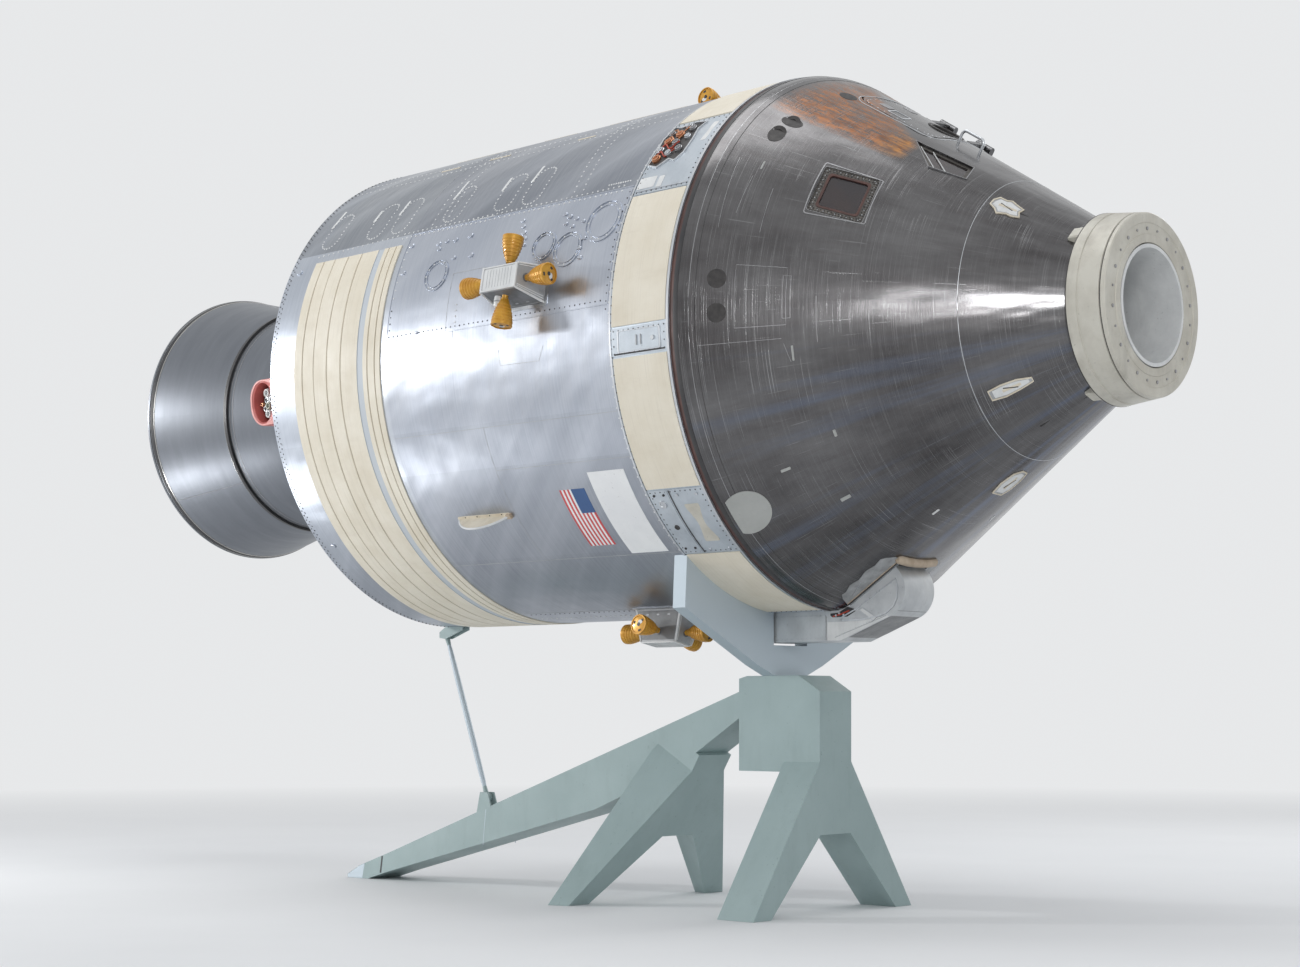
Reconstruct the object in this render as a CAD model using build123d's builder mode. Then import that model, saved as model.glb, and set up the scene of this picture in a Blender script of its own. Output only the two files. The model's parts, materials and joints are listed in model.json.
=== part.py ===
"""Crew capsule with its service module, main engine bell and museum stand.

Units are millimetres. The floor is z = 0 and the craft's long axis lies along +X, nose forward.
A station is a distance along that axis, measured forward from the service module's aft rim.
A bearing is an angle round the axis in degrees: 0 faces -Y, 90 is up, -90 is down.
"""

from math import acos, asin, atan2, cos, hypot, radians, sin, sqrt, tan
import os

from build123d import *

os.makedirs("parts", exist_ok=True)

# Overall places
AXIS_HEIGHT = 4190
NOZZLE_OVERHANG = 2770

# Service module
SERVICE_RADIUS = 1956
SKIN = 40
FAIRING_STATION = 3800
FAIRING_LENGTH = 550
FAIRING_FRONT = FAIRING_STATION + FAIRING_LENGTH
BULKHEAD_STATION = 60
BULKHEAD_THICK = 40
WELL_LEDGE = 80
WELL_FRONT = 1300
WELL_WALL = 20
PANEL_THICK = 8
GROOVE_WIDTH = 10
GROOVE_DEPTH = 4

# Main engine
GIMBAL_STATION = 450
MOUNT_PLATE = 80
BLOCK_RADIUS = 300
BLOCK_BEHIND_GIMBAL = 150
BLOCK_CLEARANCE = 150
THROAT_RADIUS = 170
BELL_MID_STATION = -1235
BELL_MID_RADIUS = 800
BELL_EXIT_RADIUS = 1226
BELL_JOINT_STATION = -1880
BELL_WALL = 12
LIP_RADIAL = 14
LIP_LENGTH = 22
JOINT_RING_LENGTH = 36
JOINT_RING_RADIAL = 14
BOWL_RADIUS = 1220
BOOT_THICK = 14
BOOT_GAP = 12
SKIRT_SPHERE = BOWL_RADIUS + BOOT_THICK + BOOT_GAP
SKIRT_LIP_RADIUS = 800
BOWL_EDGE_RADIUS = 910
BOWL_SEAT = 0.5
GIMBAL_RING_GAP = 100
GIMBAL_RING_WALL = 50
GIMBAL_RING_LENGTH = 120
TRUNNION_RADIUS = 25
TRUNNION_CLEARANCE = 0.05
TRUNNION_END = 40
TRUNNION_ROOT = 10
MOUNT_ARM_GAP = 10
MOUNT_ARM_THICK = 60
MOUNT_ARM_WIDTH = 160

# Crew module cone
CONE_ANGLE = 33
CORNER_RADIUS = 196
CORNER_AHEAD = 49
SHIELD_SPHERE = 4694
SHIELD_WALL = 90
SEAM_AHEAD = 136
COVER_LENGTH = 625
CREW_WALL = 60
COVER_WALL = 40
TIP_RADIUS = 548
COLLAR_LENGTH = 275
COLLAR_REAR_RADIUS = 644
COLLAR_FRONT_RADIUS = 610
COLLAR_WALL = 40
TUNNEL_RADIUS = 380
TUNNEL_WALL = 25
TUNNEL_INSIDE = 100

# Windows and hatch on the crew module, placed ahead of its widest circle
SIDE_WINDOW_AHEAD = 851
SIDE_WINDOW_BEARING = 33.5
SIDE_WINDOW_SIZE = 400
FRAME_RIM = 60
FRAME_RECESS = 16
WINDOW_CORNER = 20
RENDEZVOUS_RIM = 30
PANE_THICK = 16
PANE_DEPTH = 40
HATCH_AHEAD = 701
HATCH_BEARING = 90
HATCH_WIDTH = 860
HATCH_HEIGHT = 740
HATCH_CORNER = 110
HATCH_GAP = 12
HATCH_WINDOW_RADIUS = 115
HATCH_WINDOW_UP = 175
HINGE_OUT = 45
HINGE_SIDE = 45
KNUCKLE_RADIUS = 24
KNUCKLE_LENGTH = 50
KNUCKLE_GAP = 3
HINGE_PIN_RADIUS = 12
HINGE_PIN_CLEARANCE = 0.3

# Thruster quads
QUAD_STATION = 2910
QUAD_BEARING = 10.5
QUAD_BASE_LENGTH = 460
QUAD_BASE_WIDTH = 260
QUAD_TOP_LENGTH = 360
QUAD_TOP_WIDTH = 180
QUAD_OUT = 250
QUAD_BELL_LENGTH = 230
QUAD_BELL_NECK = 36
QUAD_BELL_EXIT = 78
QUAD_BELL_OUT = 165

# Stand
ARM_HALF_WIDTH = 190
FOOT_OUT = 940
LEG_TOP_DROP = 3140
ARCH_HEIGHT = 590
LEG_DEPTH = 340
REAR_LEG_DEPTH = 520
REAR_LEG_STATION = 2820
REAR_LEG_RAKE = 0.588
STRUT_RADIUS = 25


def sine(angle):
    return sin(radians(angle))


def cosine(angle):
    return cos(radians(angle))


# Places that follow: the cone runs from its rounded rim up to the collar's radius
CONE_SLOPE = tan(radians(CONE_ANGLE))
CORNER_STATION = FAIRING_FRONT + CORNER_AHEAD
CORNER_RING = SERVICE_RADIUS - CORNER_RADIUS
CONE_START = CORNER_STATION + CORNER_RADIUS * sine(CONE_ANGLE)
CONE_START_RADIUS = CORNER_RING + CORNER_RADIUS * cosine(CONE_ANGLE)
SHIELD_SEAM = CORNER_STATION + SEAM_AHEAD
COLLAR_STATION = CONE_START + (CONE_START_RADIUS - TIP_RADIUS) / CONE_SLOPE
COVER_SEAM = COLLAR_STATION - COVER_LENGTH
TUNNEL_REAR = COVER_SEAM - TUNNEL_INSIDE
NOSE_STATION = COLLAR_STATION + COLLAR_LENGTH
HATCH_STATION = CORNER_STATION + HATCH_AHEAD
SIDE_WINDOW_STATION = CORNER_STATION + SIDE_WINDOW_AHEAD
RIM_X = (NOZZLE_OVERHANG - NOSE_STATION) / 2
CRAFT_AXIS = Axis((RIM_X, 0, AXIS_HEIGHT), (-1, 0, 0))

# The skirt's foot, the well inside it, and what the well holds
SKIRT_FOOT_RADIUS = sqrt(SKIRT_SPHERE**2 - (GIMBAL_STATION - BULKHEAD_STATION) ** 2)
WELL_RADIUS = SKIRT_FOOT_RADIUS - WELL_LEDGE
ENGINE_MOUNT_FRONT = WELL_FRONT - WELL_WALL - MOUNT_PLATE
BLOCK_AFT = GIMBAL_STATION - BLOCK_BEHIND_GIMBAL
BLOCK_FRONT = ENGINE_MOUNT_FRONT - BLOCK_CLEARANCE
GIMBAL_RING_INNER = BLOCK_RADIUS + GIMBAL_RING_GAP
GIMBAL_RING_OUTER = GIMBAL_RING_INNER + GIMBAL_RING_WALL
MOUNT_ARM_INNER = GIMBAL_RING_OUTER + MOUNT_ARM_GAP
TRUNNION_REACH = MOUNT_ARM_INNER + MOUNT_ARM_THICK + TRUNNION_END


def slice_at(bearing):
    """Plane through the craft's axis: local x is the station, local y the radius."""
    return Plane(
        origin=(RIM_X, 0, AXIS_HEIGHT),
        x_dir=(1, 0, 0),
        z_dir=(0, -sine(bearing), -cosine(bearing)),
    )


def station(along):
    """Plane across the craft: local x to the far side, local y up."""
    return Plane(origin=(RIM_X + along, 0, AXIS_HEIGHT), x_dir=(0, 1, 0), z_dir=(1, 0, 0))


def radial(along, bearing, radius):
    """Plane that faces outwards: local x forward, local y round towards higher bearings."""
    return Plane(
        origin=(RIM_X + along, -radius * cosine(bearing), AXIS_HEIGHT + radius * sine(bearing)),
        x_dir=(1, 0, 0),
        z_dir=(0, -cosine(bearing), sine(bearing)),
    )


def on_cone(along, bearing, out=0):
    """Plane on the crew module's cone, facing outwards: local x up the slant towards the nose."""
    lean, rise = sine(CONE_ANGLE), cosine(CONE_ANGLE)
    radius = cone_radius(along) + out * rise
    place = along + out * lean
    return Plane(
        origin=(RIM_X + place, -radius * cosine(bearing), AXIS_HEIGHT + radius * sine(bearing)),
        x_dir=(rise, lean * cosine(bearing), -lean * sine(bearing)),
        z_dir=(lean, -rise * cosine(bearing), rise * sine(bearing)),
    )


def cone_radius(along):
    """Outer radius of the cone at a station."""
    return CONE_START_RADIUS - CONE_SLOPE * (along - CONE_START)


def save(part, name):
    """Write one piece under its own name."""
    part.label = name
    export_step(part, f"parts/{name}.step")


def polygon(plane, *corners):
    """Flat outline with straight sides on a plane."""
    with BuildSketch(plane) as face:
        with BuildLine():
            Polyline(*corners, close=True)
        make_face()
    return face.sketch


# Service module skin: one plain tube
with BuildPart() as service_shell:
    with BuildSketch(slice_at(0)):
        with BuildLine():
            Polyline(
                (0, SERVICE_RADIUS - SKIN),
                (0, SERVICE_RADIUS),
                (FAIRING_STATION, SERVICE_RADIUS),
                (FAIRING_STATION, SERVICE_RADIUS - SKIN),
                close=True,
            )
        make_face()
    revolve(axis=CRAFT_AXIS)
save(service_shell.part, "service_shell")

# Aft bulkhead with the well that the engine stands in
with BuildPart() as aft_bulkhead:
    with BuildSketch(slice_at(0)):
        with BuildLine():
            Polyline(
                (BULKHEAD_STATION, SERVICE_RADIUS - SKIN),
                (BULKHEAD_STATION, WELL_RADIUS),
                (WELL_FRONT - WELL_WALL, WELL_RADIUS),
                (WELL_FRONT - WELL_WALL, 0),
                (WELL_FRONT, 0),
                (WELL_FRONT, WELL_RADIUS + WELL_WALL),
                (BULKHEAD_STATION + BULKHEAD_THICK, WELL_RADIUS + WELL_WALL),
                (BULKHEAD_STATION + BULKHEAD_THICK, SERVICE_RADIUS - SKIN),
                close=True,
            )
        make_face()
    revolve(axis=CRAFT_AXIS)
save(aft_bulkhead.part, "aft_bulkhead")

# Engine mount: a plate on the well's front wall with two arms that hold the gimbal ring
with BuildPart() as engine_mount:
    with BuildSketch(station(ENGINE_MOUNT_FRONT)):
        Circle(MOUNT_ARM_INNER + MOUNT_ARM_THICK)
    extrude(amount=MOUNT_PLATE)
    for side in (-1, 1):
        with BuildSketch(station(GIMBAL_STATION - MOUNT_ARM_WIDTH / 2)):
            with Locations((0, side * (MOUNT_ARM_INNER + MOUNT_ARM_THICK / 2))):
                Rectangle(MOUNT_ARM_WIDTH, MOUNT_ARM_THICK)
        extrude(amount=ENGINE_MOUNT_FRONT - GIMBAL_STATION + MOUNT_ARM_WIDTH / 2)
    with BuildSketch(radial(GIMBAL_STATION, 90, 0)):
        Circle(TRUNNION_RADIUS + TRUNNION_CLEARANCE)
    extrude(amount=2 * TRUNNION_REACH, both=True, mode=Mode.SUBTRACT)
save(engine_mount.part, "engine_mount")

# Gimbal ring with its outer trunnions, which stand up and down
with BuildPart() as gimbal_ring:
    with BuildSketch(station(GIMBAL_STATION - GIMBAL_RING_LENGTH / 2)):
        Circle(GIMBAL_RING_OUTER)
        Circle(GIMBAL_RING_INNER, mode=Mode.SUBTRACT)
    extrude(amount=GIMBAL_RING_LENGTH)
    for bearing in (90, -90):
        with BuildSketch(radial(GIMBAL_STATION, bearing, GIMBAL_RING_INNER + TRUNNION_ROOT)):
            Circle(TRUNNION_RADIUS)
        extrude(amount=TRUNNION_REACH - GIMBAL_RING_INNER - TRUNNION_ROOT)
    with BuildSketch(radial(GIMBAL_STATION, 0, 0)):
        Circle(TRUNNION_RADIUS + TRUNNION_CLEARANCE)
    extrude(amount=TRUNNION_REACH, both=True, mode=Mode.SUBTRACT)
save(gimbal_ring.part, "gimbal_ring")

# Engine block: the thrust chamber and its injector as one plain mass with side trunnions
with BuildPart() as engine_block:
    with BuildSketch(station(BLOCK_AFT)):
        Circle(BLOCK_RADIUS)
    extrude(amount=BLOCK_FRONT - BLOCK_AFT)
    with BuildSketch(radial(GIMBAL_STATION, 0, -GIMBAL_RING_OUTER)):
        Circle(TRUNNION_RADIUS)
    extrude(amount=2 * GIMBAL_RING_OUTER)
save(engine_block.part, "engine_block")


def circle_through(first, middle, last):
    """Centre and radius of the circle through three points of the bell's outline."""
    (ax, ay), (bx, by), (cx, cy) = first, middle, last
    det = 2 * (ax * (by - cy) + bx * (cy - ay) + cx * (ay - by))
    a2, b2, c2 = ax * ax + ay * ay, bx * bx + by * by, cx * cx + cy * cy
    ux = (a2 * (by - cy) + b2 * (cy - ay) + c2 * (ay - by)) / det
    uy = (a2 * (cx - bx) + b2 * (ax - cx) + c2 * (bx - ax)) / det
    return ux, uy, hypot(ax - ux, ay - uy)


BELL = circle_through(
    (BLOCK_AFT, THROAT_RADIUS),
    (BELL_MID_STATION, BELL_MID_RADIUS),
    (-NOZZLE_OVERHANG, BELL_EXIT_RADIUS),
)


def bell_point(along, inwards=0):
    """Point of the bell's outline at a station, or of its inner face."""
    x, y, radius = BELL
    return along, y + sqrt((radius - inwards) ** 2 - (along - x) ** 2)


def bell_shell(front, aft):
    """Face of the bell's wall between two stations."""
    middle = (front + aft) / 2
    with BuildSketch(slice_at(0)) as face:
        with BuildLine():
            ThreePointArc(bell_point(front), bell_point(middle), bell_point(aft))
            Line(bell_point(aft), bell_point(aft, BELL_WALL))
            ThreePointArc(
                bell_point(aft, BELL_WALL),
                bell_point(middle, BELL_WALL),
                bell_point(front, BELL_WALL),
            )
            Line(bell_point(front, BELL_WALL), bell_point(front))
        make_face()
    return face.sketch


with BuildPart() as nozzle:
    revolve(bell_shell(BLOCK_AFT, BELL_JOINT_STATION), axis=CRAFT_AXIS)
save(nozzle.part, "nozzle")

with BuildPart() as nozzle_extension:
    revolve(bell_shell(BELL_JOINT_STATION, -NOZZLE_OVERHANG), axis=CRAFT_AXIS)
    with BuildSketch(slice_at(0)):
        with Locations(
            (-NOZZLE_OVERHANG + LIP_LENGTH / 2, BELL_EXIT_RADIUS - BELL_WALL + LIP_RADIAL / 2)
        ):
            Rectangle(LIP_LENGTH, LIP_RADIAL)
    revolve(axis=CRAFT_AXIS)
save(nozzle_extension.part, "nozzle_extension")

# Dark ring where the extension bolts to the upper bell
joint_radius = bell_point(BELL_JOINT_STATION - JOINT_RING_LENGTH / 2)[1]
ring_front = BELL_JOINT_STATION + JOINT_RING_LENGTH / 2
ring_aft = BELL_JOINT_STATION - JOINT_RING_LENGTH / 2
with BuildPart() as nozzle_ring:
    with BuildSketch(slice_at(0)):
        with BuildLine():
            ThreePointArc(
                bell_point(ring_front), bell_point(BELL_JOINT_STATION), bell_point(ring_aft)
            )
            Polyline(
                bell_point(ring_aft),
                (ring_aft, joint_radius + JOINT_RING_RADIAL),
                (ring_front, joint_radius + JOINT_RING_RADIAL),
                bell_point(ring_front),
            )
        make_face()
    revolve(axis=CRAFT_AXIS)
save(nozzle_ring.part, "nozzle_ring")


def dome_shell(inner, thick, low_turn, high_turn):
    """Face of a spherical wall centred on the gimbal, between two turns from the axis.

    low_turn gives the turn of the rear edge on a sphere of any radius.
    """
    outer = inner + thick

    def at(sphere, share):
        turn = low_turn(sphere) + share * (high_turn - low_turn(sphere))
        return GIMBAL_STATION - sphere * cos(turn), sphere * sin(turn)

    with BuildSketch(slice_at(0)) as face:
        with BuildLine():
            ThreePointArc(at(inner, 0), at(inner, 0.5), at(inner, 1))
            Line(at(inner, 1), at(outer, 1))
            ThreePointArc(at(outer, 1), at(outer, 0.5), at(outer, 0))
            Line(at(outer, 0), at(inner, 0))
        make_face()
    return face.sketch


def turn_at_bell(sphere):
    """Turn from the axis at which a sphere round the gimbal meets the bell's outside."""
    x, y, radius = BELL
    radius += BOWL_SEAT
    across, up = x - GIMBAL_STATION, y
    apart = hypot(across, up)
    along = (sphere**2 - radius**2 + apart**2) / (2 * apart)
    off = sqrt(sphere**2 - along**2)
    meet_x = along * across / apart - off * up / apart
    meet_y = along * up / apart + off * across / apart
    if meet_y < 0:
        meet_x = along * across / apart + off * up / apart
        meet_y = along * up / apart - off * across / apart
    return atan2(meet_y, -meet_x)


# Thermal boot: a bowl that swings with the bell, inside a skirt on the bulkhead
with BuildPart() as boot_bowl:
    bowl_edge = asin(BOWL_EDGE_RADIUS / BOWL_RADIUS)
    revolve(dome_shell(BOWL_RADIUS, BOOT_THICK, turn_at_bell, bowl_edge), axis=CRAFT_AXIS)
save(boot_bowl.part, "boot_bowl")

with BuildPart() as boot_skirt:
    skirt_lip = asin(SKIRT_LIP_RADIUS / SKIRT_SPHERE)
    skirt_foot = acos((GIMBAL_STATION - BULKHEAD_STATION) / SKIRT_SPHERE)
    revolve(
        dome_shell(SKIRT_SPHERE, BOOT_THICK, lambda sphere: skirt_lip, skirt_foot),
        axis=CRAFT_AXIS,
    )
save(boot_skirt.part, "boot_skirt")


def band(low_bearing, high_bearing, aft, front, inner, outer):
    """Curved panel of the craft's skin between two bearings and two stations."""
    corners = ((aft, inner), (aft, outer), (front, outer), (front, inner))
    face = polygon(slice_at(low_bearing), *corners)
    revolve(face, axis=CRAFT_AXIS, revolution_arc=high_bearing - low_bearing)


def groove(low_bearing, high_bearing, along, outer, width=GROOVE_WIDTH):
    """Shallow line cut round a panel."""
    with BuildSketch(slice_at(low_bearing)) as face:
        with Locations((along, outer)):
            Rectangle(width, 2 * GROOVE_DEPTH)
    arc = high_bearing - low_bearing
    revolve(face.sketch, axis=CRAFT_AXIS, revolution_arc=arc, mode=Mode.SUBTRACT)


# Cooling radiators: two wide striped panels, half a turn apart
RADIATOR_LOW = -102
RADIATOR_HIGH = 28
RADIATOR_AFT = 314
RADIATOR_BAND_END = 1090
RADIATOR_BAND_START = 1160
RADIATOR_FRONT = 1360
RADIATOR_LINES = (416, 558, 719, 888, 1213, 1300)
PANEL_OUTER = SERVICE_RADIUS + PANEL_THICK
for name, turn in (("radiator_near", 0), ("radiator_far", 180)):
    with BuildPart() as radiator:
        low, high = RADIATOR_LOW + turn, RADIATOR_HIGH + turn
        band(low, high, RADIATOR_AFT, RADIATOR_FRONT, SERVICE_RADIUS, PANEL_OUTER)
        for line in RADIATOR_LINES:
            groove(low, high, line, PANEL_OUTER)
        band_gap = RADIATOR_BAND_START - RADIATOR_BAND_END
        groove(low, high, RADIATOR_BAND_END + band_gap / 2, PANEL_OUTER, band_gap)
    save(radiator.part, name)

# Fairing ring in front of the service module, with a seat inside for the crew module's rim
SEAT_FRONT = FAIRING_FRONT - 10
SEAT_REAR = CORNER_STATION - CORNER_RADIUS + 35
SEAT_FOOT = 60


def corner_point(along):
    """Point of the crew module's rounded rim at a station behind its widest circle."""
    return along, CORNER_RING + sqrt(CORNER_RADIUS**2 - (CORNER_STATION - along) ** 2)


with BuildPart() as fairing:
    with BuildSketch(slice_at(0)):
        with BuildLine():
            Polyline(
                corner_point(SEAT_REAR),
                (SEAT_REAR - SEAT_FOOT, SERVICE_RADIUS - SKIN),
                (FAIRING_STATION, SERVICE_RADIUS - SKIN),
                (FAIRING_STATION, SERVICE_RADIUS),
                (FAIRING_FRONT, SERVICE_RADIUS),
                corner_point(SEAT_FRONT),
            )
            ThreePointArc(
                corner_point(SEAT_FRONT),
                corner_point((SEAT_FRONT + SEAT_REAR) / 2),
                corner_point(SEAT_REAR),
            )
        make_face()
    revolve(axis=CRAFT_AXIS)
save(fairing.part, "fairing")

# Eight flat radiators round the fairing: low bearing, high bearing
RADIATOR_MARGIN_AFT = 20
RADIATOR_MARGIN_FRONT = 30
FAIRING_PANELS = [
    (-82, -53),
    (-35.2, -7.4),
    (-1, 27.4),
    (50.3, 78),
    (98, 127),
    (144.8, 172.6),
    (179, 207.4),
    (230.3, 258),
]
with BuildPart() as fairing_radiators:
    for low, high in FAIRING_PANELS:
        aft = FAIRING_STATION + RADIATOR_MARGIN_AFT
        front = FAIRING_FRONT - RADIATOR_MARGIN_FRONT
        band(low, high, aft, front, SERVICE_RADIUS, PANEL_OUTER)
save(fairing_radiators.part, "fairing_radiators")

# Connectors and latches between the fairing's radiators, on each side of the craft:
# place ahead of the fairing's rear edge, bearing, radius, height above the skin
FAIRING_FITTINGS = [
    (115, 44.5, 45, 30),
    (185, 40.5, 55, 38),
    (260, 37.5, 40, 26),
    (290, 43.0, 34, 30),
    (100, 36.0, 30, 22),
    (350, 40.0, 48, 16),
    (105, -41.0, 26, 14),
    (105, -48.0, 26, 14),
    (450, -44.5, 30, 12),
    (275, -4.2, 24, 12),
]
with BuildPart() as fairing_fittings:
    for ahead, bearing, radius, rise in FAIRING_FITTINGS:
        for side in (bearing, 180 + bearing):
            foot = radial(FAIRING_STATION + ahead, side, SERVICE_RADIUS - SKIN / 2)
            with BuildSketch(foot):
                Circle(radius)
            extrude(amount=SKIN / 2 + rise)
    with BuildSketch(station(FAIRING_STATION)):
        Circle(SERVICE_RADIUS)
    extrude(amount=FAIRING_LENGTH, mode=Mode.SUBTRACT)
save(fairing_fittings.part, "fairing_fittings")

# Thruster quads: four housings a quarter turn apart, each with four gold bells
QUADS = {
    "near": QUAD_BEARING,
    "upper": QUAD_BEARING + 90,
    "far": QUAD_BEARING + 180,
    "lower": QUAD_BEARING - 90,
}
# Direction of each bell on its housing: along the craft, round the craft
QUAD_BELLS = [(-1, 0), (1, 0), (0, -1), (0, 1)]
for name, bearing in QUADS.items():
    base = radial(QUAD_STATION, bearing, SERVICE_RADIUS - SKIN / 2)
    rise = QUAD_OUT + SKIN / 2
    with BuildPart() as housing:
        with BuildSketch(base):
            Rectangle(QUAD_BASE_LENGTH, QUAD_BASE_WIDTH)
        with BuildSketch(base.offset(rise)):
            Rectangle(QUAD_TOP_LENGTH, QUAD_TOP_WIDTH)
        loft()
        with BuildSketch(station(QUAD_STATION)):
            Circle(SERVICE_RADIUS)
        extrude(amount=QUAD_BASE_LENGTH, both=True, mode=Mode.SUBTRACT)
    save(housing.part, f"quad_housing_{name}")
    share = QUAD_BELL_OUT / QUAD_OUT
    reach = {
        0: (QUAD_BASE_LENGTH + share * (QUAD_TOP_LENGTH - QUAD_BASE_LENGTH)) / 2,
        1: (QUAD_BASE_WIDTH + share * (QUAD_TOP_WIDTH - QUAD_BASE_WIDTH)) / 2,
    }
    with BuildPart() as bells:
        for forward, round_way in QUAD_BELLS:
            face = radial(QUAD_STATION, bearing, SERVICE_RADIUS + QUAD_BELL_OUT)
            start = reach[0] if forward else reach[1]
            out = face.x_dir * forward + face.y_dir * round_way
            bell_axis = Plane(origin=face.origin + out * start, x_dir=face.z_dir, z_dir=out)
            with BuildSketch(bell_axis):
                Circle(QUAD_BELL_NECK)
            with BuildSketch(bell_axis.offset(QUAD_BELL_LENGTH)):
                Circle(QUAD_BELL_EXIT)
            loft()
            with BuildSketch(bell_axis):
                Circle(QUAD_BELL_NECK)
            extrude(amount=-QUAD_BELL_NECK)
        add(housing.part, mode=Mode.SUBTRACT)
    save(bells.part, f"quad_bells_{name}")

# Blade antennas: two half discs standing on the skin
BLADE_STATION = 2080
BLADE_BEARING = -38.5
BLADE_LENGTH = 560
BLADE_HEIGHT = 150
BLADE_THICK = 14
with BuildPart() as blade_antennas:
    for bearing in (BLADE_BEARING, BLADE_BEARING + 180):
        foot = radial(BLADE_STATION, bearing, SERVICE_RADIUS)
        upright = Plane(origin=foot.origin, x_dir=foot.x_dir, z_dir=-foot.y_dir)
        with BuildSketch(upright):
            with BuildLine():
                Line((-BLADE_LENGTH / 2, 0), (BLADE_LENGTH / 2, 0))
                ThreePointArc((BLADE_LENGTH / 2, 0), (0, BLADE_HEIGHT), (-BLADE_LENGTH / 2, 0))
            make_face()
        extrude(amount=BLADE_THICK / 2, both=True)
save(blade_antennas.part, "blade_antennas")

# Connector on the aft rim: a pale flared mount under a red housing with an oval mouth
CONNECTOR_BEARING = -5.2
CONNECTOR_LENGTH = 330
CONNECTOR_HEIGHT = 380
CONNECTOR_DEPTH = 260
CONNECTOR_INSET = 36
CONNECTOR_OUT = SERVICE_RADIUS - CONNECTOR_INSET
MOUTH_SIDE_WALL = 50
MOUTH_END_WALL = 30
MOUTH_FLOOR = 104
with BuildPart() as connector_block:
    face = radial(-CONNECTOR_LENGTH / 2, CONNECTOR_BEARING, CONNECTOR_OUT - CONNECTOR_DEPTH)
    with BuildSketch(face):
        RectangleRounded(CONNECTOR_LENGTH, CONNECTOR_HEIGHT, CONNECTOR_LENGTH / 2 - 1)
        with Locations((CONNECTOR_LENGTH / 4, 0)):
            Rectangle(CONNECTOR_LENGTH / 2, CONNECTOR_HEIGHT)
    extrude(amount=CONNECTOR_DEPTH)
with BuildPart() as connector_housing:
    add(connector_block.part)
    with BuildSketch(face.offset(CONNECTOR_DEPTH)):
        Ellipse(CONNECTOR_LENGTH / 2 - MOUTH_SIDE_WALL, CONNECTOR_HEIGHT / 2 - MOUTH_END_WALL)
    extrude(amount=MOUTH_FLOOR - CONNECTOR_DEPTH, mode=Mode.SUBTRACT)
save(connector_housing.part, "connector_housing")

# The pale mount behind it stands on the bulkhead and runs further down than up
MOUNT_AFT = -95
MOUNT_DEPTH = 240
MOUNT_OUTER = SERVICE_RADIUS - SKIN - 36
MOUNT_INNER = MOUNT_OUTER - MOUNT_DEPTH
with BuildPart() as connector_mount:
    with BuildSketch(radial(0, CONNECTOR_BEARING, MOUNT_INNER)):
        with BuildLine():
            Polyline(
                (BULKHEAD_STATION, 325),
                (0, 305),
                (MOUNT_AFT, 210),
                (MOUNT_AFT, -210),
                (0, -540),
                (BULKHEAD_STATION, -560),
                close=True,
            )
        make_face()
    extrude(amount=MOUNT_OUTER - MOUNT_INNER)
    with BuildSketch(station(MOUNT_AFT)):
        Circle(MOUNT_OUTER)
    extrude(amount=BULKHEAD_STATION - MOUNT_AFT, mode=Mode.INTERSECT)
    add(connector_block.part, mode=Mode.SUBTRACT)
save(connector_mount.part, "connector_mount")

# Crew module base: the dished heat shield with its rounded rim
sphere_centre = CORNER_STATION + sqrt((SHIELD_SPHERE - CORNER_RADIUS) ** 2 - CORNER_RING**2)
to_corner = atan2(CORNER_RING, sphere_centre - CORNER_STATION)
shield_edge = (
    sphere_centre - SHIELD_SPHERE * cos(to_corner),
    SHIELD_SPHERE * sin(to_corner),
)
shield_mid = (
    sphere_centre - SHIELD_SPHERE * cos(to_corner / 2),
    SHIELD_SPHERE * sin(to_corner / 2),
)
shield_inner = SHIELD_SPHERE - SHIELD_WALL
inner_edge_radius = CORNER_RING - SHIELD_WALL
inner_edge = sphere_centre - sqrt(shield_inner**2 - inner_edge_radius**2)
inner_mid = sphere_centre - sqrt(shield_inner**2 - (inner_edge_radius / 2) ** 2)
with BuildPart() as heat_shield:
    with BuildSketch(slice_at(0)):
        with BuildLine():
            ThreePointArc((sphere_centre - SHIELD_SPHERE, 0), shield_mid, shield_edge)
            ThreePointArc(
                shield_edge,
                (CORNER_STATION, SERVICE_RADIUS),
                (CONE_START, CONE_START_RADIUS),
            )
            Polyline(
                (CONE_START, CONE_START_RADIUS),
                (SHIELD_SEAM, cone_radius(SHIELD_SEAM)),
                (SHIELD_SEAM, cone_radius(SHIELD_SEAM) - CREW_WALL),
                (CORNER_STATION, inner_edge_radius),
                (inner_edge, inner_edge_radius),
            )
            ThreePointArc(
                (inner_edge, inner_edge_radius),
                (inner_mid, inner_edge_radius / 2),
                (sphere_centre - shield_inner, 0),
            )
            Line((sphere_centre - shield_inner, 0), (sphere_centre - SHIELD_SPHERE, 0))
        make_face()
    revolve(axis=CRAFT_AXIS)
save(heat_shield.part, "heat_shield")


def cone_wall(aft, front, wall, outwards=0):
    """Face of the cone's wall between two stations, measured square to the slant."""
    lean, rise = sine(CONE_ANGLE), cosine(CONE_ANGLE)
    thick = (wall + outwards) / rise
    top = outwards / rise
    return polygon(
        slice_at(HATCH_BEARING),
        (aft, cone_radius(aft) + top),
        (front, cone_radius(front) + top),
        (front, cone_radius(front) + top - thick),
        (aft, cone_radius(aft) + top - thick),
    )


SIDE_WINDOWS = [
    on_cone(SIDE_WINDOW_STATION, SIDE_WINDOW_BEARING),
    on_cone(SIDE_WINDOW_STATION, 180 - SIDE_WINDOW_BEARING),
]
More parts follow.
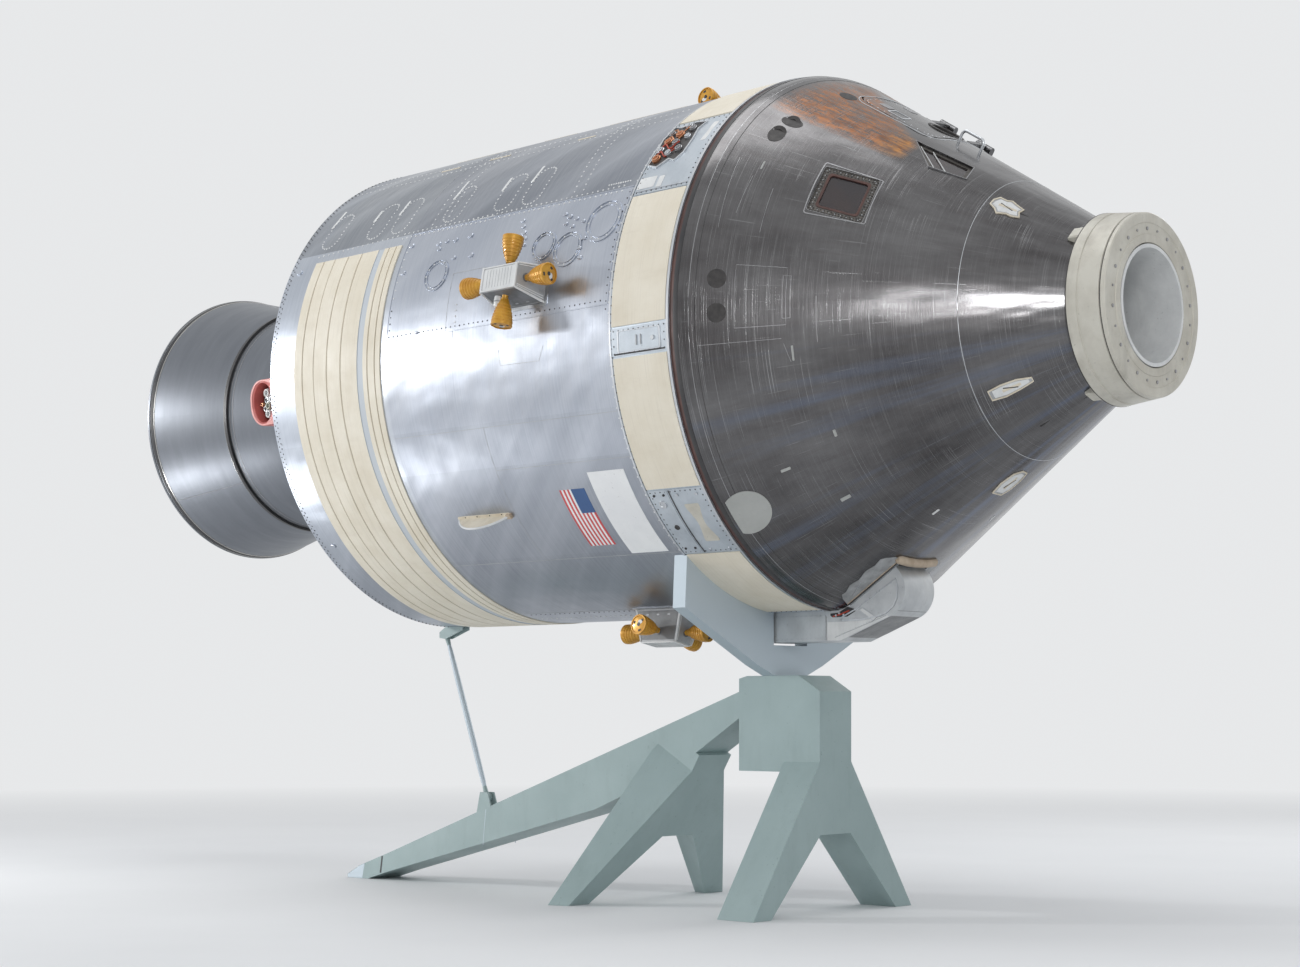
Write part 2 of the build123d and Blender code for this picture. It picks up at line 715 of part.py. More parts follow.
# Rendezvous window corners in the near window's own plane: up the slant, round the craft
RENDEZVOUS_STATION = CORNER_STATION + 1191
RENDEZVOUS_BEARING = 63
RENDEZVOUS_CORNERS = [(-258, 92), (212, 88), (262, -100), (0, -162)]
HATCH_PLANE = on_cone(HATCH_STATION, HATCH_BEARING)


def rendezvous_outline(plane, mirrored):
    """Four-sided window outline in the slant plane."""
    side = -1 if mirrored else 1
    return polygon(plane, *[(x, side * y) for x, y in RENDEZVOUS_CORNERS])


RENDEZVOUS_PLANES = [
    (on_cone(RENDEZVOUS_STATION, RENDEZVOUS_BEARING), False),
    (on_cone(RENDEZVOUS_STATION, 180 - RENDEZVOUS_BEARING), True),
]

# Small thrusters sunk in the skin, on the near side: place ahead of the widest circle, bearing,
# lean round the craft. The far side mirrors them.
CREW_THRUSTERS = [(256, 6.8, 0), (261, -0.5, 0), (313, 46.5, 20), (336, 51.5, 20), (365, 73, 0)]
THRUSTER_RADIUS = 56
THRUSTER_WALL = 9
THRUSTER_SINK = 6
thruster_planes = []
for ahead, bearing, lean in CREW_THRUSTERS:
    near = on_cone(CORNER_STATION + ahead, bearing)
    far = on_cone(CORNER_STATION + ahead, 180 - bearing)
    thruster_planes += [near.rotated((lean, 0, 0)), far.rotated((-lean, 0, 0))]

# Crew module wall with its windows and hatchway cut
CUT_DEPTH = 300
with BuildPart() as crew_shell:
    revolve(cone_wall(SHIELD_SEAM, COVER_SEAM, CREW_WALL), axis=CRAFT_AXIS)
    for plane in thruster_planes:
        with BuildSketch(plane):
            Circle(THRUSTER_RADIUS)
        extrude(amount=CUT_DEPTH / 2, both=True, mode=Mode.SUBTRACT)
    for plane in SIDE_WINDOWS:
        with BuildSketch(plane):
            RectangleRounded(SIDE_WINDOW_SIZE, SIDE_WINDOW_SIZE, WINDOW_CORNER)
        extrude(amount=CUT_DEPTH, both=True, mode=Mode.SUBTRACT)
    for plane, mirrored in RENDEZVOUS_PLANES:
        outline = rendezvous_outline(plane, mirrored)
        extrude(outline, amount=CUT_DEPTH, both=True, mode=Mode.SUBTRACT)
    with BuildSketch(HATCH_PLANE):
        RectangleRounded(HATCH_HEIGHT, HATCH_WIDTH, HATCH_CORNER)
    extrude(amount=CUT_DEPTH, both=True, mode=Mode.SUBTRACT)
save(crew_shell.part, "crew_shell")

# Side hatch: the same wall, inside the hatchway with a gap all round
with BuildPart() as side_hatch:
    revolve(cone_wall(SHIELD_SEAM, COVER_SEAM, CREW_WALL), axis=CRAFT_AXIS)
    with BuildSketch(HATCH_PLANE):
        RectangleRounded(
            HATCH_HEIGHT - 2 * HATCH_GAP, HATCH_WIDTH - 2 * HATCH_GAP, HATCH_CORNER - HATCH_GAP
        )
    extrude(amount=CUT_DEPTH, both=True, mode=Mode.INTERSECT)
    with BuildSketch(HATCH_PLANE):
        with Locations((HATCH_WINDOW_UP, 0)):
            Circle(HATCH_WINDOW_RADIUS)
    extrude(amount=CUT_DEPTH, both=True, mode=Mode.SUBTRACT)
save(side_hatch.part, "side_hatch")

# Hatch hinge: its line runs up the slant beside the hatchway's far edge
hinge_y = HATCH_WIDTH / 2 + HINGE_SIDE


def skin_drop(across):
    """How far the cone's skin lies under the hatch plane at a distance across it."""
    return across**2 * cosine(CONE_ANGLE) / (2 * cone_radius(HATCH_STATION))


hinge_z = HINGE_OUT - skin_drop(hinge_y)


def across_hatch(along):
    """Plane square to the hinge line: local x across the hatch, local y outwards."""
    origin = HATCH_PLANE.from_local_coords((along, 0, 0))
    return Plane(origin=origin, x_dir=HATCH_PLANE.y_dir, z_dir=HATCH_PLANE.x_dir)


HINGE_PLACES = (-190, 190)
with BuildPart() as hinge_brackets:
    for place in HINGE_PLACES:
        for side in (-1, 1):
            middle = place + side * (KNUCKLE_LENGTH + KNUCKLE_GAP)
            with BuildSketch(across_hatch(middle)):
                with Locations((hinge_y, hinge_z)):
                    Circle(KNUCKLE_RADIUS)
                with BuildLine():
                    Polyline(
                        (hinge_y - KNUCKLE_RADIUS, hinge_z),
                        (hinge_y + KNUCKLE_RADIUS, hinge_z),
                        (hinge_y + KNUCKLE_RADIUS, hinge_z - HINGE_OUT - CREW_WALL / 2),
                        (hinge_y - KNUCKLE_RADIUS, hinge_z - HINGE_OUT - CREW_WALL / 2),
                        close=True,
                    )
                make_face()
            extrude(amount=KNUCKLE_LENGTH / 2, both=True)
        with BuildSketch(across_hatch(place)):
            with Locations((hinge_y, hinge_z)):
                Circle(HINGE_PIN_RADIUS)
        extrude(amount=1.5 * KNUCKLE_LENGTH, both=True)
    add(crew_shell.part, mode=Mode.SUBTRACT)
save(hinge_brackets.part, "hinge_brackets")

ARM_FOOT_INNER = HATCH_WIDTH / 2 - 150
ARM_FOOT_OUTER = HATCH_WIDTH / 2 - 50
ARM_THICK = 24
with BuildPart() as hatch_arms:
    for place in HINGE_PLACES:
        with BuildSketch(across_hatch(place)):
            with BuildLine():
                Polyline(
                    (hinge_y, hinge_z + ARM_THICK / 2),
                    (ARM_FOOT_OUTER, hinge_z + ARM_THICK / 2),
                    (ARM_FOOT_INNER, hinge_z),
                    (ARM_FOOT_INNER, -skin_drop(ARM_FOOT_OUTER) - CREW_WALL / 2),
                    (ARM_FOOT_OUTER, -skin_drop(ARM_FOOT_OUTER) - CREW_WALL / 2),
                    (ARM_FOOT_OUTER, hinge_z - ARM_THICK / 2),
                    (hinge_y, hinge_z - ARM_THICK / 2),
                    close=True,
                )
            make_face()
            with Locations((hinge_y, hinge_z)):
                Circle(KNUCKLE_RADIUS)
            with Locations((hinge_y, hinge_z)):
                Circle(HINGE_PIN_RADIUS + HINGE_PIN_CLEARANCE, mode=Mode.SUBTRACT)
        extrude(amount=KNUCKLE_LENGTH / 2, both=True)
    add(side_hatch.part, mode=Mode.SUBTRACT)
save(hatch_arms.part, "hatch_arms")

with BuildPart() as hatch_window:
    with BuildSketch(HATCH_PLANE.offset(-PANE_DEPTH)):
        with Locations((HATCH_WINDOW_UP, 0)):
            Circle(HATCH_WINDOW_RADIUS)
    extrude(amount=PANE_THICK)
save(hatch_window.part, "hatch_window")

with BuildPart() as side_windows:
    for plane in SIDE_WINDOWS:
        with BuildSketch(plane.offset(-PANE_DEPTH)):
            RectangleRounded(SIDE_WINDOW_SIZE, SIDE_WINDOW_SIZE, WINDOW_CORNER)
        extrude(amount=PANE_THICK)
save(side_windows.part, "side_windows")

with BuildPart() as rendezvous_windows:
    for plane, mirrored in RENDEZVOUS_PLANES:
        extrude(rendezvous_outline(plane.offset(-PANE_DEPTH), mirrored), amount=PANE_THICK)
save(rendezvous_windows.part, "rendezvous_windows")

# Window frames, sunk a little below the skin in front of the panes
FRAME_DEPTH = PANE_DEPTH - PANE_THICK - FRAME_RECESS
with BuildPart() as window_frames:
    for plane in SIDE_WINDOWS:
        with BuildSketch(plane.offset(-FRAME_RECESS)):
            RectangleRounded(SIDE_WINDOW_SIZE, SIDE_WINDOW_SIZE, WINDOW_CORNER)
            glass = SIDE_WINDOW_SIZE - 2 * FRAME_RIM
            RectangleRounded(glass, glass, WINDOW_CORNER, mode=Mode.SUBTRACT)
        extrude(amount=-FRAME_DEPTH)
    for plane, mirrored in RENDEZVOUS_PLANES:
        with BuildSketch(plane.offset(-FRAME_RECESS)) as rim:
            add(rendezvous_outline(Plane.XY, mirrored))
            offset(amount=-RENDEZVOUS_RIM, mode=Mode.SUBTRACT)
        extrude(rim.sketch, amount=-FRAME_DEPTH)
save(window_frames.part, "window_frames")

# Small thrusters: dark cups in the wall's round holes
with BuildPart() as crew_thrusters:
    for plane in thruster_planes:
        with BuildSketch(plane.offset(-CREW_WALL)):
            Circle(THRUSTER_RADIUS)
        extrude(amount=CREW_WALL + THRUSTER_RADIUS)
        with BuildSketch(plane.offset(THRUSTER_WALL - CREW_WALL)):
            Circle(THRUSTER_RADIUS - THRUSTER_WALL)
        extrude(amount=CREW_WALL + THRUSTER_RADIUS, mode=Mode.SUBTRACT)
    sunk = cone_wall(SHIELD_SEAM, COVER_SEAM, 2 * CREW_WALL, -THRUSTER_SINK)
    revolve(sunk, axis=CRAFT_AXIS, mode=Mode.INTERSECT)
save(crew_thrusters.part, "crew_thrusters")

# Pale covers over the wells in the forward cover: place ahead of its seam, bearing, length,
# width, thickness
SKIN_COVERS = [
    (125, 50, 190, 170, 8),
    (200, -41, 300, 80, 8),
    (125, 130, 190, 170, 8),
    (200, 221, 300, 80, 8),
]
COVER_SINK = 12
with BuildPart() as skin_covers:
    for ahead, bearing, length, width, thick in SKIN_COVERS:
        with BuildSketch(on_cone(COVER_SEAM + ahead, bearing).offset(-COVER_SINK)):
            RectangleRounded(length, width, width / 5)
        extrude(amount=COVER_SINK + thick)
    inside = cone_wall(COVER_SEAM, COLLAR_STATION, COVER_WALL)
    revolve(inside, axis=CRAFT_AXIS, mode=Mode.SUBTRACT)
save(skin_covers.part, "skin_covers")

# Flat round cover low on the near side: it bends over the rounded rim and ends at the dark gap
DISC_STATION = CORNER_STATION + 146
DISC_BEARING = -44
DISC_RADIUS = 170
DISC_THICK = 6
DISC_END = CORNER_STATION + 56


def skin_layer(aft, front, thick):
    """Face of a layer on the skin, from a station on the rounded rim to one on the cone."""
    low_turn = asin((aft - CORNER_STATION) / CORNER_RADIUS)
    high_turn = radians(CONE_ANGLE)

    def on_rim(turn, out):
        reach = CORNER_RADIUS + out
        return CORNER_STATION + reach * sin(turn), CORNER_RING + reach * cos(turn)

    middle = (low_turn + high_turn) / 2
    lift = thick / cosine(CONE_ANGLE)
    with BuildSketch(slice_at(DISC_BEARING)) as face:
        with BuildLine():
            ThreePointArc(on_rim(low_turn, 0), on_rim(middle, 0), on_rim(high_turn, 0))
            Polyline(
                on_rim(high_turn, 0),
                (front, cone_radius(front)),
                (front, cone_radius(front) + lift),
                on_rim(high_turn, thick),
            )
            ThreePointArc(
                on_rim(high_turn, thick), on_rim(middle, thick), on_rim(low_turn, thick)
            )
            Line(on_rim(low_turn, thick), on_rim(low_turn, 0))
        make_face()
    return face.sketch


with BuildPart() as disc_cover:
    with BuildSketch(on_cone(DISC_STATION, DISC_BEARING)):
        Circle(DISC_RADIUS)
    extrude(amount=DISC_RADIUS, both=True)
    layer = skin_layer(DISC_END, DISC_STATION + DISC_RADIUS, DISC_THICK)
    revolve(layer, axis=CRAFT_AXIS, mode=Mode.INTERSECT)
save(disc_cover.part, "disc_cover")

# Hoop handle ahead of the hatch
HANDLE_STATION = HATCH_STATION + 430
HANDLE_BEARING = 84
HANDLE_REACH = 200
HANDLE_RISE = 95
HANDLE_BAR = 11
with BuildPart() as handrail:
    foot = on_cone(HANDLE_STATION, HANDLE_BEARING)
    hoop = Plane(origin=foot.origin, x_dir=foot.x_dir, z_dir=-foot.y_dir)
    with BuildLine(hoop):
        hoop_path = FilletPolyline(
            (-HANDLE_REACH / 2, -CREW_WALL / 2),
            (-HANDLE_REACH / 2, HANDLE_RISE),
            (HANDLE_REACH / 2, HANDLE_RISE),
            (HANDLE_REACH / 2, -CREW_WALL / 2),
            radius=3 * HANDLE_BAR,
        )
    with BuildSketch(Plane(origin=hoop_path @ 0, z_dir=hoop_path % 0)):
        Circle(HANDLE_BAR)
    sweep(path=hoop_path)
    add(crew_shell.part, mode=Mode.SUBTRACT)
save(handrail.part, "handrail")


def cabin_space(aft, front):
    """Everything inside the crew module's wall between two stations."""
    wall = CREW_WALL / cosine(CONE_ANGLE)
    return polygon(
        slice_at(HATCH_BEARING),
        (aft, 0),
        (aft, cone_radius(aft) - wall),
        (front, cone_radius(front) - wall),
        (front, 0),
    )


# Cabin floor across the heat shield's rim
FLOOR_THICK = 30
with BuildPart() as cabin_floor:
    with BuildSketch(station(CORNER_STATION - FLOOR_THICK)):
        Circle(inner_edge_radius)
    extrude(amount=FLOOR_THICK)
save(cabin_floor.part, "cabin_floor")

# Three couches, on which the crew lie with heads towards the hatch
COUCH_WIDTH = 520
COUCH_PITCH = 600
COUCH_BACK = CORNER_STATION + 401
COUCH_PAD = 80
POST_SIZE = 60
with BuildPart() as crew_couches:
    for place in (-COUCH_PITCH, 0, COUCH_PITCH):
        side = Plane(origin=(RIM_X, place, AXIS_HEIGHT), x_dir=(1, 0, 0), z_dir=(0, -1, 0))
        with BuildSketch(side):
            with BuildLine():
                Polyline(
                    (COUCH_BACK, 760),
                    (COUCH_BACK + COUCH_PAD, 760),
                    (COUCH_BACK + COUCH_PAD, -350),
                    (COUCH_BACK + 460, -350),
                    (COUCH_BACK + 330, -860),
                    (COUCH_BACK + 250, -860),
                    (COUCH_BACK + 360, -430),
                    (COUCH_BACK, -430),
                    close=True,
                )
            make_face()
        extrude(amount=COUCH_WIDTH / 2, both=True)
        with BuildSketch(station(CORNER_STATION)):
            with Locations((place, 600), (place, -300)):
                Rectangle(COUCH_WIDTH / 2, POST_SIZE)
        extrude(amount=COUCH_BACK - CORNER_STATION)
    revolve(cabin_space(CORNER_STATION, COVER_SEAM), axis=CRAFT_AXIS, mode=Mode.INTERSECT)
save(crew_couches.part, "crew_couches")

# Instrument panel from wall to wall in front of the couches
PANEL_STATION = CORNER_STATION + 1021
PANEL_DEPTH = 80
PANEL_LOW = -100
PANEL_HIGH = 420
with BuildPart() as instrument_panel:
    with BuildSketch(station(PANEL_STATION)):
        with Locations((0, (PANEL_LOW + PANEL_HIGH) / 2)):
            Rectangle(2 * SERVICE_RADIUS, PANEL_HIGH - PANEL_LOW)
    extrude(amount=PANEL_DEPTH)
    revolve(cabin_space(SHIELD_SEAM, COVER_SEAM), axis=CRAFT_AXIS, mode=Mode.INTERSECT)
save(instrument_panel.part, "instrument_panel")

# Forward cover: the cone's tip round the docking tunnel
with BuildPart() as forward_cover:
    revolve(cone_wall(COVER_SEAM, COLLAR_STATION, COVER_WALL), axis=CRAFT_AXIS)
save(forward_cover.part, "forward_cover")

# Docking tunnel and the deck that carries it on the cabin's wall
with BuildPart() as docking_tunnel:
    deck_front = TUNNEL_REAR + TUNNEL_WALL
    wall = CREW_WALL / cosine(CONE_ANGLE)
    tunnel_outline = polygon(
        slice_at(0),
        (TUNNEL_REAR, TUNNEL_RADIUS),
        (NOSE_STATION, TUNNEL_RADIUS),
        (NOSE_STATION, TUNNEL_RADIUS + TUNNEL_WALL),
        (deck_front, TUNNEL_RADIUS + TUNNEL_WALL),
        (deck_front, cone_radius(deck_front) - wall),
        (TUNNEL_REAR, cone_radius(TUNNEL_REAR) - wall),
    )
    revolve(tunnel_outline, axis=CRAFT_AXIS)
save(docking_tunnel.part, "docking_tunnel")

# Inner hatch, shut against the tunnel's rear end
TUNNEL_HATCH_THICK = 50
with BuildPart() as tunnel_hatch:
    with BuildSketch(station(TUNNEL_REAR)):
        Circle(TUNNEL_RADIUS + TUNNEL_WALL)
    extrude(amount=-TUNNEL_HATCH_THICK)
save(tunnel_hatch.part, "tunnel_hatch")

with BuildPart() as docking_collar:
    with BuildSketch(slice_at(0)):
        with BuildLine():
            Polyline(
                (COLLAR_STATION, COLLAR_REAR_RADIUS),
                (NOSE_STATION, COLLAR_FRONT_RADIUS),
                (NOSE_STATION, TUNNEL_RADIUS + TUNNEL_WALL),
                (NOSE_STATION - COLLAR_WALL, TUNNEL_RADIUS + TUNNEL_WALL),
                (NOSE_STATION - COLLAR_WALL, COLLAR_FRONT_RADIUS - COLLAR_WALL),
                (COLLAR_STATION, COLLAR_REAR_RADIUS - COLLAR_WALL),
                close=True,
            )
        make_face()
    revolve(axis=CRAFT_AXIS)
    with BuildSketch(station(COLLAR_STATION)):
        Circle(COLLAR_REAR_RADIUS - COLLAR_WALL)
        Circle(TUNNEL_RADIUS + TUNNEL_WALL, mode=Mode.SUBTRACT)
    extrude(amount=COLLAR_WALL / 2)
save(docking_collar.part, "docking_collar")

# Umbilical housing under the joint of the two modules
UMBILICAL_HALF_WIDTH = 180
UMBILICAL_REAR = FAIRING_FRONT - 690
UMBILICAL_BEND = FAIRING_FRONT + 90
UMBILICAL_NOSE = FAIRING_FRONT + 530
UMBILICAL_TIP = FAIRING_FRONT + 590
UMBILICAL_DROP = 216
UMBILICAL_RISE = 18
UMBILICAL_BOTTOM = -SERVICE_RADIUS - UMBILICAL_DROP
umbilical_side = Plane(origin=(RIM_X, 0, AXIS_HEIGHT), x_dir=(1, 0, 0), z_dir=(0, -1, 0))
with BuildPart() as umbilical_housing:
    with BuildSketch(umbilical_side):
        tip = (UMBILICAL_TIP, -cone_radius(UMBILICAL_TIP) - UMBILICAL_RISE)
        nose = (UMBILICAL_NOSE, UMBILICAL_BOTTOM + 167)
        with BuildLine():
            Polyline(
                tip,
                (UMBILICAL_TIP - 60, -cone_radius(UMBILICAL_TIP) + 100),
                (UMBILICAL_REAR, -cone_radius(UMBILICAL_TIP) + 100),
                (UMBILICAL_REAR, UMBILICAL_BOTTOM),
                (UMBILICAL_BEND, UMBILICAL_BOTTOM),
                nose,
            )
            ThreePointArc(nose, (UMBILICAL_TIP + 72, UMBILICAL_BOTTOM + 382), tip)
        make_face()
    extrude(amount=UMBILICAL_HALF_WIDTH, both=True)
    craft_outline = [
        (0, 0),
        (0, SERVICE_RADIUS),
        (CORNER_STATION, SERVICE_RADIUS),
        (CONE_START, CONE_START_RADIUS),
        (COLLAR_STATION, TIP_RADIUS),
        (COLLAR_STATION, 0),
    ]
    revolve(polygon(slice_at(0), *craft_outline), axis=CRAFT_AXIS, mode=Mode.SUBTRACT)
    add([heat_shield.part, fairing.part], mode=Mode.SUBTRACT)
save(umbilical_housing.part, "umbilical_housing")

# Stand: side outline of the long aft arm, stations and heights above the floor
LEG_TOP_HEIGHT = AXIS_HEIGHT - LEG_TOP_DROP
SADDLE_STATION = 3700
SADDLE_THICK = 120
SADDLE_LOW = -SERVICE_RADIUS - 464
COLUMN_REAR = SADDLE_STATION - 230
COLUMN_FRONT = SADDLE_STATION + 550
ARM_RISE = 600
ARM_TOE = -1170
ARM_BEND = -600
ARM_BEND_HEIGHT = 246
ARM_TOP_SLOPE = (LEG_TOP_HEIGHT + ARM_RISE - ARM_BEND_HEIGHT) / (COLUMN_REAR - ARM_BEND)
floor_side = Plane(origin=(RIM_X, 0, 0), x_dir=(1, 0, 0), z_dir=(0, -1, 0))


def arm_top(along):
    """Height of the aft arm's top edge above the floor."""
    return ARM_BEND_HEIGHT + ARM_TOP_SLOPE * (along - ARM_BEND)


with BuildPart() as aft_arm:
    with BuildSketch(floor_side):
        with BuildLine():
            Polyline(
                (ARM_TOE, 0),
                (ARM_TOE, 30),
                (ARM_TOE + 170, 115),
                (ARM_BEND, ARM_BEND_HEIGHT),
                (COLUMN_REAR, arm_top(COLUMN_REAR)),
                (COLUMN_REAR, LEG_TOP_HEIGHT + 400),
                (REAR_LEG_STATION, LEG_TOP_HEIGHT),
                (REAR_LEG_STATION - 870, LEG_TOP_HEIGHT - 340),
                (REAR_LEG_STATION - 2200, LEG_TOP_HEIGHT - 670),
                (ARM_BEND, 80),
                (ARM_TOE + 310, 10),
                (ARM_TOE + 290, 0),
                close=True,
            )
        make_face()
    extrude(amount=ARM_HALF_WIDTH, both=True)
save(aft_arm.part, "aft_arm")

# Column from the legs up to the saddle
with BuildPart() as column:
    with BuildSketch(floor_side):
        with BuildLine():
            Polyline(
                (COLUMN_REAR, LEG_TOP_HEIGHT),
                (COLUMN_REAR, AXIS_HEIGHT + SADDLE_LOW - 20),
                (SADDLE_STATION - 150, AXIS_HEIGHT + SADDLE_LOW),
                (SADDLE_STATION + 350, AXIS_HEIGHT + SADDLE_LOW),
                (COLUMN_FRONT, AXIS_HEIGHT + SADDLE_LOW - 120),
                (COLUMN_FRONT, LEG_TOP_HEIGHT),
                close=True,
            )
        make_face()
    extrude(amount=ARM_HALF_WIDTH, both=True)
save(column.part, "column")

# Saddle: a web across the craft, with one wing up each side of the umbilical housing
WING_BEARING = 53
WING_TIP_Y = SERVICE_RADIUS * cosine(WING_BEARING)
WING_TIP_Z = -SERVICE_RADIUS * sine(WING_BEARING)
WING_WAIST = 390
UMBILICAL_GAP = 20
with BuildPart() as saddle:
    with BuildSketch(station(SADDLE_STATION)):
        slot = UMBILICAL_HALF_WIDTH + UMBILICAL_GAP
        right_side = [
            (ARM_HALF_WIDTH, SADDLE_LOW),
            (WING_WAIST, SADDLE_LOW + 80),
            (WING_TIP_Y + 20, WING_TIP_Z - 380),
            (WING_TIP_Y, WING_TIP_Z),
            (slot, UMBILICAL_GAP - SERVICE_RADIUS),
            (slot, UMBILICAL_BOTTOM - UMBILICAL_GAP),
        ]
        left_side = [(-y, z) for y, z in reversed(right_side)]
        with BuildLine():
            Polyline(*right_side, *left_side, close=True)
        make_face()
        Circle(SERVICE_RADIUS, mode=Mode.SUBTRACT)
    extrude(amount=SADDLE_THICK)
save(saddle.part, "saddle")

# Legs: a raked arch under the aft arm and an upright one under the column's front
LEG_HEADROOM = 220
LEG_WAIST = 76
ARCH_TOP_HALF = 180
ARCH_FOOT_HALF = 750
# Side outline that the rear legs taper in: stations at the floor and up inside the arm
REAR_LEG_FLOOR = (2182, 2355)
REAR_LEG_HIGH = (2640, 3152)
REAR_LEG_TOP = 1300
# Node, station of the arch's top, how far it rakes aft for each unit of drop, and its depth
LEGS = [
    ("rear_legs", REAR_LEG_STATION, REAR_LEG_RAKE, REAR_LEG_DEPTH),
    ("front_legs", COLUMN_FRONT - LEG_DEPTH / 2, 0, LEG_DEPTH),
]
for name, top_station, rake, depth in LEGS:
    stretch = hypot(1, rake)
    leg_plane = Plane(
        origin=(RIM_X + top_station, 0, LEG_TOP_HEIGHT), x_dir=(0, 1, 0), z_dir=(1, 0, -rake)
    )
    foot = -(LEG_TOP_HEIGHT + depth) * stretch
    spread = (FOOT_OUT - ARM_HALF_WIDTH) / LEG_TOP_HEIGHT
    inner_spread = (ARCH_FOOT_HALF - ARCH_TOP_HALF) / ARCH_HEIGHT
    arch_y = -(LEG_TOP_HEIGHT - ARCH_HEIGHT) * stretch
    outer_foot = FOOT_OUT + spread * depth
    inner_foot = ARCH_FOOT_HALF + inner_spread * depth
    with BuildPart() as legs:
        with BuildSketch(leg_plane):
            with BuildLine():
                Polyline(
                    (-ARM_HALF_WIDTH, LEG_HEADROOM),
                    (-ARM_HALF_WIDTH, LEG_WAIST),
                    (-outer_foot, foot),
                    (-inner_foot, foot),
                    (-ARCH_TOP_HALF, arch_y),
                    (ARCH_TOP_HALF, arch_y),
                    (inner_foot, foot),
                    (outer_foot, foot),
                    (ARM_HALF_WIDTH, LEG_WAIST),
                    (ARM_HALF_WIDTH, LEG_HEADROOM),
                    close=True,
                )
            make_face()
        extrude(amount=depth / 2, both=True)
        if rake:
            with BuildSketch(floor_side):
                with BuildLine():
                    Polyline(
                        (REAR_LEG_FLOOR[0], 0),
                        (REAR_LEG_FLOOR[1], 0),
                        (REAR_LEG_HIGH[1], REAR_LEG_TOP),
                        (REAR_LEG_HIGH[0], REAR_LEG_TOP),
                        close=True,
                    )
                make_face()
            extrude(amount=2 * FOOT_OUT, both=True, mode=Mode.INTERSECT)
        split(bisect_by=Plane.XY, keep=Keep.TOP)
        add([aft_arm.part, column.part], mode=Mode.SUBTRACT)
    save(legs.part, name)

# Strut that steadies the aft rim, on a pin at each end: stations and heights of the pins
RIM_LOW = AXIS_HEIGHT - SERVICE_RADIUS
STRUT_LOW = (470, arm_top(470) + 145)
STRUT_HIGH = (-50, RIM_LOW - 64)
STRUT_EYE = 38
EYE_HALF_THICK = STRUT_RADIUS + 3
STRUT_PIN = 12
PIN_CLEARANCE = 0.05
EAR_GAP = 3
EAR_THICK = 12
strut_way = Vector(STRUT_HIGH[0] - STRUT_LOW[0], 0, STRUT_HIGH[1] - STRUT_LOW[1])
with BuildPart() as strut:
    with BuildSketch(
        Plane(origin=(RIM_X + STRUT_LOW[0], 0, STRUT_LOW[1]), x_dir=(0, 1, 0), z_dir=strut_way)
    ):
        Circle(STRUT_RADIUS)
    extrude(amount=strut_way.length)
    for pin in (STRUT_LOW, STRUT_HIGH):
        with BuildSketch(floor_side):
            with Locations(pin):
                Circle(STRUT_EYE)
        extrude(amount=EYE_HALF_THICK, both=True)
    for pin in (STRUT_LOW, STRUT_HIGH):
        with BuildSketch(floor_side):
            with Locations(pin):
                Circle(STRUT_PIN + PIN_CLEARANCE)
        extrude(amount=2 * STRUT_RADIUS, both=True, mode=Mode.SUBTRACT)
save(strut.part, "strut")


# Ears that hold the strut's pins: outline of each, as stations and heights
EAR_TOP = STRUT_LOW[1] + 45
EAR_OUTLINES = {
    STRUT_LOW: [(370, arm_top(370)), (570, arm_top(570)), (515, EAR_TOP), (425, EAR_TOP)],
    STRUT_HIGH: [
        (200, RIM_LOW + 10),
        (0, RIM_LOW + 10),
        (-95, STRUT_HIGH[1] + 20),
        (-95, STRUT_HIGH[1] - 30),
        (-20, STRUT_HIGH[1] - 40),
        (200, RIM_LOW - 30),
    ],
}
with BuildPart() as strut_brackets:
    for pin, corners in EAR_OUTLINES.items():
        for side in (-1, 1):
            inner = side * (EYE_HALF_THICK + EAR_GAP)
            extrude(polygon(floor_side.offset(inner), *corners), amount=side * EAR_THICK)
        with BuildSketch(floor_side):
            with Locations(pin):
                Circle(STRUT_PIN)
        extrude(amount=EYE_HALF_THICK + EAR_GAP + EAR_THICK, both=True)
    add(service_shell.part, mode=Mode.SUBTRACT)
save(strut_brackets.part, "strut_brackets")
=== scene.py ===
"""Looks of a crew capsule with its service module, engine bell and museum stand.

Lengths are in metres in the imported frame: +X runs towards the nose, -Y faces the near side and
+Z is up. A station is a distance forward of the service module's aft rim. A bearing is an angle
round the craft's axis in degrees: 0 faces -Y, 90 faces up and -90 faces down.
"""

import json
import logging
from collections.abc import Callable, Iterable, Sequence
from dataclasses import dataclass, field
from enum import Enum
from math import asin, ceil, cos, degrees, hypot, pi, radians, sin, sqrt, tan
from typing import Any

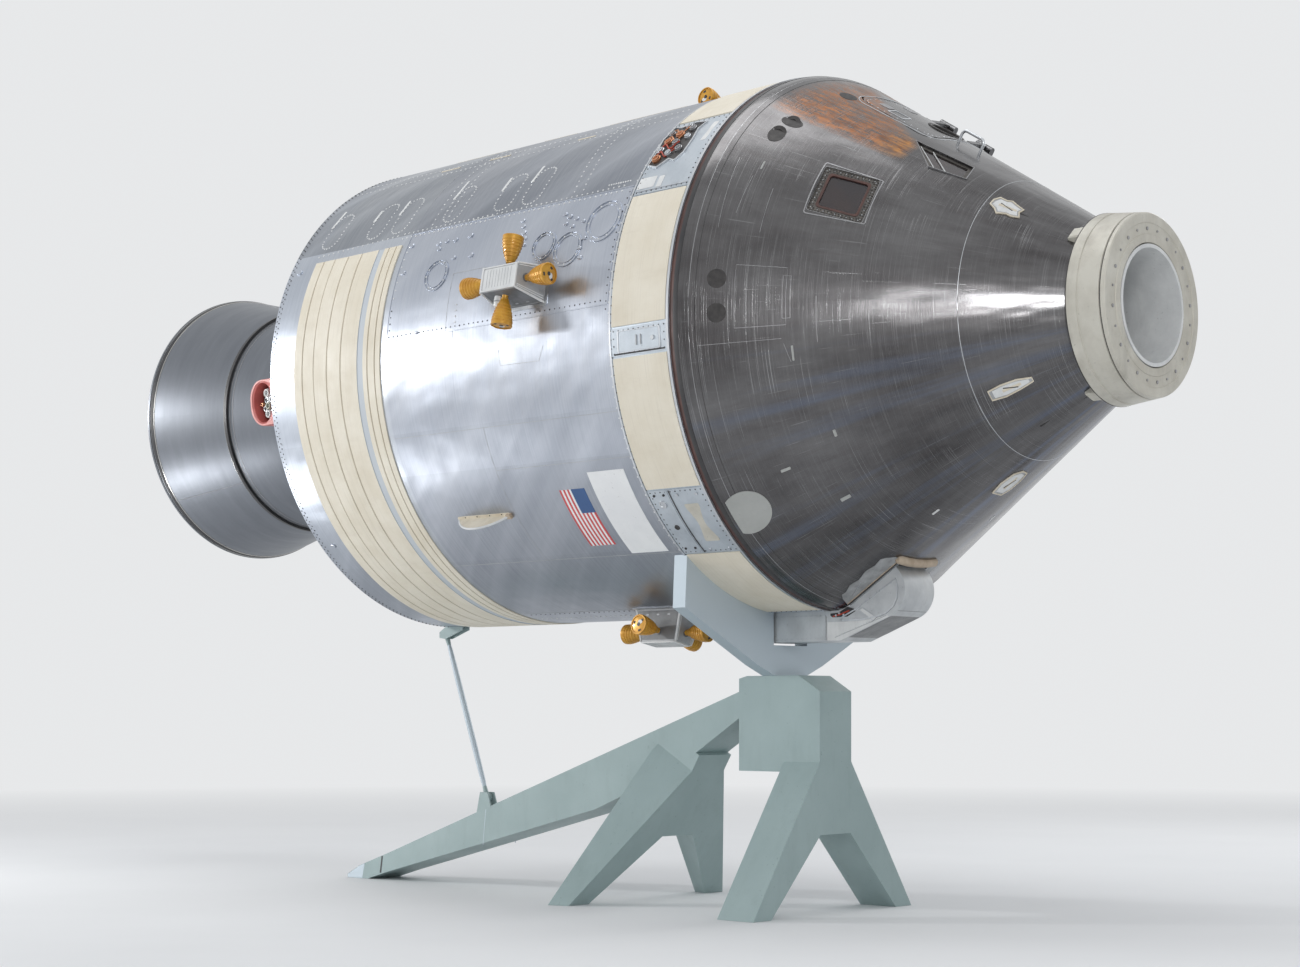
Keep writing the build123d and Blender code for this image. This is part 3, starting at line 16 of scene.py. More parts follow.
import bmesh
import bpy
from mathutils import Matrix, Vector

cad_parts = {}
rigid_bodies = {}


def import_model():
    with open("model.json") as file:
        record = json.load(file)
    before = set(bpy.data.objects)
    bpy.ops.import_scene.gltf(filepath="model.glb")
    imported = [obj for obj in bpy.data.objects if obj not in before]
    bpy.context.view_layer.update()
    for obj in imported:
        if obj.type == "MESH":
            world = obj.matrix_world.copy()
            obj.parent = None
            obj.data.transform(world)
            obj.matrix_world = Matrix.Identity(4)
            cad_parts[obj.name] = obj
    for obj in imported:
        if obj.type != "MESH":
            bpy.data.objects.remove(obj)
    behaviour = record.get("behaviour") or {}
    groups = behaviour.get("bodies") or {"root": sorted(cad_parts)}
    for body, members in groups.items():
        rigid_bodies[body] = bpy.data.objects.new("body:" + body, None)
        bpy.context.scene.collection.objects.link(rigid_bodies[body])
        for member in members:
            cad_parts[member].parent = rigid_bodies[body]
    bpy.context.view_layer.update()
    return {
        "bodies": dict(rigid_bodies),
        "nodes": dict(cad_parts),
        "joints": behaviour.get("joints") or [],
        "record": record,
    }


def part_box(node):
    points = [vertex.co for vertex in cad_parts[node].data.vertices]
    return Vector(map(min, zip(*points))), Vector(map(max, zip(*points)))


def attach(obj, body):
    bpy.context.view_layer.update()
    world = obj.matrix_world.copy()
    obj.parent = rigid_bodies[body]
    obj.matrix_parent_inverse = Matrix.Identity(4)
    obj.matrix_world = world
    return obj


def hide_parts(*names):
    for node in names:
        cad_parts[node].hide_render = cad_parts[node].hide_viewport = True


log = logging.getLogger("capsule")

Colour = tuple[float, float, float]
Spot = tuple[float, float]
Surface = Callable[[float, float, float], Vector]
Rows = tuple[tuple[float, ...], ...]

# Height of the craft's axis, x of the service module's aft rim and radius of its skin
CRAFT_AXIS = 4.19
RIM_X = -2.0651
SKIN_RADIUS = 1.956
FORWARD = Vector((1, 0, 0))
FAR = Vector((0, 1, 0))
UP = Vector((0, 0, 1))
UNIT_STEPS = ((1, 0, 0), (0, 1, 0), (0, 0, 1))
# What is on the craft's near side is repeated on its far side
BOTH_SIDES = (0, 180)
WHITE_LIGHT = (1.0, 1.0, 1.0)


class FinishSheet:
    """Node sheet of one material, with short calls for what its look is made of."""

    def __init__(self, name: str) -> None:
        """Start an empty finish.

        Args:
            name: name of the material.
        """
        self.material = bpy.data.materials.new(name)
        self.material.use_nodes = True
        self.tree = self.material.node_tree
        self.shader = self.tree.nodes["Principled BSDF"]

    def put(self, socket: bpy.types.NodeSocket, value: Any) -> None:
        """Link a socket or set its number.

        Args:
            socket: the input to fill.
            value: another node's output, or a constant.
        """
        if isinstance(value, bpy.types.NodeSocket):
            self.tree.links.new(value, socket)
        elif isinstance(value, tuple) and len(value) == 3 and socket.type == "RGBA":
            socket.default_value = (*value, 1.0)
        else:
            socket.default_value = value

    def node(self, kind: str, inputs: dict[Any, Any], **settings: Any) -> bpy.types.Node:
        """Add a node with its inputs and settings.

        Args:
            kind: Blender's name of the node type.
            inputs: input name or number to a value or a socket.
            settings: the node's own options.

        Returns:
            The new node.
        """
        made = self.tree.nodes.new(kind)
        for key, value in settings.items():
            setattr(made, key, value)
        for key, value in inputs.items():
            self.put(made.inputs[key], value)
        return made

    def surface(self, **inputs: Any) -> None:
        """Fill the shader's inputs; an underscore in a name stands for a space."""
        for key, value in inputs.items():
            self.put(self.shader.inputs[key.replace("_", " ")], value)

    def place(self, stretch: Sequence[float] = (1, 1, 1)) -> bpy.types.NodeSocket:
        """Object position, stretched along each axis."""
        spot = self.node("ShaderNodeTexCoord", {}).outputs["Object"]
        inputs = {0: spot, 1: tuple(stretch)}
        return self.node("ShaderNodeVectorMath", inputs, operation="MULTIPLY").outputs[0]

    def calc(self, operation: str, first: Any, second: Any = 0.0) -> bpy.types.NodeSocket:
        """Result of one operation on one or two values."""
        made = self.node("ShaderNodeMath", {0: first, 1: second}, operation=operation)
        return made.outputs[0]

    def parts(self) -> tuple[bpy.types.NodeSocket, ...]:
        """Object x, y and z measured from the craft's axis."""
        split = self.node("ShaderNodeSeparateXYZ", {0: self.place()})
        height = self.calc("SUBTRACT", split.outputs[2], CRAFT_AXIS)
        return split.outputs[0], split.outputs[1], height

    def bearing(self) -> bpy.types.NodeSocket:
        """Bearing round the craft from 0 to 1, with 0.5 at the near side and 0.75 at the top."""
        _, across, height = self.parts()
        turn = self.calc("ARCTAN2", height, self.calc("MULTIPLY", across, -1.0))
        return self.calc("ADD", self.calc("DIVIDE", turn, 2 * pi), 0.5)

    def round_place(self, along: float, around: float) -> bpy.types.NodeSocket:
        """Position along the craft and round it, with no seam.

        Args:
            along: stretch along the axis.
            around: stretch round the axis.

        Returns:
            A vector socket for a texture.
        """
        forward, *sides = self.parts()
        square = self.calc("ADD", *(self.calc("MULTIPLY", side, side) for side in sides))
        reach = self.calc("SQRT", self.calc("ADD", square, 1e-6))
        ways = [self.calc("MULTIPLY", self.calc("DIVIDE", side, reach), around) for side in sides]
        scaled_forward = self.calc("MULTIPLY", forward, along)
        made = self.node("ShaderNodeCombineXYZ", {0: scaled_forward, 1: ways[0], 2: ways[1]})
        return made.outputs[0]

    def noise(
        self, vector: bpy.types.NodeSocket, scale: float, detail: float = 3.0, rough: float = 0.55
    ) -> bpy.types.NodeSocket:
        """Soft noise from 0 to 1."""
        inputs = {"Vector": vector, "Scale": scale, "Detail": detail, "Roughness": rough}
        return self.node("ShaderNodeTexNoise", inputs).outputs[0]

    def span(
        self, value: Any, low: float, high: float, to_low: float = 0.0, to_high: float = 1.0
    ) -> bpy.types.NodeSocket:
        """Map a value from one range to another and keep it inside."""
        inputs = {0: value, 1: low, 2: high, 3: to_low, 4: to_high}
        return self.node("ShaderNodeMapRange", inputs).outputs[0]

    def blend(self, factor: Any, first: Any, second: Any, mode: str = "MIX") -> Any:
        """Mix two colours."""
        made = self.node(
            "ShaderNodeMix", {0: factor, 6: first, 7: second}, data_type="RGBA", blend_type=mode
        )
        return made.outputs[2]

    def ramp(
        self, factor: Any, stops: Sequence[tuple[float, Colour]], stepped: bool = False
    ) -> bpy.types.NodeSocket:
        """Colour ramp over a factor.

        Args:
            factor: value from 0 to 1.
            stops: place and colour of each stop, in order.
            stepped: whether each colour holds until the next stop.

        Returns:
            The ramp's colour.
        """
        made = self.node("ShaderNodeValToRGB", {0: factor})
        made.color_ramp.interpolation = "CONSTANT" if stepped else "LINEAR"
        stands = made.color_ramp.elements
        while len(stands) < len(stops):
            stands.new(1.0)
        for stand, (where, colour) in zip(stands, stops):
            stand.position = where
            stand.color = (*colour, 1.0)
        return made.outputs[0]

    def bump(
        self, height: Any, distance: float, strength: float = 1.0, below: Any = None
    ) -> bpy.types.NodeSocket:
        """Surface relief from a height.

        Args:
            height: the relief, from 0 to 1.
            distance: depth of the relief in metres.
            strength: share of it that shows.
            below: another relief that this one lies on.

        Returns:
            The bent normal.
        """
        inputs: dict[str, Any] = {"Strength": strength, "Distance": distance, "Height": height}
        if below is not None:
            inputs["Normal"] = below
        return self.node("ShaderNodeBump", inputs).outputs[0]


@dataclass(frozen=True)
class Paint:
    """Painted or plain surface with mottling, grime and a fine grain."""

    colour: Colour
    shade: Colour
    roughness: float = 0.45
    metallic: float = 0.0
    mottling: float = 3.0
    grime: float = 0.2
    grain: float = 260.0
    depth: float = 0.0004
    coat: float = 0.0

    def build(self, name: str) -> bpy.types.Material:
        """Make the material."""
        sheet = FinishSheet(name)
        patches = sheet.noise(sheet.place(), self.mottling, 5.0, 0.6)
        tone = sheet.blend(sheet.span(patches, 0.35, 0.65), self.colour, self.shade)
        runs = sheet.noise(sheet.place((3.0, 3.0, 0.7)), 2.3, 6.0, 0.7)
        dirt = sheet.span(runs, 0.5, 0.8, 0.0, self.grime)
        dark = tuple(c * 0.45 for c in self.shade)
        fine = sheet.noise(sheet.place(), self.grain, 2.0)
        speck = sheet.span(sheet.noise(sheet.place(), self.grain / 6, 2.0), 0.68, 0.76, 0, 0.35)
        tone = sheet.blend(speck, sheet.blend(dirt, tone, dark), dark)
        rough = sheet.span(patches, 0.3, 0.7, self.roughness - 0.07, self.roughness + 0.08)
        sheet.surface(
            Base_Color=tone, Metallic=self.metallic, Roughness=rough, Coat_Weight=self.coat,
            Normal=sheet.bump(fine, self.depth),
        )
        return sheet.material


@dataclass(frozen=True)
class BrushedMetal:
    """Bare metal with fine brushed lines in one direction and soft waves in the sheet."""

    colour: Colour
    shade: Colour
    roughness: float = 0.35
    stretch: tuple[float, float, float] = (120.0, 1.5, 1.5)
    waves: float = 0.002
    spread: float = 0.12

    def build(self, name: str) -> bpy.types.Material:
        """Make the material."""
        sheet = FinishSheet(name)
        lines = sheet.noise(sheet.place(self.stretch), 1.0, 4.0, 0.7)
        cloud = sheet.noise(sheet.place(), 1.3, 4.0, 0.6)
        tone = sheet.blend(sheet.span(lines, 0.3, 0.7), self.colour, self.shade)
        tone = sheet.blend(sheet.span(cloud, 0.45, 0.75, 0.0, 0.35), tone, self.shade)
        rough = sheet.calc(
            "ADD", sheet.span(lines, 0.3, 0.7, self.roughness - self.spread, self.roughness),
            sheet.span(cloud, 0.35, 0.7, 0.0, self.spread),
        )
        swell = sheet.bump(sheet.noise(sheet.place(), 2.2, 2.0), self.waves * 8)
        sheet.surface(
            Base_Color=tone, Metallic=1.0, Roughness=rough, Normal=sheet.bump(lines, 0.0005, 0.5, swell),
        )
        return sheet.material


@dataclass(frozen=True)
class ServiceSkin:
    """Satin aluminium sheets of the service module, each with its own tone; the upper and lower sheets are
    also darkened as painted shade, under painted sheen bands.
    """

    colour: Colour = (0.55, 0.58, 0.63)
    shade: Colour = (0.42, 0.455, 0.51)
    # Lower bearing of each sheet in degrees, and its brightness: partly the sheets' own tone, partly painted
    # shade that darkens the upper and lower sheets like a reflected dark room
    sheets: tuple[tuple[float, float], ...] = (
        (-180, 0.90), (-162, 0.86), (-128, 0.80), (-102, 0.86), (-76, 0.74), (-52, 0.78),
        (-27.5, 0.86), (-17.8, 0.93), (4, 1.0), (30.8, 0.60), (75, 0.74), (98, 0.80), (128, 0.74),
        (162, 0.92),
    )

    def build(self, name: str) -> bpy.types.Material:
        """Make the material."""
        sheet = FinishSheet(name)
        lines = sheet.noise(sheet.place((90.0, 1.2, 1.2)), 1.0, 4.0, 0.65)
        cross = sheet.noise(sheet.round_place(0.8, 70.0), 1.0, 3.0, 0.6)
        cloud = sheet.noise(sheet.place(), 0.9, 5.0, 0.62)
        tone = sheet.blend(sheet.span(lines, 0.3, 0.75), self.colour, self.shade)
        tone = sheet.blend(sheet.span(cloud, 0.42, 0.7, 0.0, 0.6), tone, self.shade)
        # Sheet brightness: own tones, with painted shade on the upper and lower sheets
        stops = [(0.5 + low / 360, (bright, bright, bright)) for low, bright in self.sheets]
        tone = sheet.blend(1.0, tone, sheet.ramp(sheet.bearing(), stops, True), "MULTIPLY")
        forward, _, _ = sheet.parts()
        rim = sheet.ramp(
            sheet.span(forward, RIM_X, RIM_X + 4.0),
            [(0.0, (0.96, 0.97, 0.99)), (0.078, WHITE_LIGHT), (0.355, (0.92, 0.92, 0.94))], True,
        )
        # Painted sheen: lighter diagonal bands across the sheets
        slope = sheet.calc("ADD", forward, sheet.calc("MULTIPLY", sheet.bearing(), -13.0))
        bands = sheet.node("ShaderNodeCombineXYZ", {0: slope, 1: 0.0, 2: 0.0}).outputs[0]
        painted_sheen = sheet.span(sheet.noise(bands, 1.7, 3.0, 0.6), 0.44, 0.66, 0.0, 0.30)
        tone = sheet.blend(painted_sheen, tone, (0.72, 0.75, 0.79))
        speck = sheet.span(sheet.noise(sheet.place(), 55.0, 2.0), 0.62, 0.70, 0.0, 0.5)
        near_rim = sheet.calc("LESS_THAN", forward, RIM_X + 0.07)
        tone = sheet.blend(1.0, tone, rim, "MULTIPLY")
        tone = sheet.blend(sheet.calc("MULTIPLY", speck, near_rim), tone, (0.12, 0.12, 0.13))
        rough = sheet.calc(
            "ADD", sheet.span(lines, 0.3, 0.7, 0.27, 0.36), sheet.span(cloud, 0.4, 0.7, 0, 0.12)
        )
        swell = sheet.bump(sheet.noise(sheet.round_place(1.4, 4.0), 1.0, 2.0), 0.020)
        brushed = sheet.bump(lines, 0.0006, 0.45, swell)
        sheet.surface(
            Base_Color=tone, Metallic=1.0, Roughness=rough,
            Normal=sheet.bump(cross, 0.0004, 0.3, brushed),
        )
        return sheet.material


@dataclass(frozen=True)
class PolishedHull:
    """Mirror-bright, scratched metal of the crew module, stained by heat towards the top, with a painted
    bluish reflection on its lower part.
    """

    colour: Colour = (0.175, 0.172, 0.175)
    shade: Colour = (0.080, 0.076, 0.078)
    stain: Colour = (0.50, 0.185, 0.05)
    # Colour of the painted bluish reflection on the lower part
    reflected_blue: Colour = (0.145, 0.168, 0.225)

    def build(self, name: str) -> bpy.types.Material:
        """Make the material."""
        sheet = FinishSheet(name)
        forward, _, _ = sheet.parts()
        turn = sheet.bearing()
        cloud = sheet.noise(sheet.round_place(0.9, 2.6), 1.0, 6.0, 0.65)
        tone = sheet.blend(sheet.span(cloud, 0.35, 0.68), self.colour, self.shade)
        # Painted reflection: bluish smears on the lower part of the hull
        lower = sheet.span(turn, 0.52, 0.44)
        blue_reflection = sheet.noise(sheet.round_place(0.28, 8.0), 1.2, 3.0, 0.5)
        blue_reflection = sheet.calc("MULTIPLY", sheet.span(blue_reflection, 0.50, 0.68, 0.0, 0.8), lower)
        tone = sheet.blend(blue_reflection, tone, self.reflected_blue)
        streaks = sheet.noise(sheet.round_place(2.2, 46.0), 1.0, 5.0, 0.7)
        tone = sheet.blend(sheet.span(streaks, 0.5, 0.72, 0.0, 0.4), tone, (0.11, 0.10, 0.10))
        # Fine brushing round the hull, over all of it
        brush = sheet.noise(sheet.place((340.0, 2.2, 2.2)), 1.0, 3.0, 0.7)
        tone = sheet.blend(sheet.span(brush, 0.52, 0.74, 0.0, 0.34), tone, (0.30, 0.30, 0.305))
        rust = self.rust(sheet, forward, turn)
        patch = sheet.noise(sheet.round_place(5.0, 30.0), 1.3, 4.0, 0.6)
        near_window = sheet.span(forward, RIM_X + 5.18, RIM_X + 5.34)
        stain = sheet.blend(near_window, self.stain, (0.56, 0.27, 0.085))
        stain = sheet.blend(sheet.span(patch, 0.40, 0.64), stain, (0.20, 0.085, 0.04))
        tone = sheet.blend(rust, tone, stain)
        scratch = self.scratches(sheet)
        tone = sheet.blend(sheet.calc("MULTIPLY", scratch, 0.42), tone, (0.60, 0.61, 0.62))
        rough = sheet.calc(
            "ADD", sheet.span(cloud, 0.3, 0.7, 0.15, 0.26),
            sheet.calc("ADD", sheet.span(brush, 0.4, 0.7, 0, 0.07), sheet.span(rust, 0, 1, 0, 0.2)),
        )
        swell = sheet.bump(sheet.noise(sheet.round_place(1.3, 3.2), 1.0, 2.0), 0.016)
        lines = sheet.bump(brush, 0.0003, 0.6, swell)
        sheet.surface(
            Base_Color=tone, Metallic=1.0, Roughness=rough,
            Normal=sheet.bump(scratch, 0.0004, 0.5, lines),
        )
        return sheet.material

    def rust(self, sheet: FinishSheet, forward: Any, turn: Any) -> bpy.types.NodeSocket:
        """Orange stain that narrows from the shield's rim to the rendezvous window.

        Args:
            sheet: the finish in the making.
            forward: object x.
            turn: bearing from 0 to 1.

        Returns:
            How strongly the stain shows, from 0 to 1.
        """
        from_top = sheet.calc("ABSOLUTE", sheet.calc("SUBTRACT", turn, 0.75))
        ahead = sheet.calc("SUBTRACT", forward, RIM_X + 4.56)
        centre = sheet.calc("ADD", sheet.calc("MULTIPLY", ahead, 0.046), 0.046)
        half = sheet.calc("ADD", sheet.calc("MULTIPLY", ahead, -0.044), 0.055)
        off = sheet.calc("ABSOLUTE", sheet.calc("SUBTRACT", from_top, centre))
        across = sheet.span(sheet.calc("SUBTRACT", half, off), -0.002, 0.010)
        along = sheet.calc("MULTIPLY", sheet.span(ahead, -0.03, 0.10), sheet.span(ahead, 0.88, 0.80))
        grain = sheet.noise(sheet.round_place(9.0, 60.0), 1.0, 6.0, 0.75)
        fine = sheet.noise(sheet.place((70.0, 30.0, 30.0)), 1.0, 3.0, 0.7)
        worn = sheet.span(sheet.calc("ADD", grain, sheet.calc("MULTIPLY", fine, 0.5)), 0.60, 0.84)
        near_window = sheet.calc(
            "MULTIPLY", sheet.span(ahead, 0.66, 0.80),
            sheet.span(sheet.calc("SUBTRACT", half, off), -0.004, 0.004),
        )
        near_window = sheet.calc("MULTIPLY", near_window, sheet.span(worn, 0.0, 0.7, 0.35, 1.0))
        shown = sheet.calc("MAXIMUM", sheet.calc("MULTIPLY", worn, 0.85), near_window)
        return sheet.calc("MULTIPLY", sheet.calc("MULTIPLY", across, along), shown)

    def scratches(self, sheet: FinishSheet) -> bpy.types.NodeSocket:
        """Long thin scratches round and along the hull, each only on part of the way."""
        cuts = sheet.noise(sheet.place((420.0, 0.9, 0.9)), 1.0, 1.0, 0.5)
        where = sheet.noise(sheet.place((3.0, 3.0, 3.0)), 1.0, 2.0)
        long = sheet.calc("MULTIPLY", sheet.span(cuts, 0.67, 0.71), sheet.span(where, 0.46, 0.56))
        hair = sheet.noise(sheet.round_place(2.6, 190.0), 1.0, 2.0, 0.6)
        return sheet.calc("MAXIMUM", long, sheet.calc("MULTIPLY", sheet.span(hair, 0.69, 0.73), 0.55))


@dataclass(frozen=True)
class RadiatorPaint:
    """Ivory radiator paint with darker lines round the craft at the panel's grooves."""

    colour: Colour = (0.78, 0.73, 0.62)
    shade: Colour = (0.68, 0.62, 0.50)
    line: Colour = (0.50, 0.45, 0.38)
    gap: Colour = (0.50, 0.54, 0.58)
    lines: tuple[float, ...] = ()
    gap_span: Spot | None = None
    length: float = 1.36
    half_line: float = 0.0050

    def build(self, name: str) -> bpy.types.Material:
        """Make the material."""
        sheet = FinishSheet(name)
        cloud = sheet.noise(sheet.place(), 2.6, 6.0, 0.65)
        tone = sheet.blend(sheet.span(cloud, 0.35, 0.7), self.colour, self.shade)
        runs = sheet.noise(sheet.place((70.0, 1.6, 1.6)), 1.0, 4.0, 0.7)
        tone = sheet.blend(sheet.span(runs, 0.52, 0.75, 0.0, 0.35), tone, (0.52, 0.47, 0.38))
        across = sheet.noise(sheet.round_place(2.0, 26.0), 1.0, 5.0, 0.7)
        tone = sheet.blend(sheet.span(across, 0.56, 0.8, 0.0, 0.28), tone, (0.56, 0.50, 0.40))
        if self.lines:
            forward, _, _ = sheet.parts()
            share = sheet.span(forward, RIM_X, RIM_X + self.length)
            stops: list[tuple[float, Colour]] = [(0.0, WHITE_LIGHT)]
            for where in self.lines:
                stops.append(((where - self.half_line) / self.length, self.line))
                stops.append(((where + self.half_line) / self.length, WHITE_LIGHT))
            tone = sheet.blend(1.0, tone, sheet.ramp(share, stops, True), "MULTIPLY")
            if self.gap_span:
                low, high = self.gap_span
                inside = sheet.calc(
                    "MULTIPLY", sheet.calc("GREATER_THAN", forward, RIM_X + low),
                    sheet.calc("LESS_THAN", forward, RIM_X + high),
                )
                tone = sheet.blend(inside, tone, self.gap)
        grain = sheet.noise(sheet.place(), 240.0, 2.0)
        sheet.surface(
            Base_Color=tone, Roughness=sheet.span(cloud, 0.3, 0.7, 0.48, 0.64),
            Normal=sheet.bump(grain, 0.0004, 0.6, sheet.bump(runs, 0.0008, 0.5)),
        )
        return sheet.material


@dataclass(frozen=True)
class Cloth:
    """Woven cloth with soft creases."""

    colour: Colour
    shade: Colour
    threads: float = 700.0
    creases: float = 0.012
    roughness: float = 0.85

    def build(self, name: str) -> bpy.types.Material:
        """Make the material."""
        sheet = FinishSheet(name)
        warp, weft = (
            sheet.node(
                "ShaderNodeTexWave",
                {"Vector": sheet.place(way), "Scale": self.threads / 20, "Distortion": 0.4},
                bands_direction="DIAGONAL",
            ).outputs[1]
            for way in ((1, 1, 0.2), (0.2, -1, 1))
        )
        weave = sheet.calc("MULTIPLY", warp, weft)
        patches = sheet.noise(sheet.place(), 5.0, 4.0)
        tone = sheet.blend(sheet.span(patches, 0.35, 0.65), self.colour, self.shade)
        tone = sheet.blend(sheet.span(weave, 0.0, 1.0, 0.3, 0.0), tone, self.shade)
        folds = sheet.bump(sheet.noise(sheet.place(), 9.0, 3.0), self.creases)
        sheet.surface(
            Base_Color=tone, Roughness=self.roughness, Sheen_Weight=0.3,
            Normal=sheet.bump(weave, 0.0006, 0.7, folds),
        )
        return sheet.material


@dataclass(frozen=True)
class DarkGlass:
    """Thick window glass with a faint coating."""

    tint: Colour = (0.15, 0.125, 0.14)

    def build(self, name: str) -> bpy.types.Material:
        """Make the material."""
        sheet = FinishSheet(name)
        film = sheet.noise(sheet.place(), 6.0, 4.0)
        tone = sheet.blend(sheet.span(film, 0.4, 0.7, 0.0, 0.5), self.tint, (0.24, 0.14, 0.12))
        dust = sheet.span(sheet.noise(sheet.place(), 18.0, 5.0, 0.7), 0.45, 0.75, 0.03, 0.16)
        sheet.surface(Base_Color=tone, Roughness=dust, Transmission_Weight=0.85, IOR=1.5, Coat_Weight=0.3)
        return sheet.material


class Look(Enum):
    """The finishes of the craft and its stand."""

    SKIN = ServiceSkin()
    HULL = PolishedHull()
    RADIATOR = RadiatorPaint(lines=(0.416, 0.558, 0.719, 0.888, 1.213, 1.300), gap_span=(1.090, 1.160))
    FAIRING_RADIATOR = RadiatorPaint(colour=(0.76, 0.71, 0.60))
    FAIRING = BrushedMetal((0.52, 0.57, 0.62), (0.43, 0.48, 0.53), 0.42)
    BAY_PLATE = Paint((0.53, 0.575, 0.62), (0.43, 0.475, 0.52), 0.38, 0.5, 4.0, 0.3)
    BARE = BrushedMetal((0.66, 0.68, 0.70), (0.50, 0.52, 0.55), 0.33, (60.0, 60.0, 2.0))
    FOIL = BrushedMetal((0.50, 0.50, 0.49), (0.34, 0.34, 0.33), 0.38, (4.0, 4.0, 4.0), 0.012)
    STEEL = BrushedMetal((0.42, 0.42, 0.43), (0.27, 0.27, 0.28), 0.36, (8.0, 60.0, 8.0))
    NOZZLE = BrushedMetal(
        (0.225, 0.24, 0.265), (0.185, 0.198, 0.222), 0.39, (8.0, 1.0, 1.0), 0.0003, 0.05
    )
    NOZZLE_LIP = BrushedMetal((0.62, 0.61, 0.58), (0.42, 0.41, 0.39), 0.28)
    BLACK = Paint((0.018, 0.018, 0.021), (0.035, 0.034, 0.035), 0.42, 0.0, 6.0, 0.1)
    SOOT = Paint((0.055, 0.052, 0.052), (0.028, 0.027, 0.028), 0.62, 0.0, 5.0, 0.3)
    BOOT = Cloth((0.46, 0.46, 0.41), (0.35, 0.35, 0.31), 500.0)
    MOUNT = Paint((0.50, 0.52, 0.42), (0.40, 0.42, 0.34), 0.45, 0.0, 5.0, 0.3)
    WHITE = Paint((0.74, 0.75, 0.745), (0.64, 0.65, 0.65), 0.42, 0.0, 6.0, 0.25)
    PANEL_GREY = Paint((0.45, 0.46, 0.47), (0.36, 0.37, 0.38), 0.40, 0.3, 7.0, 0.3)
    DARK_PANEL = Paint((0.20, 0.205, 0.21), (0.14, 0.145, 0.15), 0.42, 0.3, 9.0, 0.3)
    GOLD = Paint((0.66, 0.345, 0.035), (0.52, 0.24, 0.02), 0.36, 0.25, 12.0, 0.35, 300.0, 0.0003, 0.2)
    IVORY = Paint((0.74, 0.68, 0.56), (0.62, 0.55, 0.43), 0.55, 0.0, 7.0, 0.35)
    RED = Paint((0.56, 0.135, 0.12), (0.45, 0.10, 0.09), 0.42, 0.0, 9.0, 0.3, coat=0.15)
    CREAM = Paint((0.62, 0.60, 0.53), (0.50, 0.475, 0.41), 0.42, 0.1, 4.0, 0.4)
    SCORCHED = Paint((0.040, 0.036, 0.035), (0.022, 0.020, 0.020), 0.5, 0.1, 30.0, 0.3, 160, 0.001)
    STUDDED = Paint((0.12, 0.11, 0.10), (0.06, 0.055, 0.05), 0.40, 0.5, 40.0, 0.4, 160, 0.001)
    HINGE = BrushedMetal((0.20, 0.20, 0.205), (0.12, 0.12, 0.125), 0.34, (60.0, 60.0, 2.0))
    BROWN_SEAL = Paint((0.085, 0.030, 0.022), (0.05, 0.02, 0.016), 0.5, 0.0, 8.0, 0.3)
    GLASS = DarkGlass()
    COPPER = BrushedMetal((0.62, 0.30, 0.17), (0.42, 0.19, 0.10), 0.36, (30.0, 30.0, 30.0))
    HARNESS_RED = Paint((0.48, 0.06, 0.03), (0.34, 0.04, 0.02), 0.5)
    FLAG_RED = Paint((0.62, 0.07, 0.075), (0.54, 0.06, 0.065), 0.5, grime=0.12)
    FLAG_BLUE = Paint((0.035, 0.10, 0.26), (0.03, 0.085, 0.22), 0.5, grime=0.12)
    FLAG_WHITE = Paint((0.82, 0.83, 0.83), (0.76, 0.77, 0.78), 0.5, grime=0.12)
    DISC = Paint((0.40, 0.41, 0.395), (0.35, 0.36, 0.345), 0.55, 0.0, 5.0, 0.15)
    UMBILICAL = Paint((0.60, 0.62, 0.63), (0.50, 0.52, 0.535), 0.40, 0.55, 6.0, 0.35, 200.0, 0.0005)
    TAN = Paint((0.52, 0.43, 0.33), (0.40, 0.31, 0.22), 0.5, 0.1, 10.0, 0.4)
    PALE_PLATE = Paint((0.42, 0.43, 0.435), (0.28, 0.285, 0.29), 0.45, 0.2, 14.0, 0.5)
    # Painted shade: dark plate under the umbilical box's nose
    UNDERSIDE = Paint((0.24, 0.245, 0.25), (0.17, 0.175, 0.18), 0.40, 0.4, 5.0, 0.3)
    ROSE = Paint((0.70, 0.27, 0.24), (0.60, 0.20, 0.18), 0.38, 0.0, 9.0, 0.25, coat=0.2)
    STAND = Paint((0.33, 0.425, 0.425), (0.295, 0.385, 0.385), 0.42, 0.0, 1.6, 0.2, 190.0, 0.0005)
    STAND_PALE = Paint((0.52, 0.62, 0.65), (0.47, 0.565, 0.60), 0.42, 0.0, 1.8, 0.16, 190.0)
    CABIN = Paint((0.27, 0.29, 0.29), (0.22, 0.235, 0.24), 0.5, 0.0, 5.0, 0.2)
    COUCH = Cloth((0.42, 0.40, 0.34), (0.33, 0.31, 0.26))
    DIAL = Paint((0.62, 0.62, 0.58), (0.56, 0.56, 0.52), 0.4)

    def material(self) -> bpy.types.Material:
        """The finish's material, made at its first use."""
        name = self.name.lower()
        return bpy.data.materials.get(name) or self.value.build(name)


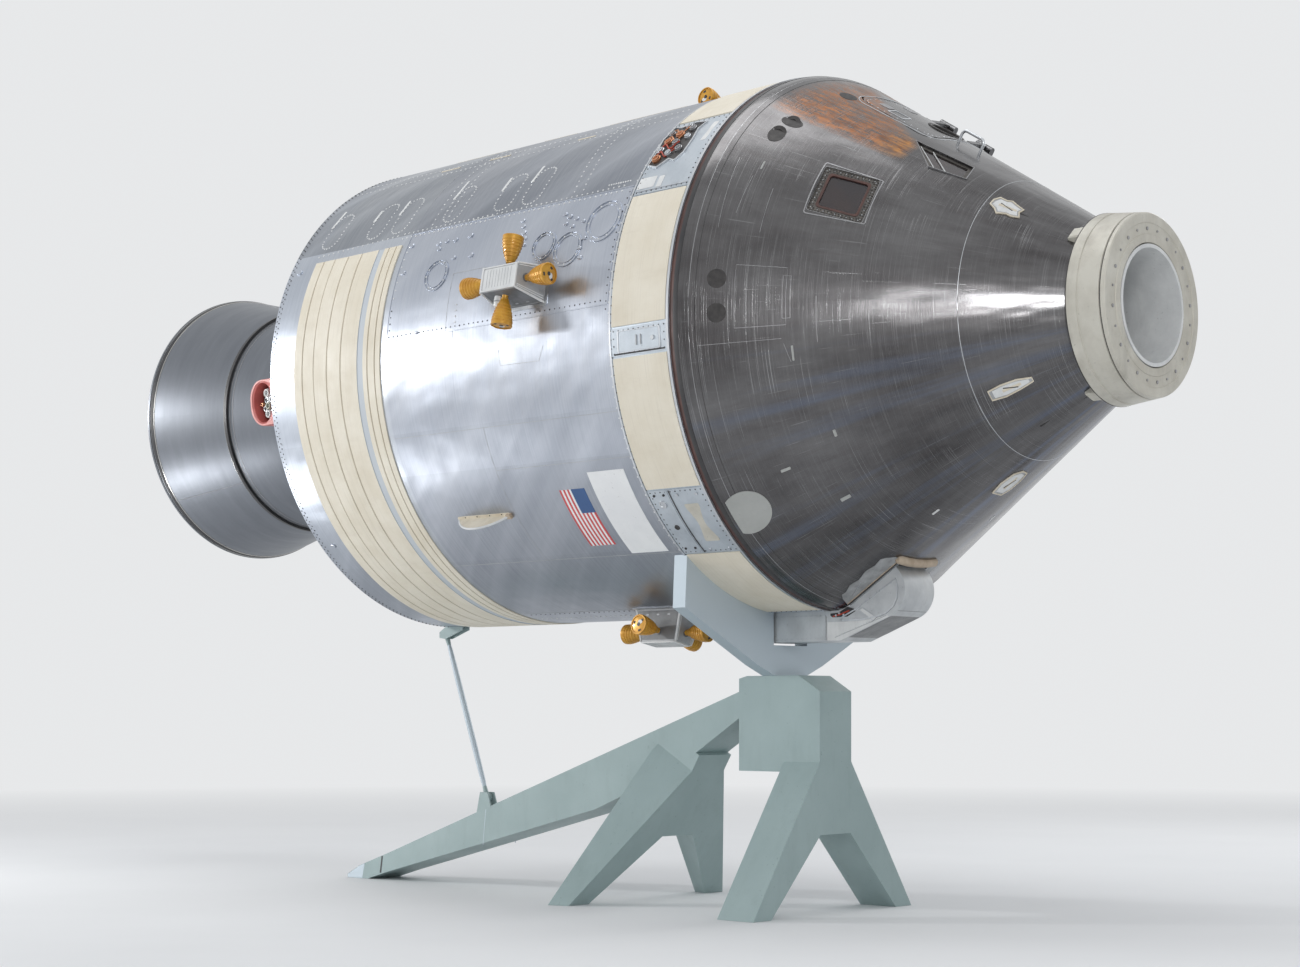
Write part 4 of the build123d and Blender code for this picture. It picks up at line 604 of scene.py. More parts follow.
@dataclass(frozen=True)
class CraftOutline:
    """Sizes of the craft's outside, and places on it."""

    skin_radius: float = SKIN_RADIUS
    corner: float = 4.399
    corner_radius: float = 0.196
    angle: float = radians(33)
    cover_seam: float = 6.0002

    def point(self, station: float, bearing: float, radius: float) -> Vector:
        """Place at a station, a bearing and a distance from the axis."""
        turn = radians(bearing)
        return Vector((RIM_X + station, -radius * cos(turn), CRAFT_AXIS + radius * sin(turn)))

    def axes(self, bearing: float) -> tuple[Vector, Vector, Vector]:
        """Directions forward, round the craft and outwards at a bearing."""
        out = Vector((0, -cos(radians(bearing)), sin(radians(bearing))))
        return FORWARD, out.cross(FORWARD), out

    def tangent(self, station: float, bearing: float, radius: float = SKIN_RADIUS) -> Surface:
        """Flat frame that faces outwards at a distance from the axis."""
        return flat_place(self.point(station, bearing, radius), *self.axes(bearing))

    def lathe(self, station: float = 0.0) -> Surface:
        """Frame whose third axis is the craft's own, for shapes turned about it."""
        return flat_place(self.point(station, 0, 0), FAR, UP, FORWARD)

    def skin(self, station: float, bearing: float, out: float) -> Vector:
        """Place on the service module's skin, or a little outside it."""
        return self.point(station, bearing, self.skin_radius + out)

    @property
    def corner_centre(self) -> float:
        """Distance from the axis of the middle of the crew module's rounded corner."""
        return self.skin_radius - self.corner_radius

    @property
    def cone_start(self) -> float:
        """Station where the rounded corner ends and the cone's slant starts."""
        return self.corner + self.corner_radius * sin(self.angle)

    def cone_radius(self, station: float) -> float:
        """Radius of the crew module's cone at a station."""
        widest = self.skin_radius - self.corner_radius * (1 - cos(self.angle))
        return widest - tan(self.angle) * (station - self.cone_start)

    def cone(self, station: float, bearing: float, out: float) -> Vector:
        """Place on the cone, or outside it square to the slant."""
        if station < self.cone_start:
            turn = asin((station - self.corner) / self.corner_radius)
            reach = self.corner_radius + out
            radius = self.corner_centre + reach * cos(turn)
            return self.point(self.corner + reach * sin(turn), bearing, radius)
        radius = self.cone_radius(station) + out * cos(self.angle)
        return self.point(station + out * sin(self.angle), bearing, radius)

    def skin_patch(self, station: float, bearing: float) -> Surface:
        """Metres forward and round from a place on the skin."""

        def place(along: float, around: float, out: float) -> Vector:
            """One place on the patch."""
            turn = bearing + degrees(around / self.skin_radius)
            return self.skin(station + along, turn, out)

        return place

    def cone_patch(self, station: float, bearing: float) -> Surface:
        """Metres up the slant and round from a place on the cone."""

        def place(along: float, around: float, out: float) -> Vector:
            """One place on the patch."""
            turn = bearing + degrees(around / self.cone_radius(station))
            return self.cone(station + along * cos(self.angle), turn, out)

        return place

    def cone_flat(self, station: float, bearing: float) -> Surface:
        """Metres up the slant and round in the plane that touches the cone at a place."""
        centre = self.cone(station, bearing, 0)
        upwards = (self.cone(station + 0.1, bearing, 0) - centre).normalized()
        outwards = (self.cone(station, bearing, 0.1) - centre).normalized()
        return flat_place(centre, upwards, outwards.cross(upwards), outwards)


def flat_place(centre: Vector, along: Vector, around: Vector, out: Vector) -> Surface:
    """Places in a flat frame.

    Args:
        centre: the frame's origin.
        along: its first axis.
        around: its second axis.
        out: its third axis.

    Returns:
        A call that gives the place of three local distances.
    """
    return lambda x, y, z: centre + along * x + around * y + out * z


def frame_along(centre: Vector, out: Vector) -> Surface:
    """Flat frame whose third axis points along a direction that isn't upright."""
    side = UP.cross(out).normalized()
    return flat_place(centre, side, out.cross(side), out)


def oblong(low_x: float, low_y: float, high_x: float, high_y: float) -> list[Spot]:
    """Corners of a rectangle, in order."""
    return [(low_x, low_y), (high_x, low_y), (high_x, high_y), (low_x, high_y)]


def shifted(spots: Iterable[Spot], x: float, y: float) -> list[Spot]:
    """The same spots moved."""
    return [(spot_x + x, spot_y + y) for spot_x, spot_y in spots]


def all_round(station: float, shift: float = 0.0) -> list[Spot]:
    """Way round the craft at a station, from bearing 0 or a little after it."""
    return [(station, bearing + shift) for bearing in range(0, 361, 30)]


def round_corners(width: float, height: float, radius: float, steps: int = 4) -> list[Spot]:
    """Rectangle with rounded corners, round its own middle."""
    spots = []
    for quarter, (side_x, side_y) in enumerate(((1, 1), (-1, 1), (-1, -1), (1, -1))):
        x, y = side_x * (width / 2 - radius), side_y * (height / 2 - radius)
        for turn in (pi / 2 * (quarter + step / steps) for step in range(steps + 1)):
            spots.append((x + radius * cos(turn), y + radius * sin(turn)))
    return spots


def ellipse(width: float, height: float, steps: int = 24) -> list[Spot]:
    """Ellipse of given whole width and height."""
    turns = [2 * pi * step / steps for step in range(steps)]
    return [(width / 2 * cos(turn), height / 2 * sin(turn)) for turn in turns]


def middle(outline: Sequence[Spot]) -> Spot:
    """Mean place of an outline's spots."""
    return sum(x for x, _ in outline) / len(outline), sum(y for _, y in outline) / len(outline)


def scaled(surface: Surface, outline: Sequence[Spot], share: float, height: float) -> list[Vector]:
    """Outline on a surface, at a share of its size round its own middle."""
    at_x, at_y = middle(outline)
    return [surface(at_x + (x - at_x) * share, at_y + (y - at_y) * share, height) for x, y in outline]


def split_runs(spots: Sequence[Spot], step: float, closed: bool) -> list[Spot]:
    """Add points so that no run between two spots is longer than a step."""
    ends = list(spots) + ([spots[0]] if closed else [])
    out: list[Spot] = []
    for (ax, ay), (bx, by) in zip(ends, ends[1:]):
        count = max(1, ceil(hypot(bx - ax, by - ay) / step))
        out += [(ax + (bx - ax) * i / count, ay + (by - ay) * i / count) for i in range(count)]
    return out if closed else out + [ends[-1]]


@dataclass
class Form:
    """A mesh in the making, out of closed shapes that each have a finish."""

    points: list[Vector] = field(default_factory=list)
    faces: list[tuple[int, ...]] = field(default_factory=list)
    finishes: list[int] = field(default_factory=list)
    looks: list[Look] = field(default_factory=list)

    def lattice(
        self, rows: Sequence[Sequence[Vector]], look: Look, wrap: bool = False, caps: bool = True
    ) -> None:
        """Join rings of points into a closed skin.

        Args:
            rows: rings with equal numbers of points, each closed round.
            look: finish of the faces.
            wrap: whether the last ring joins the first.
            caps: whether the first and last rings get an end face.
        """
        if look not in self.looks:
            self.looks.append(look)
        slot = self.looks.index(look)
        base, width = len(self.points), len(rows[0])
        for row in rows:
            self.points.extend(row)
        pairs = len(rows) if wrap else len(rows) - 1
        made = []
        for row in range(pairs):
            low, high = base + row * width, base + (row + 1) % len(rows) * width
            for spot in range(width):
                after = (spot + 1) % width
                made.append((low + spot, low + after, high + after, high + spot))
        if caps and not wrap:
            made.append(tuple(base + spot for spot in reversed(range(width))))
            made.append(tuple(base + (len(rows) - 1) * width + spot for spot in range(width)))
        self.faces += made
        self.finishes += [slot] * len(made)

    def plate(
        self, surface: Surface, outline: Sequence[Spot], low: float, high: float, look: Look,
        edge: float = 0.0, rings: int = 0,
    ) -> None:
        """Plate that follows a surface.

        Args:
            surface: where the outline's spots and the heights lie.
            outline: spots round the plate's middle, in order.
            low: height of its underside.
            high: height of its top.
            look: its finish.
            edge: width of the sloped edge.
            rings: how many rings the top has to bend with the surface; 0 leaves it to its size.
        """
        at_x, at_y = middle(outline)
        reach = max(hypot(x - at_x, y - at_y) for x, y in outline)
        rings = rings or max(1, min(8, ceil(reach / 0.07)))
        inset = 1.0 - edge / reach if edge else 1.0
        steps = [(0.02, low)] + [(i / rings, low) for i in range(1, rings + 1)]
        if edge:
            steps.append((1.0, high - edge * 0.7))
        steps += [(inset * i / rings, high) for i in range(rings, 0, -1)] + [(0.02, high)]
        self.lattice([scaled(surface, outline, *step) for step in steps], look)

    def ring_plate(
        self, surface: Surface, outline: Sequence[Spot], share: float, low: float, high: float,
        look: Look,
    ) -> None:
        """Flat frame: an outline with the same outline cut out of it at a share of its size."""
        steps = ((1, low), (1, high), (share, high), (share, low))
        self.lattice([scaled(surface, outline, *step) for step in steps], look, wrap=True)

    def bead(
        self, surface: Surface, spots: Sequence[Spot], width: Spot | float, height: float, look: Look,
        closed: bool = False, low: float = -0.002, top: float = 0.8,
    ) -> None:
        """Raised line along a path on a surface.

        Args:
            surface: what the path lies on.
            spots: the path.
            width: half of the line's width, or a pair for the surface's two measures.
            height: how far it stands out.
            look: its finish.
            closed: whether the path ends where it starts.
            low: where its underside lies.
            top: width of its top as a share of its foot.
        """
        rows = []
        count = len(spots)
        wide_x, wide_y = width if isinstance(width, tuple) else (width, width)
        for i, (x, y) in enumerate(spots):
            back = spots[i - 1] if closed or i else spots[i]
            ahead = spots[(i + 1) % count] if closed or i + 1 < count else spots[i]
            run_x, run_y = (ahead[0] - back[0]) / wide_x, (ahead[1] - back[1]) / wide_y
            size = hypot(run_x, run_y) or 1.0
            side_x, side_y = -run_y / size * wide_x, run_x / size * wide_y
            edges = ((-1, low), (-top, height), (top, height), (1, low))
            rows.append([surface(x + side_x * to, y + side_y * to, rise) for to, rise in edges])
        self.lattice(rows, look, wrap=closed)

    def turned(
        self, surface: Surface, profile: Sequence[Spot], look: Look, sides: int = 32, wrap: bool = False,
    ) -> None:
        """Shape turned about a frame's third axis.

        Args:
            surface: the frame.
            profile: height along the axis and radius of each ring.
            look: its finish.
            sides: how many sides the turned shape has.
            wrap: whether the profile is a closed loop, as for a ring.
        """
        circle = ellipse(2.0, 2.0, sides)
        rows = [[surface(radius * x, radius * y, height) for x, y in circle] for height, radius in profile]
        self.lattice(rows, look, wrap=wrap)

    def stud(
        self, surface: Surface, foot: Spot, top: Spot, look: Look, sides: int = 12, core: float = 0.002,
    ) -> None:
        """Small turned stud: height and radius of its foot and top, and radius of its core."""
        self.turned(surface, [foot, top, (top[0], core)], look, sides)

    def tube(
        self, path: Sequence[Vector], radius: float | Sequence[float], look: Look, sides: int = 10
    ) -> None:
        """Round bar along a path of places.

        Args:
            path: places along its middle line.
            radius: its radius, or one for each place.
            look: its finish.
            sides: how many sides it has.
        """
        sizes = [radius] * len(path) if isinstance(radius, float) else list(radius)
        way = (path[1] - path[0]).normalized()
        side = way.orthogonal().normalized()
        rows = []
        for i, place in enumerate(path):
            back, ahead = path[max(i - 1, 0)], path[min(i + 1, len(path) - 1)]
            way = (ahead - back).normalized()
            side = (side - way * side.dot(way)).normalized()
            up = way.cross(side)
            rows.append([place + (side * x + up * y) * sizes[i] for x, y in ellipse(2.0, 2.0, sides)])
        self.lattice(rows, look)

    def block(
        self, surface: Surface, low: Sequence[float], high: Sequence[float], look: Look,
        edge: float = 0.004,
    ) -> None:
        """Box with a small sloped edge on top, between two corners of a frame."""
        self.plate(surface, oblong(*low[:2], *high[:2]), low[2], high[2], look, edge, 1)

    def piece(
        self, name: str, body: str, slot: str, replaces: Iterable[str] = (), crease: float = 32.0,
    ) -> bpy.types.Object:
        """Turn the form into a piece of the scene.

        Args:
            name: name of the piece.
            body: the body it rides on.
            slot: the record's material slot; not used.
            replaces: nodes that it stands for.
            crease: angle in degrees above which an edge stays sharp.

        Returns:
            The new object.
        """
        mesh = bpy.data.meshes.new(name)
        mesh.from_pydata([tuple(p) for p in self.points], [], self.faces)
        for look in self.looks:
            mesh.materials.append(look.material())
        mesh.polygons.foreach_set("material_index", self.finishes)
        work = bmesh.new()
        work.from_mesh(mesh)
        bmesh.ops.dissolve_degenerate(work, dist=1e-6, edges=work.edges)
        bmesh.ops.recalc_face_normals(work, faces=work.faces)
        bmesh.ops.triangulate(work, faces=[f for f in work.faces if len(f.verts) > 4])
        work.to_mesh(mesh)
        work.free()
        mesh.shade_smooth()
        mesh.set_sharp_from_angle(angle=radians(crease))
        made = bpy.data.objects.new(name, mesh)
        bpy.context.scene.collection.objects.link(made)
        return settle(made, body, replaces)


def settle(
    made: bpy.types.Object, body: str, replaces: Iterable[str] = ()
) -> bpy.types.Object:
    """Give a finished piece its body and the nodes that it stands for."""
    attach(made, body)
    names = list(replaces)
    if names:
        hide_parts(*names)
    log.info("%s: %d faces on %s", made.name, len(made.data.polygons), body)
    return made


class RivetTree:
    """Geometry Nodes tree that sets a low round head on every point, facing outwards."""

    name = "rivet_heads"
    inputs = (
        ("Head Radius", "NodeSocketFloat", 0.007), ("Head Rise", "NodeSocketFloat", 0.004),
        ("Size Spread", "NodeSocketFloat", 0.12), ("Seed", "NodeSocketInt", 7),
    )

    def tree(self) -> bpy.types.GeometryNodeTree:
        """The tree, built at its first use."""
        return bpy.data.node_groups.get(self.name) or self.build()

    def build(self) -> bpy.types.GeometryNodeTree:
        """Build the tree.

        Returns:
            The node tree, whose inputs are the head's sizes, the seed and the finish.
        """
        tree = bpy.data.node_groups.new(self.name, "GeometryNodeTree")
        face = tree.interface
        face.new_socket("Points", in_out="INPUT", socket_type="NodeSocketGeometry")
        for name, kind, value in self.inputs:
            face.new_socket(name, in_out="INPUT", socket_type=kind).default_value = value
        face.new_socket("Finish", in_out="INPUT", socket_type="NodeSocketMaterial")
        face.new_socket("Heads", in_out="OUTPUT", socket_type="NodeSocketGeometry")
        add, join = tree.nodes.new, tree.links.new
        start, end = add("NodeGroupInput"), add("NodeGroupOutput")
        head = add("GeometryNodeMeshCone")
        head.inputs["Vertices"].default_value = 8
        join(start.outputs["Head Radius"], head.inputs["Radius Bottom"])
        narrow = add("ShaderNodeMath")
        narrow.operation = "MULTIPLY"
        narrow.inputs[1].default_value = 0.6
        join(start.outputs["Head Radius"], narrow.inputs[0])
        join(narrow.outputs[0], head.inputs["Radius Top"])
        join(start.outputs["Head Rise"], head.inputs["Depth"])
        facing = add("GeometryNodeInputNamedAttribute")
        facing.data_type = "FLOAT_VECTOR"
        facing.inputs["Name"].default_value = "facing"
        turn = add("FunctionNodeAlignRotationToVector")
        turn.axis = "Z"
        join(facing.outputs["Attribute"], turn.inputs["Vector"])
        least, most = add("ShaderNodeMath"), add("ShaderNodeMath")
        least.operation, most.operation = "SUBTRACT", "ADD"
        size = add("FunctionNodeRandomValue")
        size.data_type = "FLOAT"
        for bound, socket in ((least, size.inputs[2]), (most, size.inputs[3])):
            bound.inputs[0].default_value = 1.0
            join(start.outputs["Size Spread"], bound.inputs[1])
            join(bound.outputs[0], socket)
        join(start.outputs["Seed"], size.inputs["Seed"])
        place = add("GeometryNodeInstanceOnPoints")
        join(start.outputs["Points"], place.inputs["Points"])
        join(head.outputs["Mesh"], place.inputs["Instance"])
        join(turn.outputs["Rotation"], place.inputs["Rotation"])
        join(size.outputs[1], place.inputs["Scale"])
        real, paint = add("GeometryNodeRealizeInstances"), add("GeometryNodeSetMaterial")
        join(place.outputs["Instances"], real.inputs["Geometry"])
        join(real.outputs["Geometry"], paint.inputs["Geometry"])
        join(start.outputs["Finish"], paint.inputs["Material"])
        join(paint.outputs["Geometry"], end.inputs["Heads"])
        return tree


@dataclass
class Rivets:
    """Rivet heads of one size and finish, gathered row by row."""

    radius: float = 0.007
    rise: float = 0.004
    look: Look = Look.BARE
    spots: list[tuple[Vector, Vector]] = field(default_factory=list)
    # Steps in which a path's length is measured
    fine: int = 24

    def head(self, surface: Surface, x: float, y: float, out: float = 0.0) -> None:
        """Add one head at a place on a surface."""
        foot = surface(x, y, out)
        self.spots.append((foot, (surface(x, y, out + 0.01) - foot).normalized()))

    def row(
        self, surface: Surface, path: Sequence[Spot], pitch: float, closed: bool = False,
        out: float = 0.0,
    ) -> None:
        """Add heads at even steps along a path.

        Args:
            surface: what the path lies on.
            path: its corners, in the surface's own measure.
            pitch: distance between heads in metres.
            closed: whether the path ends where it starts.
            out: height of the surface above its own zero.
        """
        ends = list(path) + ([path[0]] if closed else [])
        for (ax, ay), (bx, by) in zip(ends, ends[1:]):
            shares = [i / self.fine for i in range(self.fine + 1)]
            solid = [surface(ax + (bx - ax) * share, ay + (by - ay) * share, out) for share in shares]
            length = sum((b - a).length for a, b in zip(solid, solid[1:]))
            count = max(1, round(length / pitch))
            for step in range(count):
                share = step / count
                self.head(surface, ax + (bx - ax) * share, ay + (by - ay) * share, out)

    def piece(self, name: str, body: str, slot: str) -> bpy.types.Object:
        """Run the tree over the gathered places and keep the result as a plain mesh.

        Args:
            name: name of the piece.
            body: the body it rides on.
            slot: the record's material slot; not used.

        Returns:
            The piece with all its heads.
        """
        seeds = bpy.data.meshes.new(name + "_places")
        seeds.from_pydata([tuple(place) for place, _ in self.spots], [], [])
        facing = seeds.attributes.new("facing", "FLOAT_VECTOR", "POINT")
        facing.data.foreach_set("vector", [c for _, way in self.spots for c in way])
        holder = bpy.data.objects.new(name + "_places", seeds)
        bpy.context.scene.collection.objects.link(holder)
        tree = RivetTree().tree()
        modifier = holder.modifiers.new("heads", "NODES")
        modifier.node_group = tree
        values = {"Head Radius": self.radius, "Head Rise": self.rise, "Finish": self.look.material()}
        for item in tree.interface.items_tree:
            if item.in_out == "INPUT" and item.name in values:
                modifier[item.identifier] = values[item.name]
        graph = bpy.context.evaluated_depsgraph_get()
        mesh = bpy.data.meshes.new_from_object(holder.evaluated_get(graph), depsgraph=graph)
        holder.modifiers.clear()
        bpy.data.objects.remove(holder)
        mesh.name = name
        made = bpy.data.objects.new(name, mesh)
        bpy.context.scene.collection.objects.link(made)
        return settle(made, body)


def paint(frame: dict[str, Any], look: Look, *nodes: str) -> None:
    """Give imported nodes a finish.

    Args:
        look: the finish.
        nodes: names of the nodes.
    """
    for name in nodes:
        mesh = frame["nodes"][name].data
        mesh.materials.clear()
        mesh.materials.append(look.material())


@dataclass
class ServiceModule:
    """Skin of the service module with its sheets, covers, rivets and markings."""

    frame: dict[str, Any]
    craft: CraftOutline
    # Raised round covers: station, bearing, outer radius
    covers: Rows = ((1.90, 17.8, 0.125), (3.29, 17.9, 0.135), (3.59, 23.1, 0.165), (3.03, 19.8, 0.115))
    # White strips on the upper sheets: station, lowest and highest bearing
    strips: Rows = (
        (0.233, 39.6, 46.2), (0.792, 38.3, 42.5), (1.090, 38.8, 44.0), (1.695, 40.1, 47.0),
        (2.261, 39.0, 43.7), (2.564, 39.7, 45.6),
    )
    # Small raised fittings: station, bearing, size
    bumps: Rows = (
        (1.81, 26.2, 0.030), (1.90, 26.4, 0.026), (2.00, 26.3, 0.030), (1.84, 24.6, 0.024),
        (2.16, 26.6, 0.034), (2.71, 27.6, 0.026), (2.74, 25.9, 0.026), (2.77, 24.2, 0.030),
        (2.80, 22.6, 0.026), (2.81, 21.0, 0.026), (3.16, 26.8, 0.026), (3.22, 25.9, 0.030),
        (3.30, 25.0, 0.026), (3.38, 24.0, 0.024), (3.20, 24.2, 0.026), (3.28, 23.2, 0.024),
        (3.44, 19.6, 0.028), (3.42, 17.4, 0.024), (3.44, 15.2, 0.028), (1.48, 27.3, 0.034),
        (1.493, 20.1, 0.032), (2.05, 21.4, 0.030), (2.24, 21.2, 0.034), (0.12, 26.4, 0.040),
        (0.157, -43.0, 0.034), (1.77, 4.9, 0.022),
    )
    # Seams between the sheets: station and bearing of both ends
    seams: Rows = (
        (1.42, -17.8, 3.78, -17.8), (2.42, -27.5, 3.79, -27.5), (1.38, -52, 3.79, -52),
        (1.38, -76, 2.64, -76), (1.42, 1.2, 2.18, 1.2), (2.18, 1.2, 2.18, 4.0),
        (2.68, -1.9, 2.69, -5.2), (2.69, -5.2, 3.09, -5.4), (3.09, -5.4, 3.14, -2.4),
        (2.10, 4.0, 2.10, 17.3), (2.10, 17.3, 2.46, 17.3), (1.43, 38, 1.43, 98), (2.42, -52, 2.42, -17.8),
    )

    def build(self) -> None:
        """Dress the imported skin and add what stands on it."""
        paint(self.frame, Look.SKIN, "service_shell")
        paint(self.frame, Look.RADIATOR, "radiator_near", "radiator_far")
        self.sheets()
        self.fittings()
        self.markings()
        self.rivets()

    def sheets(self) -> None:
        """Seams between the skin's sheets, the raised door sheet and the pale tape marks."""
        form, skin = Form(), self.craft.skin
        thin = (0.0022, degrees(0.0022 / SKIN_RADIUS))
        for side in BOTH_SIDES:
            for ax, ay, bx, by in self.seams:
                path = split_runs([(ax, ay + side), (bx, by + side)], 4.0, False)
                form.bead(skin, path, thin, 0.0012, Look.PANEL_GREY)
            path = split_runs(oblong(1.43, 4.0 + side, 3.775, 30.8 + side), 2.5, True)
            form.bead(skin, path, (0.005, 0.15), 0.0030, Look.SKIN, True)
            for start, end, bearing in (
                (0.75, 1.36, 72.5), (1.78, 2.14, 72.5), (2.5, 3.3, 72.5), (1.03, 1.25, 58.5),
                (1.60, 1.83, 58.5), (2.62, 2.80, 57.0),
            ):
                path = [(start, bearing + side), (end, bearing + side)]
                form.bead(skin, path, (0.01, 0.26), 0.0040, Look.IVORY)
        form.piece("skin_seams", "craft", "service_skin")

    def fittings(self) -> None:
        """Round covers, small bumps, strips and the rim's fittings, on both sides."""
        form = Form()
        for side in BOTH_SIDES:
            for station, bearing, radius in self.covers:
                patch = self.craft.skin_patch(station, bearing + side)
                for share, half, rise in ((1.0, 0.005, 0.007), (0.80, 0.004, 0.005)):
                    ring = ellipse(2 * radius * share, 2 * radius * share, 36)
                    form.bead(patch, ring, half, rise, Look.SKIN, True)
            for station, bearing, size in self.bumps:
                patch = self.craft.skin_patch(station, bearing + side)
                outline = round_corners(size * 1.7, size, size * 0.45)
                form.plate(patch, outline, -0.003, 0.010, Look.SKIN, 0.007, 2)
            for station, low, high in self.strips:
                patch = self.craft.skin_patch(station, (low + high) / 2 + side)
                outline = round_corners(0.024, radians(high - low) * SKIN_RADIUS, 0.010)
                form.plate(patch, outline, -0.003, 0.0035, Look.WHITE, 0.002, 3)
        form.piece("skin_fittings", "craft", "service_skin")

    def markings(self) -> None:
        """Plain striped flag and blank white board beside it."""
        form = Form()
        pitch, tall, canton = 0.0195, 0.512, 0.205

        def bar(patch: Surface, x: float, low: float, high: float, half: float, look: Look) -> None:
            """One painted bar round the craft, on a patch."""
            path = split_runs([(x, low), (x, high)], 0.04, False)
            form.bead(patch, path, (half, 1.0), 0.0014, look, low=-0.001, top=1.0)

        flag = self.craft.skin_patch(3.105, -41.0)
        for stripe in range(13):
            end = tall / 2 - (canton if stripe > 5 else 0.0)
            look = (Look.FLAG_RED, Look.FLAG_WHITE)[stripe % 2]
            bar(flag, (stripe - 6) * pitch, -tall / 2, end, pitch / 2, look)
        bar(flag, 3 * pitch, tall / 2 - canton, tall / 2, 3.5 * pitch, Look.FLAG_BLUE)
        bar(self.craft.skin_patch(3.50, -40.75), 0.0, -0.367, 0.367, 0.180, Look.FLAG_WHITE)
        form.piece("skin_markings", "craft", "service_skin")

    def rivets(self) -> None:
        """Rivet rows along the rim, the doors and the sheets' edges."""
        skin = self.craft.skin
        dark = Rivets(0.0062, 0.0030, Look.SOOT)
        bright = Rivets(0.0078, 0.0042, Look.WHITE)
        white = Rivets(0.0080, 0.0040, Look.WHITE)
        for station, shift in ((0.018, 0.0), (0.046, 0.7)):
            dark.row(skin, all_round(station, shift), 0.042)
        # Heads, station and bearing of both ends, pitch
        rows = (
            (dark, 1.455, 4.9, 3.75, 4.9, 0.050), (dark, 1.455, 4.9, 1.455, 12.5, 0.050),
            (dark, 3.755, 3.0, 3.755, 31.0, 0.055), (dark, 1.47, -76.9, 3.0, -76.9, 0.055),
            (bright, 1.32, 31.5, 3.72, 31.5, 0.052), (bright, 1.32, 30.1, 3.72, 30.1, 0.052),
            (bright, 3.147, 33.0, 3.0, 66.0, 0.055), (bright, 3.24, 33.0, 3.11, 66.0, 0.055),
            (bright, 1.62, 32.6, 1.60, 66.0, 0.055), (bright, 1.78, 32.6, 1.74, 66.0, 0.055),
            (bright, 0.30, 30.0, 1.30, 31.4, 0.060), (bright, 1.455, 14.0, 1.455, 29.5, 0.070),
            (bright, 2.20, 5.8, 2.20, 11.0, 0.040), (white, 2.12, 31.0, 2.36, 31.0, 0.022),
            (white, 3.50, 32.6, 3.73, 32.6, 0.022),
        )
        for side in BOTH_SIDES:
            for heads, ax, ay, bx, by, pitch in rows:
                heads.row(skin, [(ax, ay + side), (bx, by + side)], pitch)
            for station, _, _ in self.strips:
                patch = self.craft.skin_patch(station + 0.11, 38.2 + side)
                bright.row(patch, round_corners(0.19, 0.40, 0.094, 5), 0.040, True)
            for station, bearing, radius in self.covers:
                patch = self.craft.skin_patch(station, bearing + side)
                bright.row(patch, ellipse(1.79 * radius, 1.79 * radius, 12), radius * 0.5, True)
            for bearing in (55.6, 59.9, 75.6, 79.5, 99.0):
                bright.row(skin, [(0.08, bearing + side), (3.72, bearing + side)], 0.055)
        bright.row(skin, all_round(3.785), 0.075)
        dark.piece("skin_rivets_dark", "craft", "service_skin")
        bright.piece("skin_rivets_bright", "craft", "service_skin")
        white.piece("skin_rivets_white", "craft", "service_skin")


